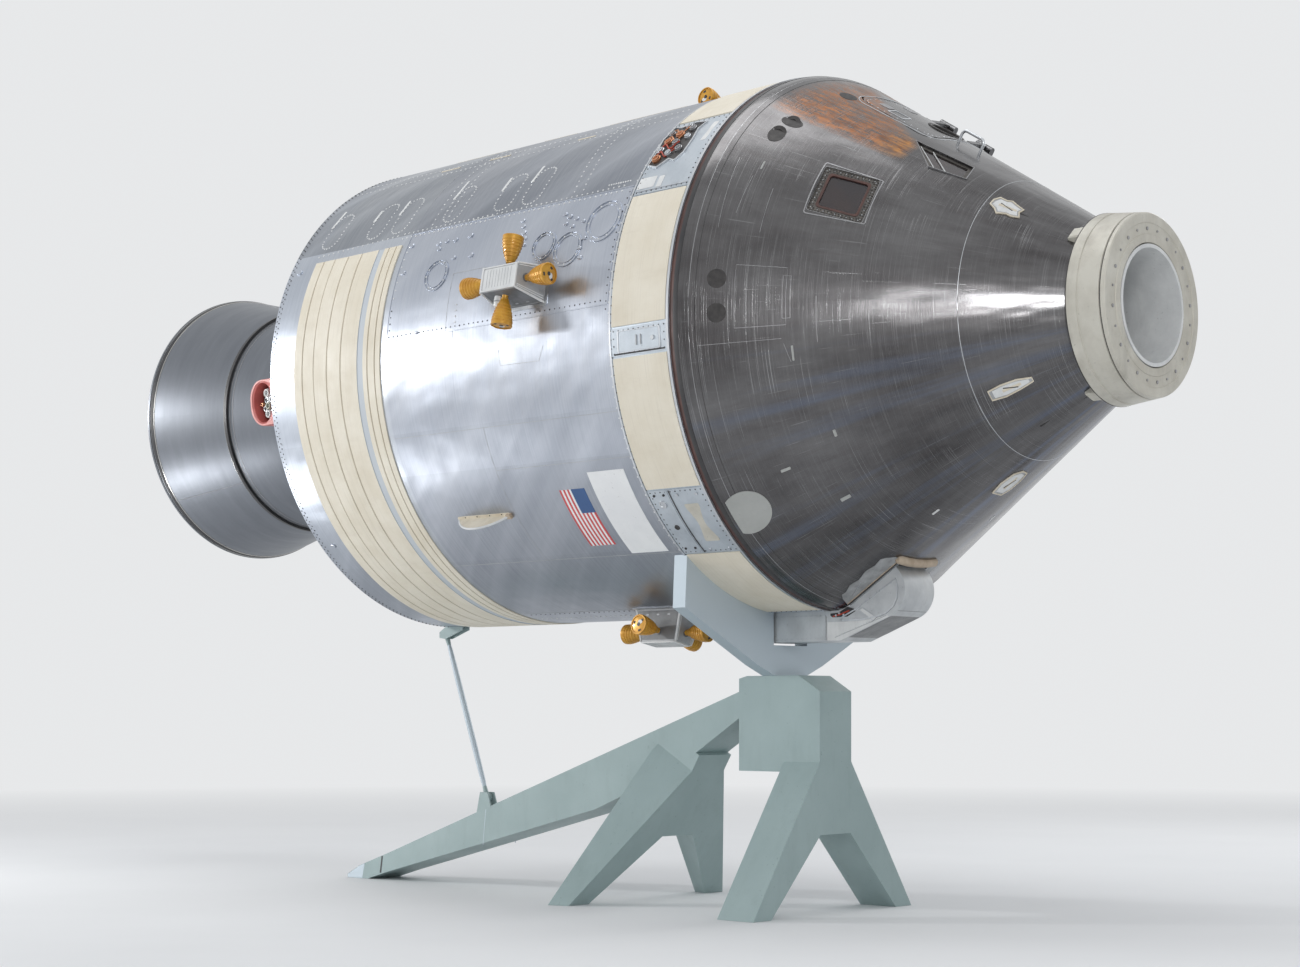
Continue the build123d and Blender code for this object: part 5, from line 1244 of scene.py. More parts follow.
@dataclass
class Fairing:
    """Ring of flat radiators and small bays in front of the service module."""

    frame: dict[str, Any]
    craft: CraftOutline
    # Bays between the radiators: lowest and highest bearing
    bays: Rows = ((-53.0, -35.2), (-7.4, -1.0), (27.4, 50.3), (78.0, 98.0))

    def build(self) -> None:
        """Dress the ring, its radiators and its bays."""
        paint(self.frame, Look.FAIRING, "fairing")
        paint(self.frame, Look.FAIRING_RADIATOR, "fairing_radiators")
        form, plugs, heads = Form(), Form(), Rivets(0.0055, 0.003, Look.SOOT)
        for side in BOTH_SIDES:
            for low, high in self.bays:
                self.bay(form, heads, low + side, high + side)
            self.access_door(form, side)
            self.connector_bay(form, plugs, side)
            self.latch_bay(form, side)
        self.edges(form)
        for station in (3.811, 4.331):
            heads.row(self.craft.skin, all_round(station), 0.062, False, 0.001)
        form.piece("fairing_bays", "craft", "fairing_skin")
        plugs.piece("fairing_plugs", "craft", "fitting_copper", ["fairing_fittings"])
        heads.piece("fairing_rivets", "craft", "fairing_skin")

    def bay(self, form: Form, heads: Rivets, low: float, high: float) -> None:
        """Plain blue-grey plate between two radiators, with rivets round it."""
        skin = self.craft.skin
        outline = split_runs(oblong(3.815, low + 0.4, 4.325, high - 0.4), 2.4, True)
        form.plate(skin, outline, -0.002, 0.004, Look.BAY_PLATE, 0.0, 4)
        heads.row(skin, oblong(3.835, low + 0.9, 4.305, high - 0.9), 0.045, True, 0.004)

    def access_door(self, form: Form, side: float) -> None:
        """Narrow door with a raised frame and two small latches."""
        patch = self.craft.skin_patch(4.07, -4.2 + side)
        form.ring_plate(patch, round_corners(0.40, 0.15, 0.012), 0.94, 0.003, 0.008, Look.BARE)
        form.plate(patch, round_corners(0.37, 0.135, 0.01), 0.003, 0.006, Look.BAY_PLATE, 0, 2)
        # Painted shadow: dark line along the lower edge of the raised frame
        form.bead(patch, [(-0.235, -0.082), (0.235, -0.082)], 0.006, 0.0062, Look.SOOT, low=0.002)
        for shift in (-0.02, 0.02):
            latch = shifted(round_corners(0.007, 0.07, 0.003), shift, 0)
            form.plate(patch, latch, 0.003, 0.012, Look.PANEL_GREY, 0.001, 1)
        lock = self.craft.tangent(4.20, -4.2 + side)
        form.stud(lock, (0.0, 0.018), (0.012, 0.016), Look.BARE, 16)

    def connector_bay(self, form: Form, plugs: Form, side: float) -> None:
        """Recess with a ragged rim, full of copper, silver and red connectors."""
        patch = self.craft.skin_patch(3.975, 41.5 + side)
        rim = [
            (-0.145, -0.20), (-0.05, -0.235), (0.03, -0.17), (0.10, -0.20), (0.15, -0.13),
            (0.155, 0.02), (0.13, 0.14), (0.16, 0.22), (0.05, 0.245), (-0.06, 0.21),
            (-0.15, 0.235), (-0.165, 0.08), (-0.14, -0.05),
        ]
        form.plate(patch, rim, 0.0035, 0.0055, Look.SOOT, 0.0, 3)
        form.bead(patch, rim, 0.008, 0.014, Look.BARE, True, 0.003)
        for x, y, radius, look in (
            (-0.09, -0.15, 0.036, Look.COPPER), (-0.10, -0.06, 0.030, Look.BARE),
            (-0.08, 0.03, 0.034, Look.COPPER), (-0.10, 0.13, 0.028, Look.STEEL),
            (0.00, -0.11, 0.028, Look.BARE), (0.01, 0.0, 0.032, Look.STEEL),
            (-0.01, 0.10, 0.036, Look.COPPER), (0.02, 0.19, 0.026, Look.BARE),
            (0.08, -0.08, 0.030, Look.STEEL), (0.09, 0.05, 0.026, Look.BARE),
            (0.08, 0.15, 0.030, Look.STEEL),
        ):
            place = self.craft.tangent(3.975 + x, 41.5 + side + degrees(y / SKIN_RADIUS))
            profile = [
                (0.0, radius), (0.020, radius), (0.022, radius * 0.86), (0.030, radius * 0.84),
                (0.030, radius * 0.5), (0.024, radius * 0.45), (0.024, 0.002),
            ]
            plugs.turned(place, profile, look, 16)
        for bend in (-0.11, -0.03, 0.06, 0.14):
            path = []
            for i in range(8):
                around, out = bend + 0.03 * sin(i * 1.1), 0.012 + 0.010 * sin(i * 0.7) ** 2
                path.append(patch(-0.12 + 0.024 * i, around, out))
            plugs.tube(path, 0.006, Look.HARNESS_RED if bend < 0 else Look.COPPER, 8)
        self.tags(form, side)

    def tags(self, form: Form, side: float) -> None:
        """Blank pale tags in the forward and lower part of the connector bay."""
        for station, bearing, length, width in (
            (3.90, 30.7, 0.16, 0.10), (4.03, 30.4, 0.05, 0.10), (4.24, 44.0, 0.05, 0.22),
        ):
            patch = self.craft.skin_patch(station, bearing + side)
            form.plate(patch, round_corners(length, width, 0.008), 0.003, 0.0056, Look.WHITE, 0, 2)
        path = split_runs([(3.83, 28.6 + side), (4.31, 28.6 + side)], 0.1, False)
        form.bead(self.craft.skin, path, (0.004, 0.12), 0.008, Look.BARE)

    def latch_bay(self, form: Form, side: float) -> None:
        """Lower bay with a seam, a round latch, a dark port and a blank tan plate."""
        for station, half, rise, look in (
            (4.01, (0.0035, 0.1), 0.0085, Look.SOOT), (3.985, (0.010, 0.3), 0.0075, Look.BAY_PLATE),
        ):
            path = split_runs([(station, -52.4 + side), (station, -35.8 + side)], 2.0, False)
            form.bead(self.craft.skin, path, half, rise, look, low=0.002)
        for station, bearing, radius, rise, look in (
            (3.905, -39.0, 0.034, 0.012, Look.BARE), (3.915, -45.0, 0.022, 0.010, Look.SOOT),
            (3.86, -36.8, 0.010, 0.010, Look.SOOT), (3.95, -36.8, 0.010, 0.010, Look.SOOT),
            (3.86, -51.0, 0.010, 0.010, Look.SOOT), (3.95, -51.0, 0.010, 0.010, Look.SOOT),
        ):
            profile = [
                (0.002, radius), (rise, radius * 0.92), (rise, radius * 0.62),
                (rise * 0.6, radius * 0.55), (rise * 0.6, 0.002),
            ]
            form.turned(self.craft.tangent(station, bearing + side), profile, look, 20)
        patch = self.craft.skin_patch(4.16, -44.3 + side)
        form.plate(patch, round_corners(0.13, 0.34, 0.01), 0.003, 0.0058, Look.CREAM, 0.0, 3)
        for station in (4.075, 4.255):
            for bearing in (-37.0, -51.6):
                place = self.craft.tangent(station, bearing + side)
                form.stud(place, (0.002, 0.012), (0.012, 0.010), Look.BARE)

    def edges(self, form: Form) -> None:
        """Bright edge strips in front of and behind the ring, and the dark seal in the gap."""
        axis, skin, bend = self.craft.lathe(), self.craft.skin_radius, self.craft.corner_radius
        for low, high, out in ((3.792, 3.808, 0.006), (4.328, 4.349, 0.009)):
            loop = [(low, skin - 0.004), (low, skin + out), (high, skin + out), (high, skin - 0.004)]
            form.turned(axis, loop, Look.BARE, 180, wrap=True)
        seal = [(4.349, 1.925), (4.349, 1.952), (4.355, 1.9535), (4.360, 1.950), (4.360, 1.925)]
        form.turned(axis, seal, Look.BROWN_SEAL, 180, wrap=True)
        for low, high, look in ((4.3605, 4.386, Look.BROWN_SEAL), (4.386, 4.424, Look.BLACK)):
            outer, inner = [], []
            for step in range(5):
                x = low + (high - low) * step / 4
                radius = self.craft.corner_centre + sqrt(bend**2 - (x - self.craft.corner) ** 2)
                outer.append((x, radius + 0.0016))
                inner.append((x, radius - 0.006))
            form.turned(axis, outer + inner[::-1], look, 180, wrap=True)


@dataclass
class ThrusterQuad:
    """Housing with four golden bells that carry covers with three small holes."""

    craft: CraftOutline
    name: str
    bearing: float
    station: float = 2.910
    base: Spot = (0.460, 0.260)
    top: Spot = (0.360, 0.180)
    out: float = 0.250
    # Bell: height of its neck, its length, and its radius at neck and mouth
    bell: tuple[float, ...] = (0.054, 0.180, 0.033, 0.077)

    def build(self) -> None:
        """Make the housing and its bells."""
        self.local = self.craft.tangent(self.station, self.bearing)
        self.axes = self.craft.axes(self.bearing)
        self.housing()
        self.bells()

    def half(self, height: float) -> Spot:
        """Half length and half width of the housing at a height."""
        share = height / self.out
        x, y = (low + (high - low) * share for low, high in zip(self.base, self.top))
        return x / 2, y / 2

    def ring(self, height: float, shrink: float = 0.0) -> list[Vector]:
        """Corners of the housing at a height."""
        x, y = (size - shrink for size in self.half(height))
        return [self.local(px, py, height) for px, py in oblong(-x, -y, x, y)]

    def housing(self) -> None:
        """Tapered body with a framed outer face, ribs on its ends and a flange at its foot."""
        form, local, out = Form(), self.local, self.out
        form.lattice([self.ring(-0.012), self.ring(out - 0.004), self.ring(out, 0.004)], Look.PANEL_GREY)
        x, y = self.half(out)
        outer, face = round_corners(2 * x, 2 * y, 0.010), round_corners(1.78 * x, 1.74 * y, 0.008)
        form.ring_plate(local, outer, 0.90, out - 0.002, out + 0.007, Look.WHITE)
        form.plate(local, face, out - 0.001, out + 0.0025, Look.WHITE, 0.001, 1)
        for axis in (0, 1):
            for end in (-1, 1):
                self.side_panels(form, axis, end)
        self.canister(form)
        for step in range(-4, 5):
            line = [(step * 0.030, -0.066), (step * 0.030, 0.066)]
            form.bead(local, line, 0.0016, out + 0.0036, Look.PANEL_GREY, low=out)
        low_x, low_y = self.half(0.0)
        for sx, sy in ((-1, -1), (1, -1), (1, 1), (-1, 1)):
            path = [local(sx * low_x, sy * low_y, 0.0), local(sx * x, sy * y, out)]
            form.tube(path, 0.007, Look.WHITE, 8)
        foot = self.craft.skin_patch(self.station, self.bearing)
        frame = round_corners(self.base[0] + 0.06, self.base[1] + 0.06, 0.02)
        form.ring_plate(foot, frame, 0.84, -0.002, 0.006, Look.BARE)
        form.piece(f"quad_body_{self.name}", "craft", "quad_white", [f"quad_housing_{self.name}"])

    def side(self, axis: int, end: int) -> Surface:
        """Frame on one side of the housing: across it, up it and out of it."""
        base, top = self.base[axis] / 2, self.top[axis] / 2
        lean = (base - top) / self.out
        normal, rise = self.axes[axis], self.axes[2]
        up = (rise - normal * (lean * end)).normalized()
        foot = self.local(0, 0, 0) + normal * (base * end)
        return flat_place(foot, self.axes[1 - axis], up, (normal * end + rise * lean).normalized())

    def side_panels(self, form: Form, axis: int, end: int) -> None:
        """Dark inset panel and pale edge strips on one side of the housing."""
        side = self.side(axis, end)
        wide, narrow = self.base[1 - axis] / 2, self.top[1 - axis] / 2
        tall = hypot(self.out, (self.base[axis] - self.top[axis]) / 2)

        def edge(share: float, height: float) -> Spot:
            """Spot at a share of the side's half width, at a height up the side."""
            return share * (wide + (narrow - wide) * height / tall), height

        corners = ((-0.90, 0.015), (0.90, 0.015), (0.90, tall - 0.015), (-0.90, tall - 0.015))
        look = Look.DARK_PANEL if axis else Look.PANEL_GREY
        form.plate(side, [edge(*corner) for corner in corners], -0.001, 0.0025, look, 0.001, 1)
        for share in (-0.97, 0.97) if axis else (-0.97, -0.84, -0.71, 0.84, 0.97):
            strip = [edge(share, 0.012), edge(share, tall - 0.012)]
            form.bead(side, strip, 0.0038, 0.0055, Look.WHITE, low=-0.001)
        for share in (-0.5, 0.0, 0.5):
            tab = shifted(round_corners(0.026, 0.012, 0.004, 2), *edge(share, 0.045))
            form.plate(side, tab, 0.0, 0.0048, Look.PANEL_GREY, 0.0, 1)

    def canister(self, form: Form) -> None:
        """White round box beside the lower bell, with a dark window in its end."""
        way = -self.axes[1]
        root = self.local(-0.078, -self.half(0.150)[1] + 0.01, 0.150)
        frame = flat_place(root, self.axes[2], way.cross(self.axes[2]), way)
        box = [(0.0, 0.002), (0.0, 0.036), (0.070, 0.036), (0.082, 0.031), (0.086, 0.022), (0.086, 0.002)]
        band = [(0.040, 0.0355), (0.040, 0.038), (0.050, 0.038), (0.050, 0.0355)]
        form.turned(frame, box, Look.WHITE, 28)
        form.turned(frame, band, Look.PANEL_GREY, 28, True)
        window = shifted(ellipse(0.022, 0.030, 16), 0.006, 0)
        form.plate(frame, window, 0.084, 0.0875, Look.BLACK, 0.0, 1)

    def bell_radius(self, share: float) -> float:
        """Outer radius of a bell at a share of its length: it opens like a tulip."""
        _, _, neck, mouth = self.bell
        return neck + (mouth - neck) * (1 - (1 - share) ** 1.7)

    def bells(self) -> None:
        """Four bells, each with a neck, rings round it and a cover with a hole and slots."""
        form = Form()
        start, length, _, _ = self.bell
        foot = [(0.0, 0.002), (0.0, 0.034), (0.014, 0.034), (0.016, 0.026), (0.016, 0.002)]
        neck = [
            (0.014, 0.002), (0.014, 0.024), (0.020, 0.022), (0.038, 0.022), (0.042, 0.030),
            (0.050, 0.031), (0.054, 0.028), (0.060, 0.034), (0.060, 0.002),
        ]
        outside = [(start + length * step / 8, self.bell_radius(step / 8)) for step in range(9)]
        inside = [(height, radius - 0.004) for height, radius in reversed(outside)]
        rim = [(0.228, 0.068), (0.228, 0.0778), (0.240, 0.0778), (0.242, 0.0750), (0.242, 0.068)]
        cover = [(0.218, 0.002), (0.218, 0.070), (0.235, 0.070), (0.237, 0.062), (0.237, 0.002)]
        height = 0.165
        half_x, half_y = self.half(height)
        forward, around, out = self.axes
        for way, reach in ((forward, half_x), (-forward, half_x), (around, half_y), (-around, half_y)):
            root = self.local(0, 0, height) + way * (reach - 0.012)
            bell = flat_place(root, out, way.cross(out), way)
            if abs(way.x) < 0.5:
                board = shifted(round_corners(0.030, 0.016, 0.002, 2), 0.006, 0)
                place = root + way * 0.215 - forward * 0.0735
                face = flat_place(place, way, way.cross(-forward), -forward)
                form.plate(face, board, -0.004, 0.0036, Look.WHITE, 0.0, 1)
            form.turned(bell, foot, Look.DARK_PANEL, 24)
            form.turned(bell, neck, Look.GOLD, 24)
            form.turned(bell, outside + inside, Look.GOLD, 32, True)
            for share in (0.20, 0.34, 0.48, 0.61, 0.74, 0.86):
                middle, radius = start + length * share, self.bell_radius(share)
                hoop = [
                    (middle - 0.0055, radius - 0.003), (middle - 0.0035, radius + 0.0030),
                    (middle + 0.0035, radius + 0.0034), (middle + 0.0055, radius - 0.002),
                ]
                form.turned(bell, hoop, Look.GOLD, 28, True)
            form.turned(bell, rim, Look.GOLD, 32, True)
            form.turned(bell, cover, Look.GOLD, 32)
            form.plate(bell, ellipse(0.030, 0.030, 16), 0.230, 0.2388, Look.BLACK, 0.0, 1)
            label = shifted(ellipse(0.032, 0.046, 14), -0.020, 0.012)
            form.plate(bell, label, 0.230, 0.2378, Look.WHITE, 0.0, 1)
            for turn, size in ((0.35, 0.026), (2.35, 0.020), (4.35, 0.022)):
                slot = [
                    ((0.048 + x) * cos(turn) - y * sin(turn), (0.048 + x) * sin(turn) + y * cos(turn))
                    for x, y in round_corners(0.016, size, 0.003, 2)
                ]
                form.plate(bell, slot, 0.230, 0.2382, Look.SOOT, 0.0, 1)
        form.piece(f"quad_thrusters_{self.name}", "craft", "quad_gold", [f"quad_bells_{self.name}"])


@dataclass
class Antennas:
    """Two blade antennas: pale half discs with a flange and an end plug."""

    frame: dict[str, Any]
    craft: CraftOutline
    station: float = 2.080
    bearing: float = -38.5
    # Half length and height of the blade
    chord: float = 0.280
    height: float = 0.150

    def build(self) -> None:
        """Paint the blades and add their flanges, rims and plugs."""
        paint(self.frame, Look.IVORY, "blade_antennas")
        form = Form()
        radius = (self.chord**2 + self.height**2) / (2 * self.height)
        reach = asin(self.chord / radius)
        for side in BOTH_SIDES:
            patch = self.craft.skin_patch(self.station, self.bearing + side)
            form.plate(patch, round_corners(0.585, 0.052, 0.02), -0.002, 0.005, Look.IVORY, 0.002, 3)
            rim = []
            for step in range(15):
                turn = -reach + 2 * reach * step / 14
                rise = radius * cos(turn) + self.height - radius - 0.001
                rim.append(patch(radius * sin(turn), 0, rise))
            form.tube(rim, 0.0085, Look.WHITE, 8)
            form.block(patch, (0.255, -0.020, 0.0), (0.300, 0.020, 0.026), Look.TAN, 0.004)
            for x in (-0.20, -0.07, 0.07, 0.20):
                for y in (-0.017, 0.017):
                    head = shifted(ellipse(0.010, 0.010, 8), x, y)
                    form.plate(patch, head, 0.004, 0.008, Look.SOOT, 0.0, 1)
        form.piece("antenna_fittings", "craft", "antenna_ivory")


@dataclass
class AftConnector:
    """Red housing with an oval mouth full of plugs, on a pale flared mount at the aft rim."""

    craft: CraftOutline
    bearing: float = -5.2
    length: float = 0.330
    height: float = 0.380
    out: float = 1.920
    # Half length and half height of the oval mouth
    mouth: Spot = (0.115, 0.160)

    def build(self) -> None:
        """Make the housing, its plugs and the mount."""
        self.local = self.craft.tangent(-self.length / 2, self.bearing, self.out)
        self.housing()
        self.mount()

    def rim(self, turn: float) -> Spot:
        """Outside in a direction from the mouth's middle: round aft, square at the rim."""
        x, y = cos(turn), sin(turn)
        tall, bend = self.height / 2 - 0.001, self.length / 2 - 0.003
        if x > 0:
            reach = min((self.length / 2 - 0.001) / x, tall / max(abs(y), 1e-6))
        else:
            slip = (tall - bend) * abs(y)
            reach = slip + sqrt(slip**2 + bend**2 - (tall - bend) ** 2)
        return reach * x, reach * y

    def housing(self) -> None:
        """Hollow red shell with a pale rolled lip, and plugs that rise from its floor."""
        form = Form()
        turns = [2 * pi * (step + 0.5) / 48 for step in range(48)]

        def ring(share: float, height: float) -> list[Vector]:
            """Ring between the mouth at share 0 and the outside at share 1."""
            spots = []
            for turn in turns:
                (far_x, far_y), x, y = self.rim(turn), cos(turn), sin(turn)
                x, y = self.mouth[0] * x, self.mouth[1] * y
                spots.append(self.local(x + (far_x - x) * share, y + (far_y - y) * share, height))
            return spots

        def floor(height: float) -> list[Vector]:
            """Small ring in the middle of the mouth."""
            return [self.local(0.01 * cos(turn), 0.01 * sin(turn), height) for turn in turns]

        shell = ((1.0, -0.258), (1.0, -0.018), (0.9, -0.006), (0.4, -0.004), (0.08, -0.010),
                 (0.0, -0.030), (0.0, -0.150))
        lip = ((0.97, -0.020), (0.84, -0.001), (0.46, -0.001), (0.34, -0.012))
        form.lattice([floor(-0.258), *(ring(*row) for row in shell), floor(-0.150)], Look.RED)
        form.lattice([ring(*row) for row in lip], Look.ROSE, wrap=True)
        form.plate(self.local, ellipse(0.186, 0.270, 32), -0.151, -0.088, Look.BLACK, 0.010, 1)
        # Plugs: place in the mouth, radius, finish
        plugs = [
            (0.000, 0.090, 0.036, Look.WHITE), (0.048, 0.030, 0.028, Look.STEEL),
            (-0.038, 0.026, 0.030, Look.BARE), (0.010, -0.028, 0.032, Look.MOUNT),
            (-0.044, -0.052, 0.026, Look.STEEL), (0.052, -0.060, 0.026, Look.BARE),
            (0.004, -0.104, 0.034, Look.WHITE), (0.060, 0.088, 0.020, Look.COPPER),
            (-0.056, 0.082, 0.020, Look.MOUNT), (-0.078, -0.010, 0.017, Look.COPPER),
            (0.084, -0.008, 0.016, Look.COPPER), (-0.050, -0.104, 0.017, Look.BARE),
        ]
        for count, (x, y, radius, look) in enumerate(plugs):
            rise = -0.040 - 0.012 * (count % 3)
            foot = self.local(x * 0.86 + 0.008, y * 0.88, 0)
            frame = flat_place(foot, *self.craft.axes(self.bearing))
            profile = [
                (-0.092, 0.002), (-0.092, radius), (rise - 0.016, radius), (rise - 0.014, radius * 0.88),
                (rise, radius * 0.86), (rise, radius * 0.62), (rise - 0.012, radius * 0.56),
                (rise - 0.012, 0.002),
            ]
            form.turned(frame, profile, look, 18)
            for turn in (pi / 2 * pin + 0.4 for pin in range(4)):
                px, py = radius * 0.3 * cos(turn), radius * 0.3 * sin(turn)
                pin = shifted(ellipse(0.006, 0.006, 6), px, py)
                form.plate(frame, pin, rise - 0.014, rise - 0.004, Look.BLACK, 0.0, 1)
        form.piece("connector_shell", "craft", "connector_red", ["connector_housing"])

    def mount(self) -> None:
        """Pale blister above and below the housing, which narrows to nothing along the rim."""
        form = Form()
        for start, end in ((0.187, 0.323), (-0.187, -0.556)):
            rows = []
            for step in range(15):
                around = start + (end - start) * step / 14
                share = min(1.0, max(0.0, (abs(around) - 0.205) / (abs(end) - 0.205)))
                aft = -0.094 * (1 - share) ** 1.5
                turn = self.bearing + degrees(around / 1.88)
                shape = [
                    (0.055, 1.645), (0.055, 1.876), (min(aft + 0.024, 0.050), 1.876), (aft, 1.858),
                    (aft, 1.645),
                ]
                rows.append([self.craft.point(x, turn, radius) for x, radius in shape])
            form.lattice(rows, Look.MOUNT)
        form.piece("connector_blister", "craft", "mount_pale", ["connector_mount"])


@dataclass
class MainEngine:
    """Engine bell with its dark joint ring, lip, throat, boot and the gimbal's steel."""

    frame: dict[str, Any]
    craft: CraftOutline
    # Stations of the gimbal and of the aft bulkhead's face
    gimbal: float = 0.450
    bulkhead_face: float = 0.060

    def build(self) -> None:
        """Dress the engine."""
        paint(self.frame, Look.NOZZLE, "nozzle", "nozzle_extension")
        paint(self.frame, Look.BLACK, "nozzle_ring")
        paint(self.frame, Look.STEEL, "engine_block", "gimbal_ring", "engine_mount")
        paint(self.frame, Look.BOOT, "boot_bowl", "boot_skirt")
        paint(self.frame, Look.FOIL, "aft_bulkhead")
        self.axis = self.craft.lathe()
        self.bell()
        self.boot()
        self.bulkhead()

    @staticmethod
    def bell_radius(station: float) -> float:
        """Outer radius of the bell at a station, on the circle through three of its rings."""
        (ax, ay), (bx, by), (cx, cy) = (0.300, 0.170), (-1.235, 0.800), (-2.770, 1.226)
        det = 2 * (ax * (by - cy) + bx * (cy - ay) + cx * (ay - by))
        a2, b2, c2 = ax * ax + ay * ay, bx * bx + by * by, cx * cx + cy * cy
        ux = (a2 * (by - cy) + b2 * (cy - ay) + c2 * (ay - by)) / det
        uy = (a2 * (cx - bx) + b2 * (ax - cx) + c2 * (bx - ax)) / det
        return uy + sqrt(hypot(ax - ux, ay - uy) ** 2 - (station - ux) ** 2)

    def bell(self) -> None:
        """Lip, grooves and seams of the bell, and the injector seen through the throat."""
        form = Form()

        def hoop(station: float, half: float, rise: float, look: Look) -> None:
            """Ring round the outside of the bell."""
            spots = []
            for shift, up in ((-half, -0.004), (-half * 0.8, rise), (half * 0.8, rise), (half, -0.004)):
                spots.append((station + shift, self.bell_radius(station + shift) + up))
            form.turned(self.axis, spots, look, 128, wrap=True)

        hoop(-2.752, 0.008, 0.0030, Look.NOZZLE_LIP)
        hoop(-2.722, 0.016, 0.0035, Look.BLACK)
        hoop(-2.697, 0.004, 0.0035, Look.NOZZLE_LIP)
        lip = [(-2.7695, 1.215), (-2.7695, 1.2275), (-2.762, 1.2275), (-2.762, 1.215)]
        form.turned(self.axis, lip, Look.NOZZLE_LIP, 128, wrap=True)
        hoop(-1.904, 0.005, 0.0060, Look.NOZZLE_LIP)
        for station in (-1.845, -1.815, -1.30, -0.72):
            hoop(station, 0.003, 0.0022, Look.STEEL)
        stations = [-1.92 - 0.76 * step / 14 for step in range(15)]
        for bearing in (-38.0, 82.0, 202.0):
            path = [self.craft.point(x, bearing, self.bell_radius(x) + 0.0004) for x in stations]
            form.tube(path, 0.0024, Look.STEEL, 6)
        form.piece("bell_trim", "engine", "nozzle_metal")
        throat = Form()
        cup = [(0.299, 0.002), (0.299, 0.156), (0.296, 0.152), (0.285, 0.120), (0.285, 0.002)]
        throat.turned(self.axis, cup, Look.SOOT, 48)
        for count, radius in ((6, 0.035), (12, 0.070), (18, 0.105)):
            for spot in range(count):
                ring = frame_along(self.craft.point(0.285, 360 * spot / count, radius), -FORWARD)
                throat.stud(ring, (-0.002, 0.008), (0.006, 0.007), Look.COPPER, 8, 0.001)
        throat.piece("injector_face", "engine", "engine_steel")

    def boot(self) -> None:
        """Sewn ribs and hem bands on the boot's bowl and skirt."""
        centre = self.craft.point(self.gimbal, 0, 0)

        def on_ball(radius: float) -> Surface:
            """Turn from the axis and bearing, both in degrees, on a ball round the gimbal."""

            def place(turn: float, bearing: float, out: float) -> Vector:
                """One place on the ball, or a little outside it."""
                reach, turn, bearing = radius + out, radians(turn), radians(bearing)
                height = reach * sin(turn)
                way = (-reach * cos(turn), -height * cos(bearing), height * sin(bearing))
                return centre + Vector(way)

            return place

        for name, body, radius, low, high, ribs in (
            ("boot_bowl_seams", "engine", 1.234, 31.0, 47.6, 24),
            ("boot_skirt_seams", "craft", 1.260, 41.0, 69.5, 36),
        ):
            form, ball = Form(), on_ball(radius)
            for bearing in (360 * rib / ribs for rib in range(ribs)):
                path = [(low + (high - low) * i / 8, bearing) for i in range(9)]
                form.bead(ball, path, (0.3, 0.5), 0.007, Look.BOOT)
            for turn in (low, high):
                path = [(turn, 360 * i / 96) for i in range(96)]
                form.bead(ball, path, (0.5, 0.8), 0.009, Look.BOOT, True)
            form.piece(name, body, "boot_cloth")

    def spoke(self, bearing: float) -> Surface:
        """Frame on the bulkhead's aft face: outwards, round the craft and backwards."""
        out = self.craft.axes(bearing)[2]
        centre = self.craft.point(self.bulkhead_face, 0, 0)
        return flat_place(centre, out, out.cross(FORWARD), -FORWARD)

    def bulkhead(self) -> None:
        """Ribs, boxes and pipes on the aft bulkhead, all behind the rim's plane."""
        form, heads = Form(), Rivets(0.009, 0.005, Look.BARE)
        for rib in range(18):
            frame = self.spoke(20.0 * rib + 12.0)
            form.block(frame, (1.30, -0.010, -0.004), (1.90, 0.010, 0.034), Look.FOIL, 0.003)
            form.block(frame, (1.30, -0.028, -0.004), (1.90, 0.028, 0.004), Look.FOIL, 0.001)
        for box, (inner, outer) in enumerate(((1.36, 1.62), (1.44, 1.74), (1.38, 1.56))):
            for shift in (35.0, 155.0, 275.0):
                low, high = (inner, -0.085, -0.004), (outer, 0.085, 0.046)
                form.block(self.spoke(shift + 22 * box), low, high, Look.PANEL_GREY, 0.01)
        for radius, size in ((1.84, 0.012), (1.80, 0.008), (1.33, 0.010)):
            station = self.bulkhead_face - size * 0.8
            path = [self.craft.point(station, 3.0 * i, radius) for i in range(121)]
            form.tube(path, size, Look.BARE, 8)
        form.piece("bulkhead_fittings", "craft", "bulkhead_foil")
        for bearing in range(0, 360, 3):
            for radius in (1.885, 1.285):
                place = self.craft.point(self.bulkhead_face, bearing, radius)
                heads.spots.append((place, -FORWARD))
        heads.piece("bulkhead_rivets", "craft", "bulkhead_foil")


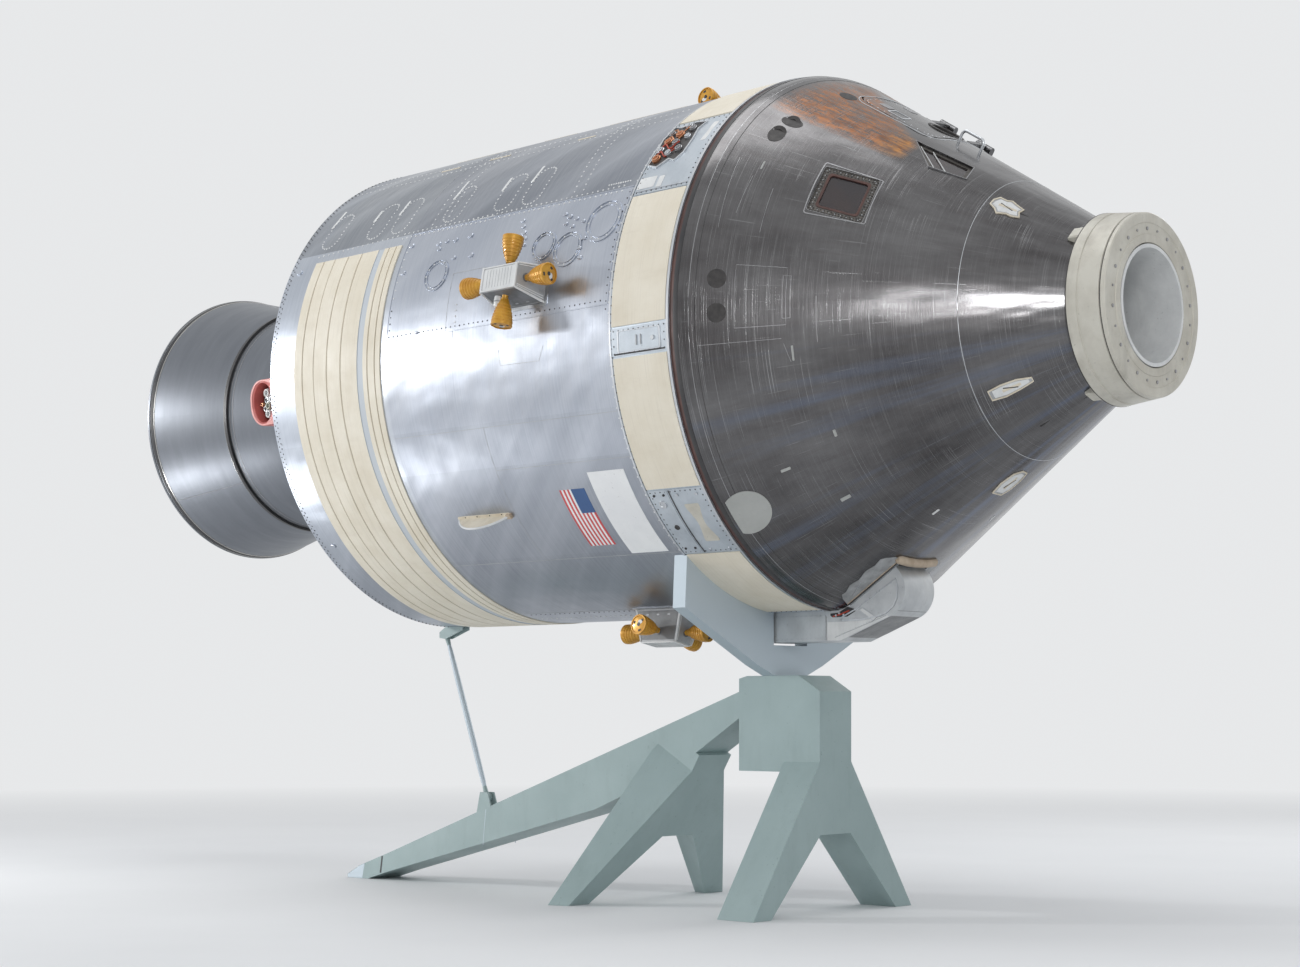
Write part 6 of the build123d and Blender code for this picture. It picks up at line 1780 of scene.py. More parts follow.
@dataclass
class CrewModule:
    """Cone of the crew module with its windows, hatch, thrusters and fittings."""

    frame: dict[str, Any]
    craft: CraftOutline
    # Round thruster ports: station, bearing, lean round the craft in degrees
    ports: Rows = (
        (4.655, 6.8, 0), (4.660, -0.5, 0), (4.712, 46.5, 20), (4.735, 51.5, 20), (4.764, 73.0, 0),
    )
    # Scribed lines: station and bearing of both ends
    scribed: Rows = (
        (4.55, -7.0, 5.02, -7.2), (4.72, 32.0, 4.70, 22.0), (4.86, 30.0, 4.86, 18.0),
        (5.03, -8.5, 5.06, -13.0), (4.60, 36.0, 4.62, 18.0), (5.22, 3.0, 5.22, -9.0),
    )
    # Small pale marks: station, bearing, length, width
    marks: Rows = (
        (4.745, 35.5, 0.012, 0.075), (5.075, -11.0, 0.014, 0.10), (4.86, -38.0, 0.07, 0.020),
        (5.20, -33.5, 0.020, 0.05), (5.08, -52.0, 0.075, 0.028), (5.40, -75.0, 0.06, 0.02),
    )

    def build(self) -> None:
        """Dress the cone and add its fittings."""
        paint(self.frame, Look.HULL, "heat_shield", "crew_shell", "side_hatch", "forward_cover")
        paint(self.frame, Look.GLASS, "hatch_window", "side_windows", "rendezvous_windows")
        paint(self.frame, Look.STUDDED, "window_frames")
        paint(self.frame, Look.HINGE, "hinge_brackets", "hatch_arms")
        paint(self.frame, Look.BARE, "handrail")
        paint(self.frame, Look.DISC, "disc_cover")
        self.lines()
        self.windows()
        self.thrusters()
        self.covers()
        self.hatch()
        self.rim()

    def hoop(self, form: Form, station: float, half: float, rise: float, look: Look) -> None:
        """Low line all the way round the cone."""
        path = [(station, 3.0 * i) for i in range(120)]
        form.bead(self.craft.cone, path, (half, 0.1), rise, look, True)

    def rim(self) -> None:
        """Dark step and bright line at the edge of the heat shield."""
        form = Form()
        self.hoop(form, 4.500, 0.0020, 0.0008, Look.STEEL)
        self.hoop(form, 4.536, 0.0025, 0.0010, Look.SOOT)
        form.piece("shield_lines", "craft", "capsule_metal")

    def lines(self) -> None:
        """Scribed panel lines, tape marks and the cover's seam."""
        form, cone = Form(), self.craft.cone
        self.hoop(form, self.craft.cover_seam, 0.0018, 0.0010, Look.BARE)
        doors = (oblong(4.759, -4.0, 5.05, 10.0), oblong(5.03, -2.4, 5.075, 8.0))
        for centre, side in ((0, 1), (180, -1)):
            for door in doors:
                path = split_runs([(x, centre + side * b) for x, b in door], 3.0, True)
                form.bead(cone, path, (0.0012, 0.05), 0.0008, Look.STEEL, True)
            for ax, ay, bx, by in self.scribed:
                ends = [(ax, centre + side * ay), (bx, centre + side * by)]
                form.bead(cone, split_runs(ends, 2.0, False), (0.0012, 0.05), 0.0009, Look.STEEL)
            for station, bearing, length, width in self.marks:
                patch = self.craft.cone_patch(station, centre + side * bearing)
                look = Look.WHITE if bearing == -75.0 else Look.DISC
                form.plate(patch, round_corners(length, width, 0.004), -0.001, 0.0016, look, 0, 1)
        form.piece("hull_lines", "craft", "capsule_metal")

    def windows(self) -> None:
        """Polished edges, studs, seals and sight lines of the four windows."""
        form = Form()
        heads, bright = Rivets(0.0055, 0.0035, Look.SOOT), Rivets(0.0045, 0.0030, Look.BARE)
        for bearing in (33.5, 146.5):
            flat = self.craft.cone_flat(5.250, bearing)
            edge = split_runs(round_corners(0.424, 0.424, 0.014, 2), 0.05, True)
            form.bead(self.craft.cone_patch(5.250, bearing), edge, 0.005, 0.0026, Look.STEEL, True)
            lining, seal = round_corners(0.398, 0.398, 0.019, 3), round_corners(0.304, 0.304, 0.026, 4)
            form.ring_plate(flat, lining, 0.985, -0.017, -0.0105, Look.STEEL)
            form.ring_plate(flat, seal, 0.270 / 0.304, -0.036, -0.0135, Look.BROWN_SEAL)
            for kind, size, pitch in (
                (heads, 0.372, 0.021), (heads, 0.330, 0.026), (bright, 0.350, 0.043),
            ):
                kind.row(flat, round_corners(size, size, 0.012, 1), pitch, True, -0.0155)
        for bearing, side in ((63.0, 1), (117.0, -1)):
            flat = self.craft.cone_flat(5.590, bearing)
            corners = [(-0.258, 0.092), (0.212, 0.088), (0.262, -0.100), (0.0, -0.162)]
            outline = split_runs([(x, side * y) for x, y in corners], 0.06, True)
            form.ring_plate(flat, outline, 1.035, -0.014, 0.0015, Look.STEEL)
            for ax, ay, bx, by in ((-0.205, 0.070, 0.030, -0.132), (-0.105, 0.072, 0.110, -0.112)):
                line = [(ax, side * ay), (bx, side * by)]
                form.bead(flat, line, 0.0032, -0.013, Look.WHITE, low=-0.020)
        form.piece("window_surrounds", "craft", "frame_dark")
        heads.piece("window_studs", "craft", "frame_dark")
        bright.piece("window_screws", "craft", "frame_dark")

    def thrusters(self) -> None:
        """Dark flush discs with a deep hole, on both sides of the cone."""
        form = Form()
        pad = [
            (-0.055, 0.002), (-0.055, 0.0555), (-0.0035, 0.0555), (-0.0015, 0.0530),
            (-0.0015, 0.0235), (-0.0060, 0.0205), (-0.050, 0.0145), (-0.050, 0.002),
        ]
        hole = [
            (-0.054, 0.001), (-0.054, 0.0190), (-0.0065, 0.0208), (-0.0065, 0.0160),
            (-0.045, 0.0105), (-0.045, 0.001),
        ]
        for station, bearing, lean in self.ports:
            for side, turn in ((1, bearing), (-1, 180 - bearing)):
                flat, patch = self.craft.cone_flat(station, turn), self.craft.cone_patch(station, turn)
                centre, lower = flat(0, 0, 0), radians(lean) * side
                along, around, out = (flat(*step) - centre for step in UNIT_STEPS)
                out = (out * cos(lower) - around * sin(lower)).normalized()
                frame = flat_place(centre, along, out.cross(along), out)
                form.turned(frame, pad, Look.SCORCHED, 32)
                form.turned(frame, hole, Look.BLACK, 20)
                if not lean:
                    form.plate(patch, ellipse(0.132, 0.132, 32), -0.004, 0.0014, Look.SCORCHED, 0.001, 2)
                    continue
                long, wide, slip = (0.118, 0.170, -0.024) if bearing < 50 else (0.160, 0.110, -0.006)
                oval = ellipse(long, wide, 28)
                form.plate(patch, shifted(oval, 0, side * slip), -0.004, 0.0016, Look.SCORCHED, 0.001, 2)
                arc = [(x * 0.80, y * 0.80 + side * slip) for x, y in oval[4:13]]
                form.bead(patch, arc, 0.0035, 0.0030, Look.STEEL)
        form.piece("hull_thrusters", "craft", "frame_dark", ["crew_thrusters"])

    def covers(self) -> None:
        """White fittings in shallow wells with torn foil edges."""
        form = Form()
        torn = [
            (-0.110, 0.030), (-0.085, 0.075), (-0.030, 0.070), (0.000, 0.088), (0.060, 0.060),
            (0.105, 0.045), (0.090, 0.000), (0.112, -0.050), (0.060, -0.066), (0.020, -0.060),
            (-0.040, -0.082), (-0.070, -0.045), (-0.112, -0.020),
        ]
        canoe = [
            (-0.145, -0.030), (-0.150, 0.034), (-0.060, 0.044), (0.050, 0.040), (0.148, 0.012),
            (0.150, -0.020), (0.060, -0.036), (-0.050, -0.044),
        ]
        lower = [
            (-0.130, -0.050), (-0.120, 0.060), (-0.020, 0.085), (0.090, 0.070), (0.135, 0.010),
            (0.120, -0.060), (0.030, -0.085), (-0.070, -0.080),
        ]
        for station, bearing, spots in (
            (6.125, 50.0, torn), (6.125, 130.0, torn), (6.200, -41.0, canoe), (6.200, 221.0, canoe),
            (5.780, -90.0, lower),
        ):
            patch = self.craft.cone_patch(station, bearing)
            form.plate(patch, spots, -0.010, 0.0030, Look.PANEL_GREY, 0.0, 2)
            form.bead(patch, spots, 0.006, 0.0075, Look.IVORY, True, -0.006)
            inner = [(x * 0.84, y * 0.80) for x, y in spots]
            form.plate(patch, inner, 0.0, 0.0065, Look.WHITE, 0.003, 2)
            form.block(patch, (-0.060, -0.008, 0.0), (0.070, 0.012, 0.0078), Look.IVORY, 0.002)
            bar = [patch(-0.05 + 0.012 * i, 0.02 - 0.004 * i, 0.006) for i in range(9)]
            form.tube(bar, 0.0042, Look.SOOT, 6)
        form.piece("hull_covers", "craft", "cover_white", ["skin_covers"])

    def hatch(self) -> None:
        """Seal round the hatchway, the hatch's window ring, vent and latch covers."""
        edge, lid = Form(), Form()
        patch, flat = self.craft.cone_patch(5.100, 90.0), self.craft.cone_flat(5.100, 90.0)
        way = split_runs(round_corners(0.762, 0.882, 0.118, 6), 0.06, True)
        edge.bead(patch, way, 0.004, 0.002, Look.BARE, True)
        edge.piece("hatchway_rim", "craft", "capsule_metal")
        inner = split_runs(round_corners(0.690, 0.810, 0.09, 6), 0.06, True)
        lid.bead(patch, inner, 0.003, 0.0015, Look.STEEL, True)
        pane = flat_place(flat(0.175, 0, 0), *(flat(*step) - flat(0, 0, 0) for step in UNIT_STEPS))
        bezel = [
            (-0.024, 0.114), (0.000, 0.114), (0.004, 0.120), (0.004, 0.138), (0.000, 0.144),
            (-0.020, 0.144),
        ]
        lid.turned(pane, bezel, Look.SCORCHED, 48, wrap=True)
        for y in (-0.26, 0.0, 0.26):
            box = shifted(round_corners(0.10, 0.07, 0.012), -0.20, y)
            lid.plate(patch, box, -0.002, 0.0035, Look.STEEL, 0.0015, 2)
        vent = shifted(round_corners(0.16, 0.11, 0.02), -0.05, -0.30)
        lid.ring_plate(patch, vent, 0.8, -0.002, 0.003, Look.BARE)
        lid.piece("hatch_fittings", "hatch", "capsule_metal")
        heads = Rivets(0.005, 0.0016, Look.BARE)
        heads.row(patch, round_corners(0.650, 0.770, 0.08), 0.06, True)
        heads.piece("hatch_screws", "hatch", "capsule_metal")


@dataclass
class DockingEnd:
    """Cream collar, tunnel and inner hatch at the nose."""

    frame: dict[str, Any]
    craft: CraftOutline
    # Closed profile of the collar: station and radius
    profile: tuple[Spot, ...] = (
        (6.626, 0.410), (6.626, 0.640), (6.632, 0.6435), (6.700, 0.6345), (6.704, 0.6280),
        (6.716, 0.6265), (6.720, 0.6320), (6.855, 0.6155), (6.858, 0.6060), (6.866, 0.6050),
        (6.869, 0.6138), (6.892, 0.6110), (6.8995, 0.6030), (6.8995, 0.5450), (6.893, 0.5400),
        (6.893, 0.4700), (6.8995, 0.4650), (6.8995, 0.4150), (6.890, 0.4100),
    )
    # Dark grooves round it: first and last station, depth
    grooves: Rows = ((6.6262, 6.632, 0.0008), (6.7035, 6.7165, -0.0072), (6.8568, 6.8672, -0.0085))

    def build(self) -> None:
        """Dress the nose."""
        paint(self.frame, Look.WHITE, "docking_tunnel", "tunnel_hatch")
        self.collar()
        self.hatch()

    def collar(self) -> None:
        """Grooved collar with bolts on its face, and three brackets with their rods."""
        form, axis = Form(), self.craft.lathe()
        form.turned(axis, self.profile, Look.CREAM, 96, wrap=True)
        for low, high, rise in self.grooves:
            first, last = (0.6435 - (station - 6.632) * 0.1246 for station in (low, high))
            groove = [(low, first - 0.02), (low, first + rise), (high, last + rise), (high, last - 0.02)]
            form.turned(axis, groove, Look.SOOT, 96, wrap=True)
        for bolt in range(24):
            frame = frame_along(self.craft.point(6.889, 15.0 * bolt + 7.5, 0.505), FORWARD)
            size = 0.013 if bolt % 2 else 0.009
            form.stud(frame, (0.0, size), (0.0095, size * 0.9), Look.STEEL, 10, 0.001)
        for bearing in (48.0, 168.0, 288.0):
            frame = self.craft.tangent(6.63, bearing, 0.555)
            form.block(frame, (-0.10, -0.055, -0.02), (0.0, 0.055, 0.075), Look.CREAM, 0.012)
            rod = [frame(-0.10, 0, 0.05), frame(-0.30, 0.02, 0.17), frame(-0.42, 0.03, 0.262)]
            form.tube(rod, 0.006, Look.SOOT, 8)
        form.piece("collar", "craft", "collar_cream", ["docking_collar"])

    def hatch(self) -> None:
        """Dished hatch at the tunnel's inner end, with a hub and six spokes."""
        form, face = Form(), self.craft.lathe(5.900)
        dish = [(-0.001, 0.002), (-0.001, 0.36), (0.008, 0.35), (0.012, 0.30), (0.012, 0.002)]
        hub = [(0.010, 0.07), (0.045, 0.06), (0.045, 0.03), (0.010, 0.03)]
        form.turned(face, dish, Look.WHITE, 48)
        form.turned(face, hub, Look.STEEL, 32, wrap=True)
        for turn in (pi / 3 * spoke for spoke in range(6)):
            ends = ((0.07, 0.02), (0.30, 0.014))
            path = [face(reach * cos(turn), reach * sin(turn), rise) for reach, rise in ends]
            form.tube(path, 0.010, Look.BARE, 8)
        form.piece("tunnel_hatch_fittings", "craft", "tunnel_white")


@dataclass
class Cabin:
    """Couches, instrument panel and floor inside the crew module."""

    frame: dict[str, Any]
    craft: CraftOutline
    pitch: float = 0.600
    width: float = 0.500

    def build(self) -> None:
        """Make the pads and dress the panel."""
        paint(self.frame, Look.CABIN, "cabin_floor", "instrument_panel")
        self.couches()
        self.panel()

    def pad(self, form: Form, low: Vector, high: Vector, side: Vector, thick: float) -> None:
        """Crowned cushion between two ends, with sewn channels across it.

        Args:
            form: what the cushion is added to.
            low: middle of its first end.
            high: middle of its second end.
            side: half of its width, as a vector.
            thick: its thickness in the middle.
        """
        along = high - low
        out = along.cross(side).normalized()
        rows = []
        across, steps = 32, 24
        for step in range(steps + 1):
            share = step / steps
            crown = (max(0.0, 1 - (2 * share - 1) ** 8)) ** 0.5
            channel = 1 - 0.22 * max(0.0, cos(share * 10 * pi)) ** 6
            pull = 1 - 0.03 * sin(share * pi)
            row = []
            for turn in (2 * pi * spot / across for spot in range(across)):
                wide, tall = cos(turn), sin(turn)
                wide = (abs(wide) ** 0.35) * (1 if wide > 0 else -1)
                tall = (abs(tall) ** 0.6) * (1 if tall > 0 else -1)
                edge = side * wide * pull * (0.94 + 0.06 * crown)
                rise = out * (tall * thick / 2 * (0.12 + 0.88 * crown) * channel)
                row.append(low + along * share + edge + rise)
            rows.append(row)
        form.lattice(rows, Look.COUCH)

    def couches(self) -> None:
        """Three couches: padded cushions on a tube frame."""
        back, seat = 4.800, 5.258
        pads, frames = Form(), Form()
        for place in (-self.pitch, 0.0, self.pitch):

            def at(station: float, height: float, across: float = 0.0) -> Vector:
                """Place at a station and a height from the craft's axis, on this couch."""
                return Vector((RIM_X + station, place + across, CRAFT_AXIS + height))

            half = Vector((0, self.width / 2 - 0.02, 0))
            self.pad(pads, at(back + 0.045, -0.36), at(back + 0.045, 0.47), half, 0.078)
            self.pad(pads, at(back + 0.045, 0.50), at(back + 0.045, 0.735), half * 0.62, 0.070)
            self.pad(pads, at(back + 0.06, -0.385), at(seat - 0.03, -0.385), half, 0.070)
            self.pad(pads, at(seat - 0.06, -0.42), at(back + 0.30, -0.83), half * 0.9, 0.060)
            for shift in (-0.245, 0.245):
                path = [
                    at(back + 0.008, 0.72, shift * 0.7), at(back + 0.008, 0.45, shift),
                    at(back + 0.008, -0.42, shift), at(back + 0.36, -0.428, shift),
                    at(back + 0.26, -0.84, shift),
                ]
                frames.tube(path, 0.011, Look.BARE, 10)
            for height in (0.6, -0.3):
                post = flat_place(at(self.craft.corner, height), FAR, UP, FORWARD)
                frames.block(post, (-0.12, -0.028, 0.0), (0.12, 0.028, 0.40), Look.CABIN, 0.004)
        cushions = pads.piece("couch_pads", "craft", "couch_fabric", ["crew_couches"], 60.0)
        frames.piece("couch_frames", "craft", "hinge_steel")

    def panel(self) -> None:
        """Rows of dials, switches and guards on the instrument panel's aft face."""
        form = Form()
        centre = Vector((RIM_X + 5.420, 0, CRAFT_AXIS + 0.16))
        face = flat_place(centre, FAR, UP, -FORWARD)
        for column in range(-9, 10):
            for row in range(5):
                frame = flat_place(face(column * 0.105, -0.20 + row * 0.10, 0), FAR, UP, -FORWARD)
                kind = (column * 3 + row * 5) % 7
                if kind in (0, 3):
                    form.stud(frame, (-0.002, 0.036), (0.010, 0.036), Look.SOOT, 20, 0.030)
                    form.stud(frame, (0.0, 0.028), (0.0085, 0.028), Look.DIAL, 20)
                elif kind == 5:
                    form.block(frame, (-0.042, -0.032, -0.002), (0.042, 0.032, 0.008), Look.SOOT)
                    form.block(frame, (-0.034, -0.024, 0.0), (0.034, 0.024, 0.010), Look.DIAL)
                else:
                    tip = 0.008 if (row + column) % 2 else -0.008
                    for x in (-0.026, 0.0, 0.026):
                        low, high = (x - 0.010, -0.03, -0.002), (x + 0.010, 0.03, 0.003)
                        form.block(frame, low, high, Look.BARE, 0.001)
                        form.tube([frame(x, 0, 0.0), frame(x, tip, 0.022)], 0.004, Look.BARE, 6)
        for height in (-0.25 + row * 0.10 for row in range(6)):
            low, high = (-1.0, height - 0.002, -0.002), (1.0, height + 0.002, 0.004)
            form.block(face, low, high, Look.PANEL_GREY, 0.001)
        form.piece("panel_controls", "craft", "cabin_grey")


@dataclass
class UmbilicalHousing:
    """Riveted box that carries cables between the two modules."""

    frame: dict[str, Any]
    craft: CraftOutline
    half: float = 0.180
    # Distance from the axis at which gaps beside the box are measured
    cone_reach: float = 1.7
    # Panel on each side of the nose: station and height from the axis
    panel: tuple[Spot, ...] = (
        (4.570, -1.948), (4.455, -1.998), (4.455, -2.024), (4.620, -2.022), (4.760, -2.002),
        (4.850, -1.978), (4.915, -1.930), (4.945, -1.870), (4.950, -1.800), (4.930, -1.735),
    )
    # Pale band below the panel
    band: tuple[Spot, ...] = (
        (4.315, -2.168), (4.440, -2.168), (4.610, -2.103), (4.872, -2.006), (4.862, -1.996),
        (4.760, -2.012), (4.600, -2.030), (4.450, -2.032), (4.315, -2.032),
    )
    # Black plate of painted shade for the opening under the cone's rim where the cables enter
    entry_shade: tuple[Spot, ...] = (
        (4.345, -1.985), (4.365, -1.998), (4.50, -1.996), (4.575, -1.958), (4.56, -1.940),
        (4.50, -1.925), (4.42, -1.965), (4.345, -1.970),
    )
    # Underside of the nose, covered by a dark plate of painted shade
    under: tuple[Spot, ...] = (
        (4.470, -2.1575), (4.600, -2.1125), (4.740, -2.0585), (4.878, -2.0060), (4.945, -1.965),
        (4.985, -1.915), (5.004, -1.860),
    )
    # How far the torn plate on the cone reaches, at even steps along the box
    wavy: tuple[float, ...] = (
        0.010, 0.085, 0.130, 0.124, 0.140, 0.158, 0.150, 0.138, 0.146, 0.160, 0.168, 0.160, 0.150,
        0.158, 0.166, 0.130, 0.060,
    )

    def build(self) -> None:
        """Dress the box and add its side panels, plates and rivets."""
        paint(self.frame, Look.UMBILICAL, "umbilical_housing")
        form, heads = Form(), Rivets(0.0055, 0.003, Look.BARE)
        for side in (-1, 1):
            self.flank(form, heads, side)
        form.piece("umbilical_panels", "craft", "umbilical_metal")
        heads.piece("umbilical_rivets", "craft", "umbilical_metal")
        self.top()

    def flank(self, form: Form, heads: Rivets, side: int) -> None:
        """Panels, plates, cables and rivets on one side of the box."""
        out = FAR * side
        face = flat_place(Vector((RIM_X, side * self.half, CRAFT_AXIS)), FORWARD, UP, out)
        panel = split_runs(self.panel, 0.05, True)
        form.plate(face, panel, -0.001, 0.0035, Look.UMBILICAL, 0.0, 2)
        form.bead(face, panel, 0.0065, 0.0070, Look.BARE, True, 0.002)
        heads.row(face, self.panel[3:10], 0.030, False, 0.0035)
        heads.row(face, [(4.60, -1.925), (4.93, -1.752)], 0.038, False, 0.0035)
        heads.row(face, [(4.44, -2.020), (4.82, -2.000)], 0.034, False, 0.0035)
        form.plate(face, self.band, -0.001, 0.0022, Look.WHITE, 0.0, 1)
        heads.row(face, [(4.40, -2.140), (4.850, -1.992)], 0.026, False, 0.002)
        seam = [(4.385, -2.146), (4.850, -1.998)]
        form.bead(face, seam, 0.0022, 0.0040, Look.PANEL_GREY, low=0.001)
        strip = [(4.610, -1.952), (4.640, -1.938), (4.765, -2.012), (4.735, -2.030)]
        form.plate(face, strip, 0.003, 0.0055, Look.WHITE, 0.0, 1)
        form.bead(face, strip, 0.003, 0.0068, Look.BARE, True, 0.003)
        # Painted shade: black plate standing for the dark opening
        form.plate(face, self.entry_shade, 0.001, 0.0045, Look.BLACK, 0.0, 1)
        cable = [(4.37, -1.992), (4.44, -1.978), (4.52, -1.952)]
        form.bead(face, cable, 0.006, 0.008, Look.HARNESS_RED, low=0.003)
        for x, z in ((4.40, -1.985), (4.47, -1.982), (4.43, -1.970)):
            place = flat_place(face(x, z, 0), FORWARD, UP, out)
            form.stud(place, (0.003, 0.009), (0.012, 0.008), Look.BARE, 10, 0.001)
        rear, lower = oblong(3.675, -2.150, 3.775, -1.985), oblong(3.80, -2.150, 4.295, -1.985)
        form.ring_plate(face, split_runs(rear, 0.1, True), 0.90, -0.001, 0.004, Look.BARE)
        heads.row(face, rear, 0.032, True, 0.002)
        form.plate(face, split_runs(lower, 0.1, True), -0.001, 0.0025, Look.UMBILICAL, 0.0, 1)
        heads.row(face, lower, 0.045, True, 0.0025)
        form.bead(face, [(4.305, -2.165), (4.305, -1.99)], 0.003, 0.004, Look.PANEL_GREY, low=0.0)
        for x, z in ((3.70, -2.02), (3.745, -2.05), (3.70, -2.09)):
            place = flat_place(face(x, z, 0), FORWARD, UP, out)
            form.stud(place, (-0.002, 0.012), (0.010, 0.010), Look.SOOT)

    def beside(self, station: float, side: int, gap: float) -> float:
        """Bearing of a place on the cone at a gap beside the box."""
        turn = asin(self.half / self.craft.cone_radius(station)) + gap / self.cone_reach
        return -90 + side * degrees(turn)

    def top(self) -> None:
        """Seals and pale plates on the cone beside the box, a dark plate of painted shade under its nose and
        its tan cap.
        """
        form, cone = Form(), self.craft.cone
        stations = [4.52 + 0.47 * i / 16 for i in range(17)]
        for side in (-1, 1):
            for gap, half, rise, look in (
                (0.006, 0.0050, 0.016, Look.BARE), (0.018, 0.0070, 0.009, Look.SOOT),
                (0.028, 0.0030, 0.008, Look.TAN),
            ):
                line = [(x, self.beside(x, side, gap)) for x in stations]
                form.bead(cone, line, (half, degrees(half / self.cone_reach)), rise, look)
            rows = []
            for x, reach in zip(stations, self.wavy):
                inner, outer = self.beside(x, side, 0.020), self.beside(x, side, 0.024 + reach)
                turns = [inner + (outer - inner) * share for share in (0.0, 0.33, 0.66, 1.0)]
                low = [cone(x, turn, -0.003) for turn in turns]
                rows.append(low + [cone(x, turn, 0.0035) for turn in reversed(turns)])
            form.lattice(rows, Look.PALE_PLATE)
            marks = [(x, self.beside(x, side, gap)) for x, gap in ((4.66, 0.09), (4.72, 0.13), (4.60, 0.06))]
            for line in zip(marks, marks[1:]):
                form.bead(cone, line, (0.002, 0.07), 0.0050, Look.BARE)
        # Dark plate of painted shade over the underside of the nose
        rows = []
        for i, (x, z) in enumerate(self.under):
            ax, az = self.under[max(0, i - 1)]
            bx, bz = self.under[min(len(self.under) - 1, i + 1)]
            size = hypot(bx - ax, bz - az)
            out_x, out_z = (bz - az) / size, -(bx - ax) / size
            ring = []
            for across, lift in ((-0.174, -0.004), (0.174, -0.004), (0.174, 0.0018), (-0.174, 0.0018)):
                place = (RIM_X + x + out_x * lift, across, CRAFT_AXIS + z + out_z * lift)
                ring.append(Vector(place))
            rows.append(ring)
        form.lattice(rows, Look.UNDERSIDE)
        cap = [cone(4.985, -90 + turn, 0.004) for turn in (-8.4, -7.6, -4, 0, 4, 7.6, 8.4)]
        form.tube(cap, [0.020, 0.034, 0.036, 0.036, 0.036, 0.034, 0.020], Look.TAN, 18)
        form.piece("umbilical_plates", "craft", "umbilical_metal")


@dataclass
class MuseumStand:
    """Painted steel stand with its arm, legs, saddle wings and the slim strut."""

    frame: dict[str, Any]
    # Strut's tube: share of the length between its pins, radius
    tube: tuple[Spot, ...] = (
        (0.030, 0.016), (0.075, 0.018), (0.10, 0.021), (0.28, 0.0245), (0.5, 0.025),
        (0.72, 0.0245), (0.90, 0.020), (0.925, 0.017), (0.970, 0.015),
    )
    eye: float = 0.038

    def build(self) -> None:
        """Dress the stand and add seams, straps, toe caps and bolts."""
        paint(self.frame, Look.STAND, "aft_arm", "column", "rear_legs", "front_legs", "strut_brackets")
        paint(self.frame, Look.STAND_PALE, "saddle")
        self.strut()
        self.seams()

    def strut(self) -> None:
        """Tapered tube between two forked ends."""
        low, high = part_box("strut")
        form = Form()
        bottom = Vector((high.x - self.eye, 0, low.z + self.eye))
        top = Vector((low.x + self.eye, 0, high.z - self.eye))
        length, way = (top - bottom).length, (top - bottom).normalized()
        path = [bottom + way * length * share for share, _ in self.tube]
        form.tube(path, [radius for _, radius in self.tube], Look.STAND_PALE, 20)
        ring = [(-0.027, 0.0125), (-0.027, 0.036), (-0.024, 0.038), (0.024, 0.038), (0.027, 0.036),
                (0.027, 0.0125)]
        for pin in (bottom, top):
            frame = flat_place(pin, FORWARD, UP, -FAR)
            form.turned(frame, ring, Look.STAND, 28, wrap=True)
            for low, high in ((-0.042, -0.0425), (0.042, 0.0425)):
                form.turned(frame, [(low, 0.002), (low, 0.019), (high, 0.019), (high, 0.002)],
                            Look.STEEL, 6)
        form.tube([bottom + way * 0.015, bottom + way * 0.11], [0.024, 0.017], Look.STAND, 16)
        form.tube([top - way * 0.10, top - way * 0.015], [0.017, 0.024], Look.STAND, 16)
        form.piece("stand_strut", "craft", "stand_pale", ["strut"])

    def seams(self) -> None:
        """Weld seams, the dark strap, toe caps and bolts."""
        form = Form()
        toe = [(-1.165, 0.002), (-1.165, 0.028), (-1.0, 0.112), (-0.93, 0.135), (-0.965, 0.002)]
        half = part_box("aft_arm")[1].y
        for side in (-1, 1):
            face = flat_place(Vector((RIM_X, side * half, 0)), FORWARD, UP, FAR * side)
            form.bead(face, [(0.62, 0.365), (0.655, 0.668)], 0.003, 0.0010, Look.STAND_PALE)
            form.bead(face, [(-0.715, 0.062), (-0.690, 0.212)], 0.011, 0.0016, Look.BLACK)
            form.plate(face, toe, -0.001, 0.0012, Look.STAND_PALE, 0.0, 1)
            for x, z in ((2.52, 1.22), (2.58, 1.245), (1.05, 0.72), (1.8, 0.90)):
                place = flat_place(face(x, z, 0), FORWARD, UP, FAR * side)
                form.stud(place, (-0.002, 0.016), (0.001, 0.015), Look.STAND)
        form.piece("stand_seams", "craft", "stand_paint")


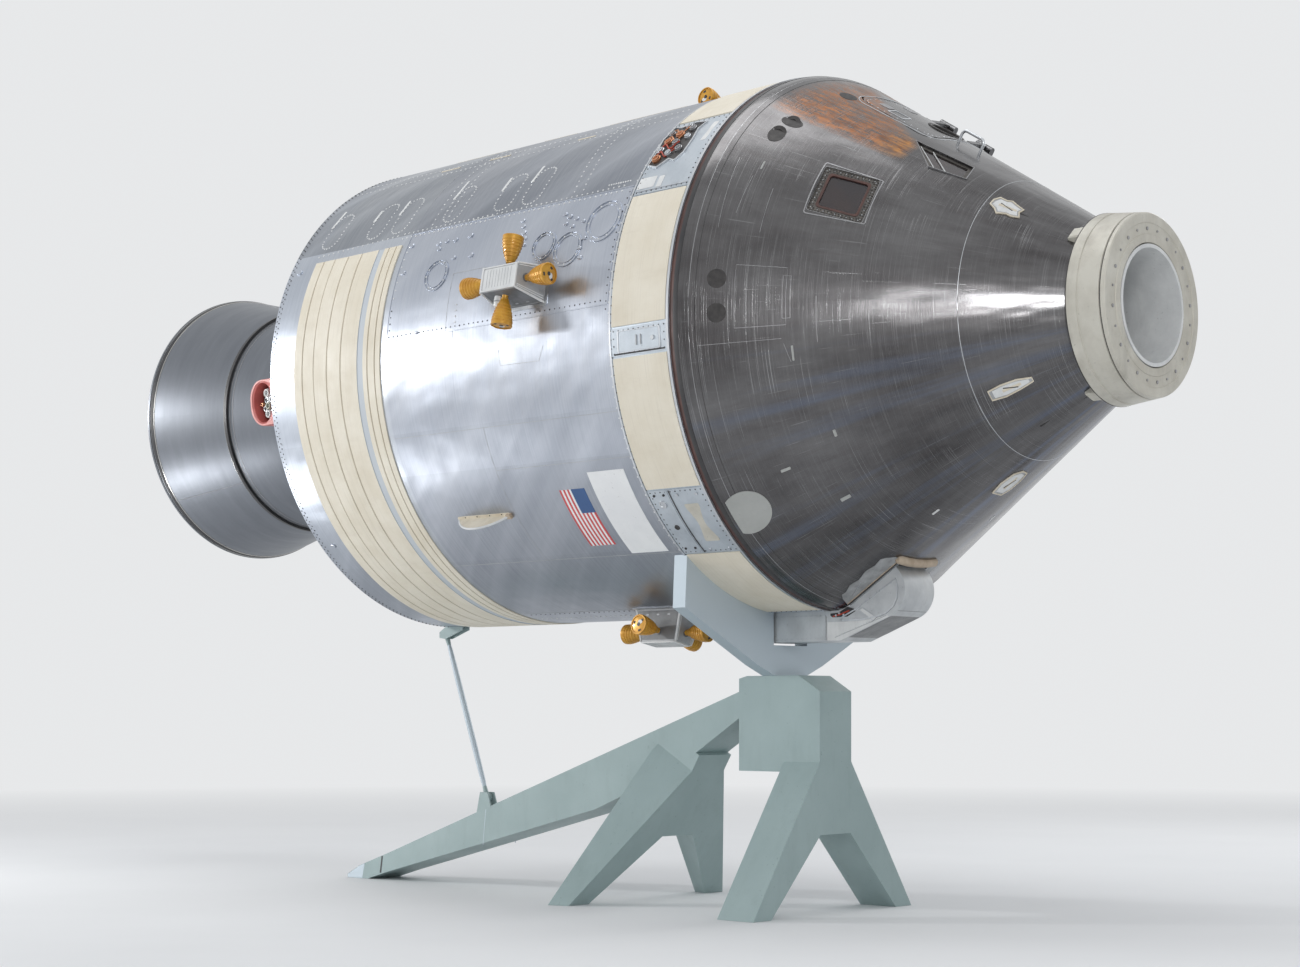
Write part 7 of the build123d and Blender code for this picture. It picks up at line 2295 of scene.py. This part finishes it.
@dataclass
class Studio:
    """Pale floor, soft lamps, plain surroundings and the camera."""

    backdrop: Colour = (0.80, 0.81, 0.82)
    # Lamps: name, place, what it faces, size, power
    lamps: tuple[tuple[str, Colour, Colour, float, float], ...] = (
        ("front", (11.2, -10.6, 6.4), (3.6, -1.0, 4.2), 2.2, 330.0),
        ("aft", (-12.7, -9.2, 6.2), (0.8, -1.9, 4.3), 1.3, 800.0),
        ("far_fill", (2.0, 14.0, 9.0), (1.0, 1.0, 4.0), 6.0, 420.0),
        ("top", (0.5, -1.5, 14.0), (0.5, 0.0, 4.2), 6.0, 300.0),
        ("low", (-7.0, -4.7, 0.45), (-4.4, -1.0, 3.6), 1.3, 70.0),
    )

    def build(self) -> None:
        """Set up the floor, the world, the lamps and the camera."""
        self.floor()
        self.world()
        for name, place, target, size, power in self.lamps:
            data = bpy.data.lights.new(name, "AREA")
            data.shape, data.size, data.energy = "SQUARE", size, power
            lamp = self.stand(name, data, place, Vector(target) - Vector(place))
            lamp.visible_camera = False
        self.camera()
        bpy.context.scene.view_settings.view_transform = "Standard"

    def stand(self, name: str, data: bpy.types.ID, place: Colour, way: Vector) -> bpy.types.Object:
        """Put a lamp or a camera at its place, facing a direction."""
        made = bpy.data.objects.new(name, data)
        bpy.context.scene.collection.objects.link(made)
        made.location = place
        made.rotation_euler = way.to_track_quat("-Z", "Y").to_euler()
        return made

    def floor(self) -> None:
        """Wide pale disc under the stand."""
        form = Form()
        disc = [(-0.05, 0.5), (-0.05, 150.0), (-0.001, 150.0), (-0.001, 30.0), (-0.001, 0.5)]
        form.turned(flat_place(Vector((0, 0, 0)), FORWARD, FAR, UP), disc, Look.WHITE, 64)
        mesh = bpy.data.meshes.new("studio_floor")
        mesh.from_pydata([tuple(p) for p in form.points], [], form.faces)
        sheet = FinishSheet("studio_floor")
        cloud = sheet.noise(sheet.place(), 0.4, 3.0)
        tone = sheet.blend(sheet.span(cloud, 0.3, 0.7), self.backdrop, (0.77, 0.78, 0.79))
        sheet.surface(Base_Color=tone, Roughness=0.75)
        # Far from the stand the floor is seen in the backdrop's own colour
        flat = sheet.node("ShaderNodeVectorMath", {0: sheet.place((1, 1, 0))}, operation="LENGTH")
        far = sheet.span(flat.outputs["Value"], 7.0, 26.0)
        rays = sheet.node("ShaderNodeLightPath", {}).outputs
        seen = sheet.calc("MAXIMUM", rays["Is Camera Ray"], rays["Is Glossy Ray"])
        seen = sheet.calc("MAXIMUM", seen, rays["Is Transmission Ray"])
        glow = sheet.node("ShaderNodeEmission", {"Color": self.backdrop, "Strength": 1.0}).outputs[0]
        mixed = sheet.node(
            "ShaderNodeMixShader",
            {0: sheet.calc("MULTIPLY", seen, far), 1: sheet.shader.outputs[0], 2: glow},
        )
        sheet.put(sheet.tree.nodes["Material Output"].inputs["Surface"], mixed.outputs[0])
        mesh.materials.append(sheet.material)
        floor = bpy.data.objects.new("studio_floor", mesh)
        bpy.context.scene.collection.objects.link(floor)

    def world(self) -> None:
        """Plain pale surroundings that metal and glass show too, with softer light for the rest."""
        world = bpy.data.worlds.new("studio")
        bpy.context.scene.world = world
        world.use_nodes = True
        tree = world.node_tree
        tree.nodes.clear()
        add, join = tree.nodes.new, tree.links.new
        path, first, second = (add("ShaderNode" + kind) for kind in ("LightPath", "Math", "Math"))
        first.operation = second.operation = "MAXIMUM"
        seen, light = add("ShaderNodeBackground"), add("ShaderNodeBackground")
        for shade, colour, strength in ((seen, self.backdrop, 1.0), (light, (0.95, 0.97, 1.0), 0.62)):
            shade.inputs["Color"].default_value = (*colour, 1.0)
            shade.inputs["Strength"].default_value = strength
        mix, out = add("ShaderNodeMixShader"), add("ShaderNodeOutputWorld")
        for source, target in (
            (path.outputs["Is Camera Ray"], first.inputs[0]),
            (path.outputs["Is Glossy Ray"], first.inputs[1]), (first.outputs[0], second.inputs[0]),
            (path.outputs["Is Transmission Ray"], second.inputs[1]), (second.outputs[0], mix.inputs[0]),
            (light.outputs[0], mix.inputs[1]), (seen.outputs[0], mix.inputs[2]),
            (mix.outputs[0], out.inputs["Surface"]),
        ):
            join(source, target)

    def camera(self) -> None:
        """Camera at the photograph's place, level, with a raised frame."""
        data = bpy.data.cameras.new("camera")
        data.sensor_width, data.lens = 36.0, 60.90
        data.shift_y = 0.1727
        data.clip_end = 500.0
        place, way = (12.252, -12.948, 1.527), Vector((-0.678, 0.735, 0.0))
        bpy.context.scene.camera = self.stand("camera", data, place, way)


def main() -> None:
    """Load the frame, dress the craft and its stand, and set up the studio."""
    logging.basicConfig(level=logging.INFO, format="%(name)s: %(message)s")
    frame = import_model()
    craft = CraftOutline()
    Studio().build()
    ServiceModule(frame, craft).build()
    Fairing(frame, craft).build()
    for name, bearing in (("near", 10.5), ("upper", 100.5), ("far", 190.5), ("lower", -79.5)):
        ThrusterQuad(craft, name, bearing).build()
    Antennas(frame, craft).build()
    AftConnector(craft).build()
    MainEngine(frame, craft).build()
    CrewModule(frame, craft).build()
    DockingEnd(frame, craft).build()
    Cabin(frame, craft).build()
    UmbilicalHousing(frame, craft).build()
    MuseumStand(frame).build()


if __name__ == "__main__":
    main()
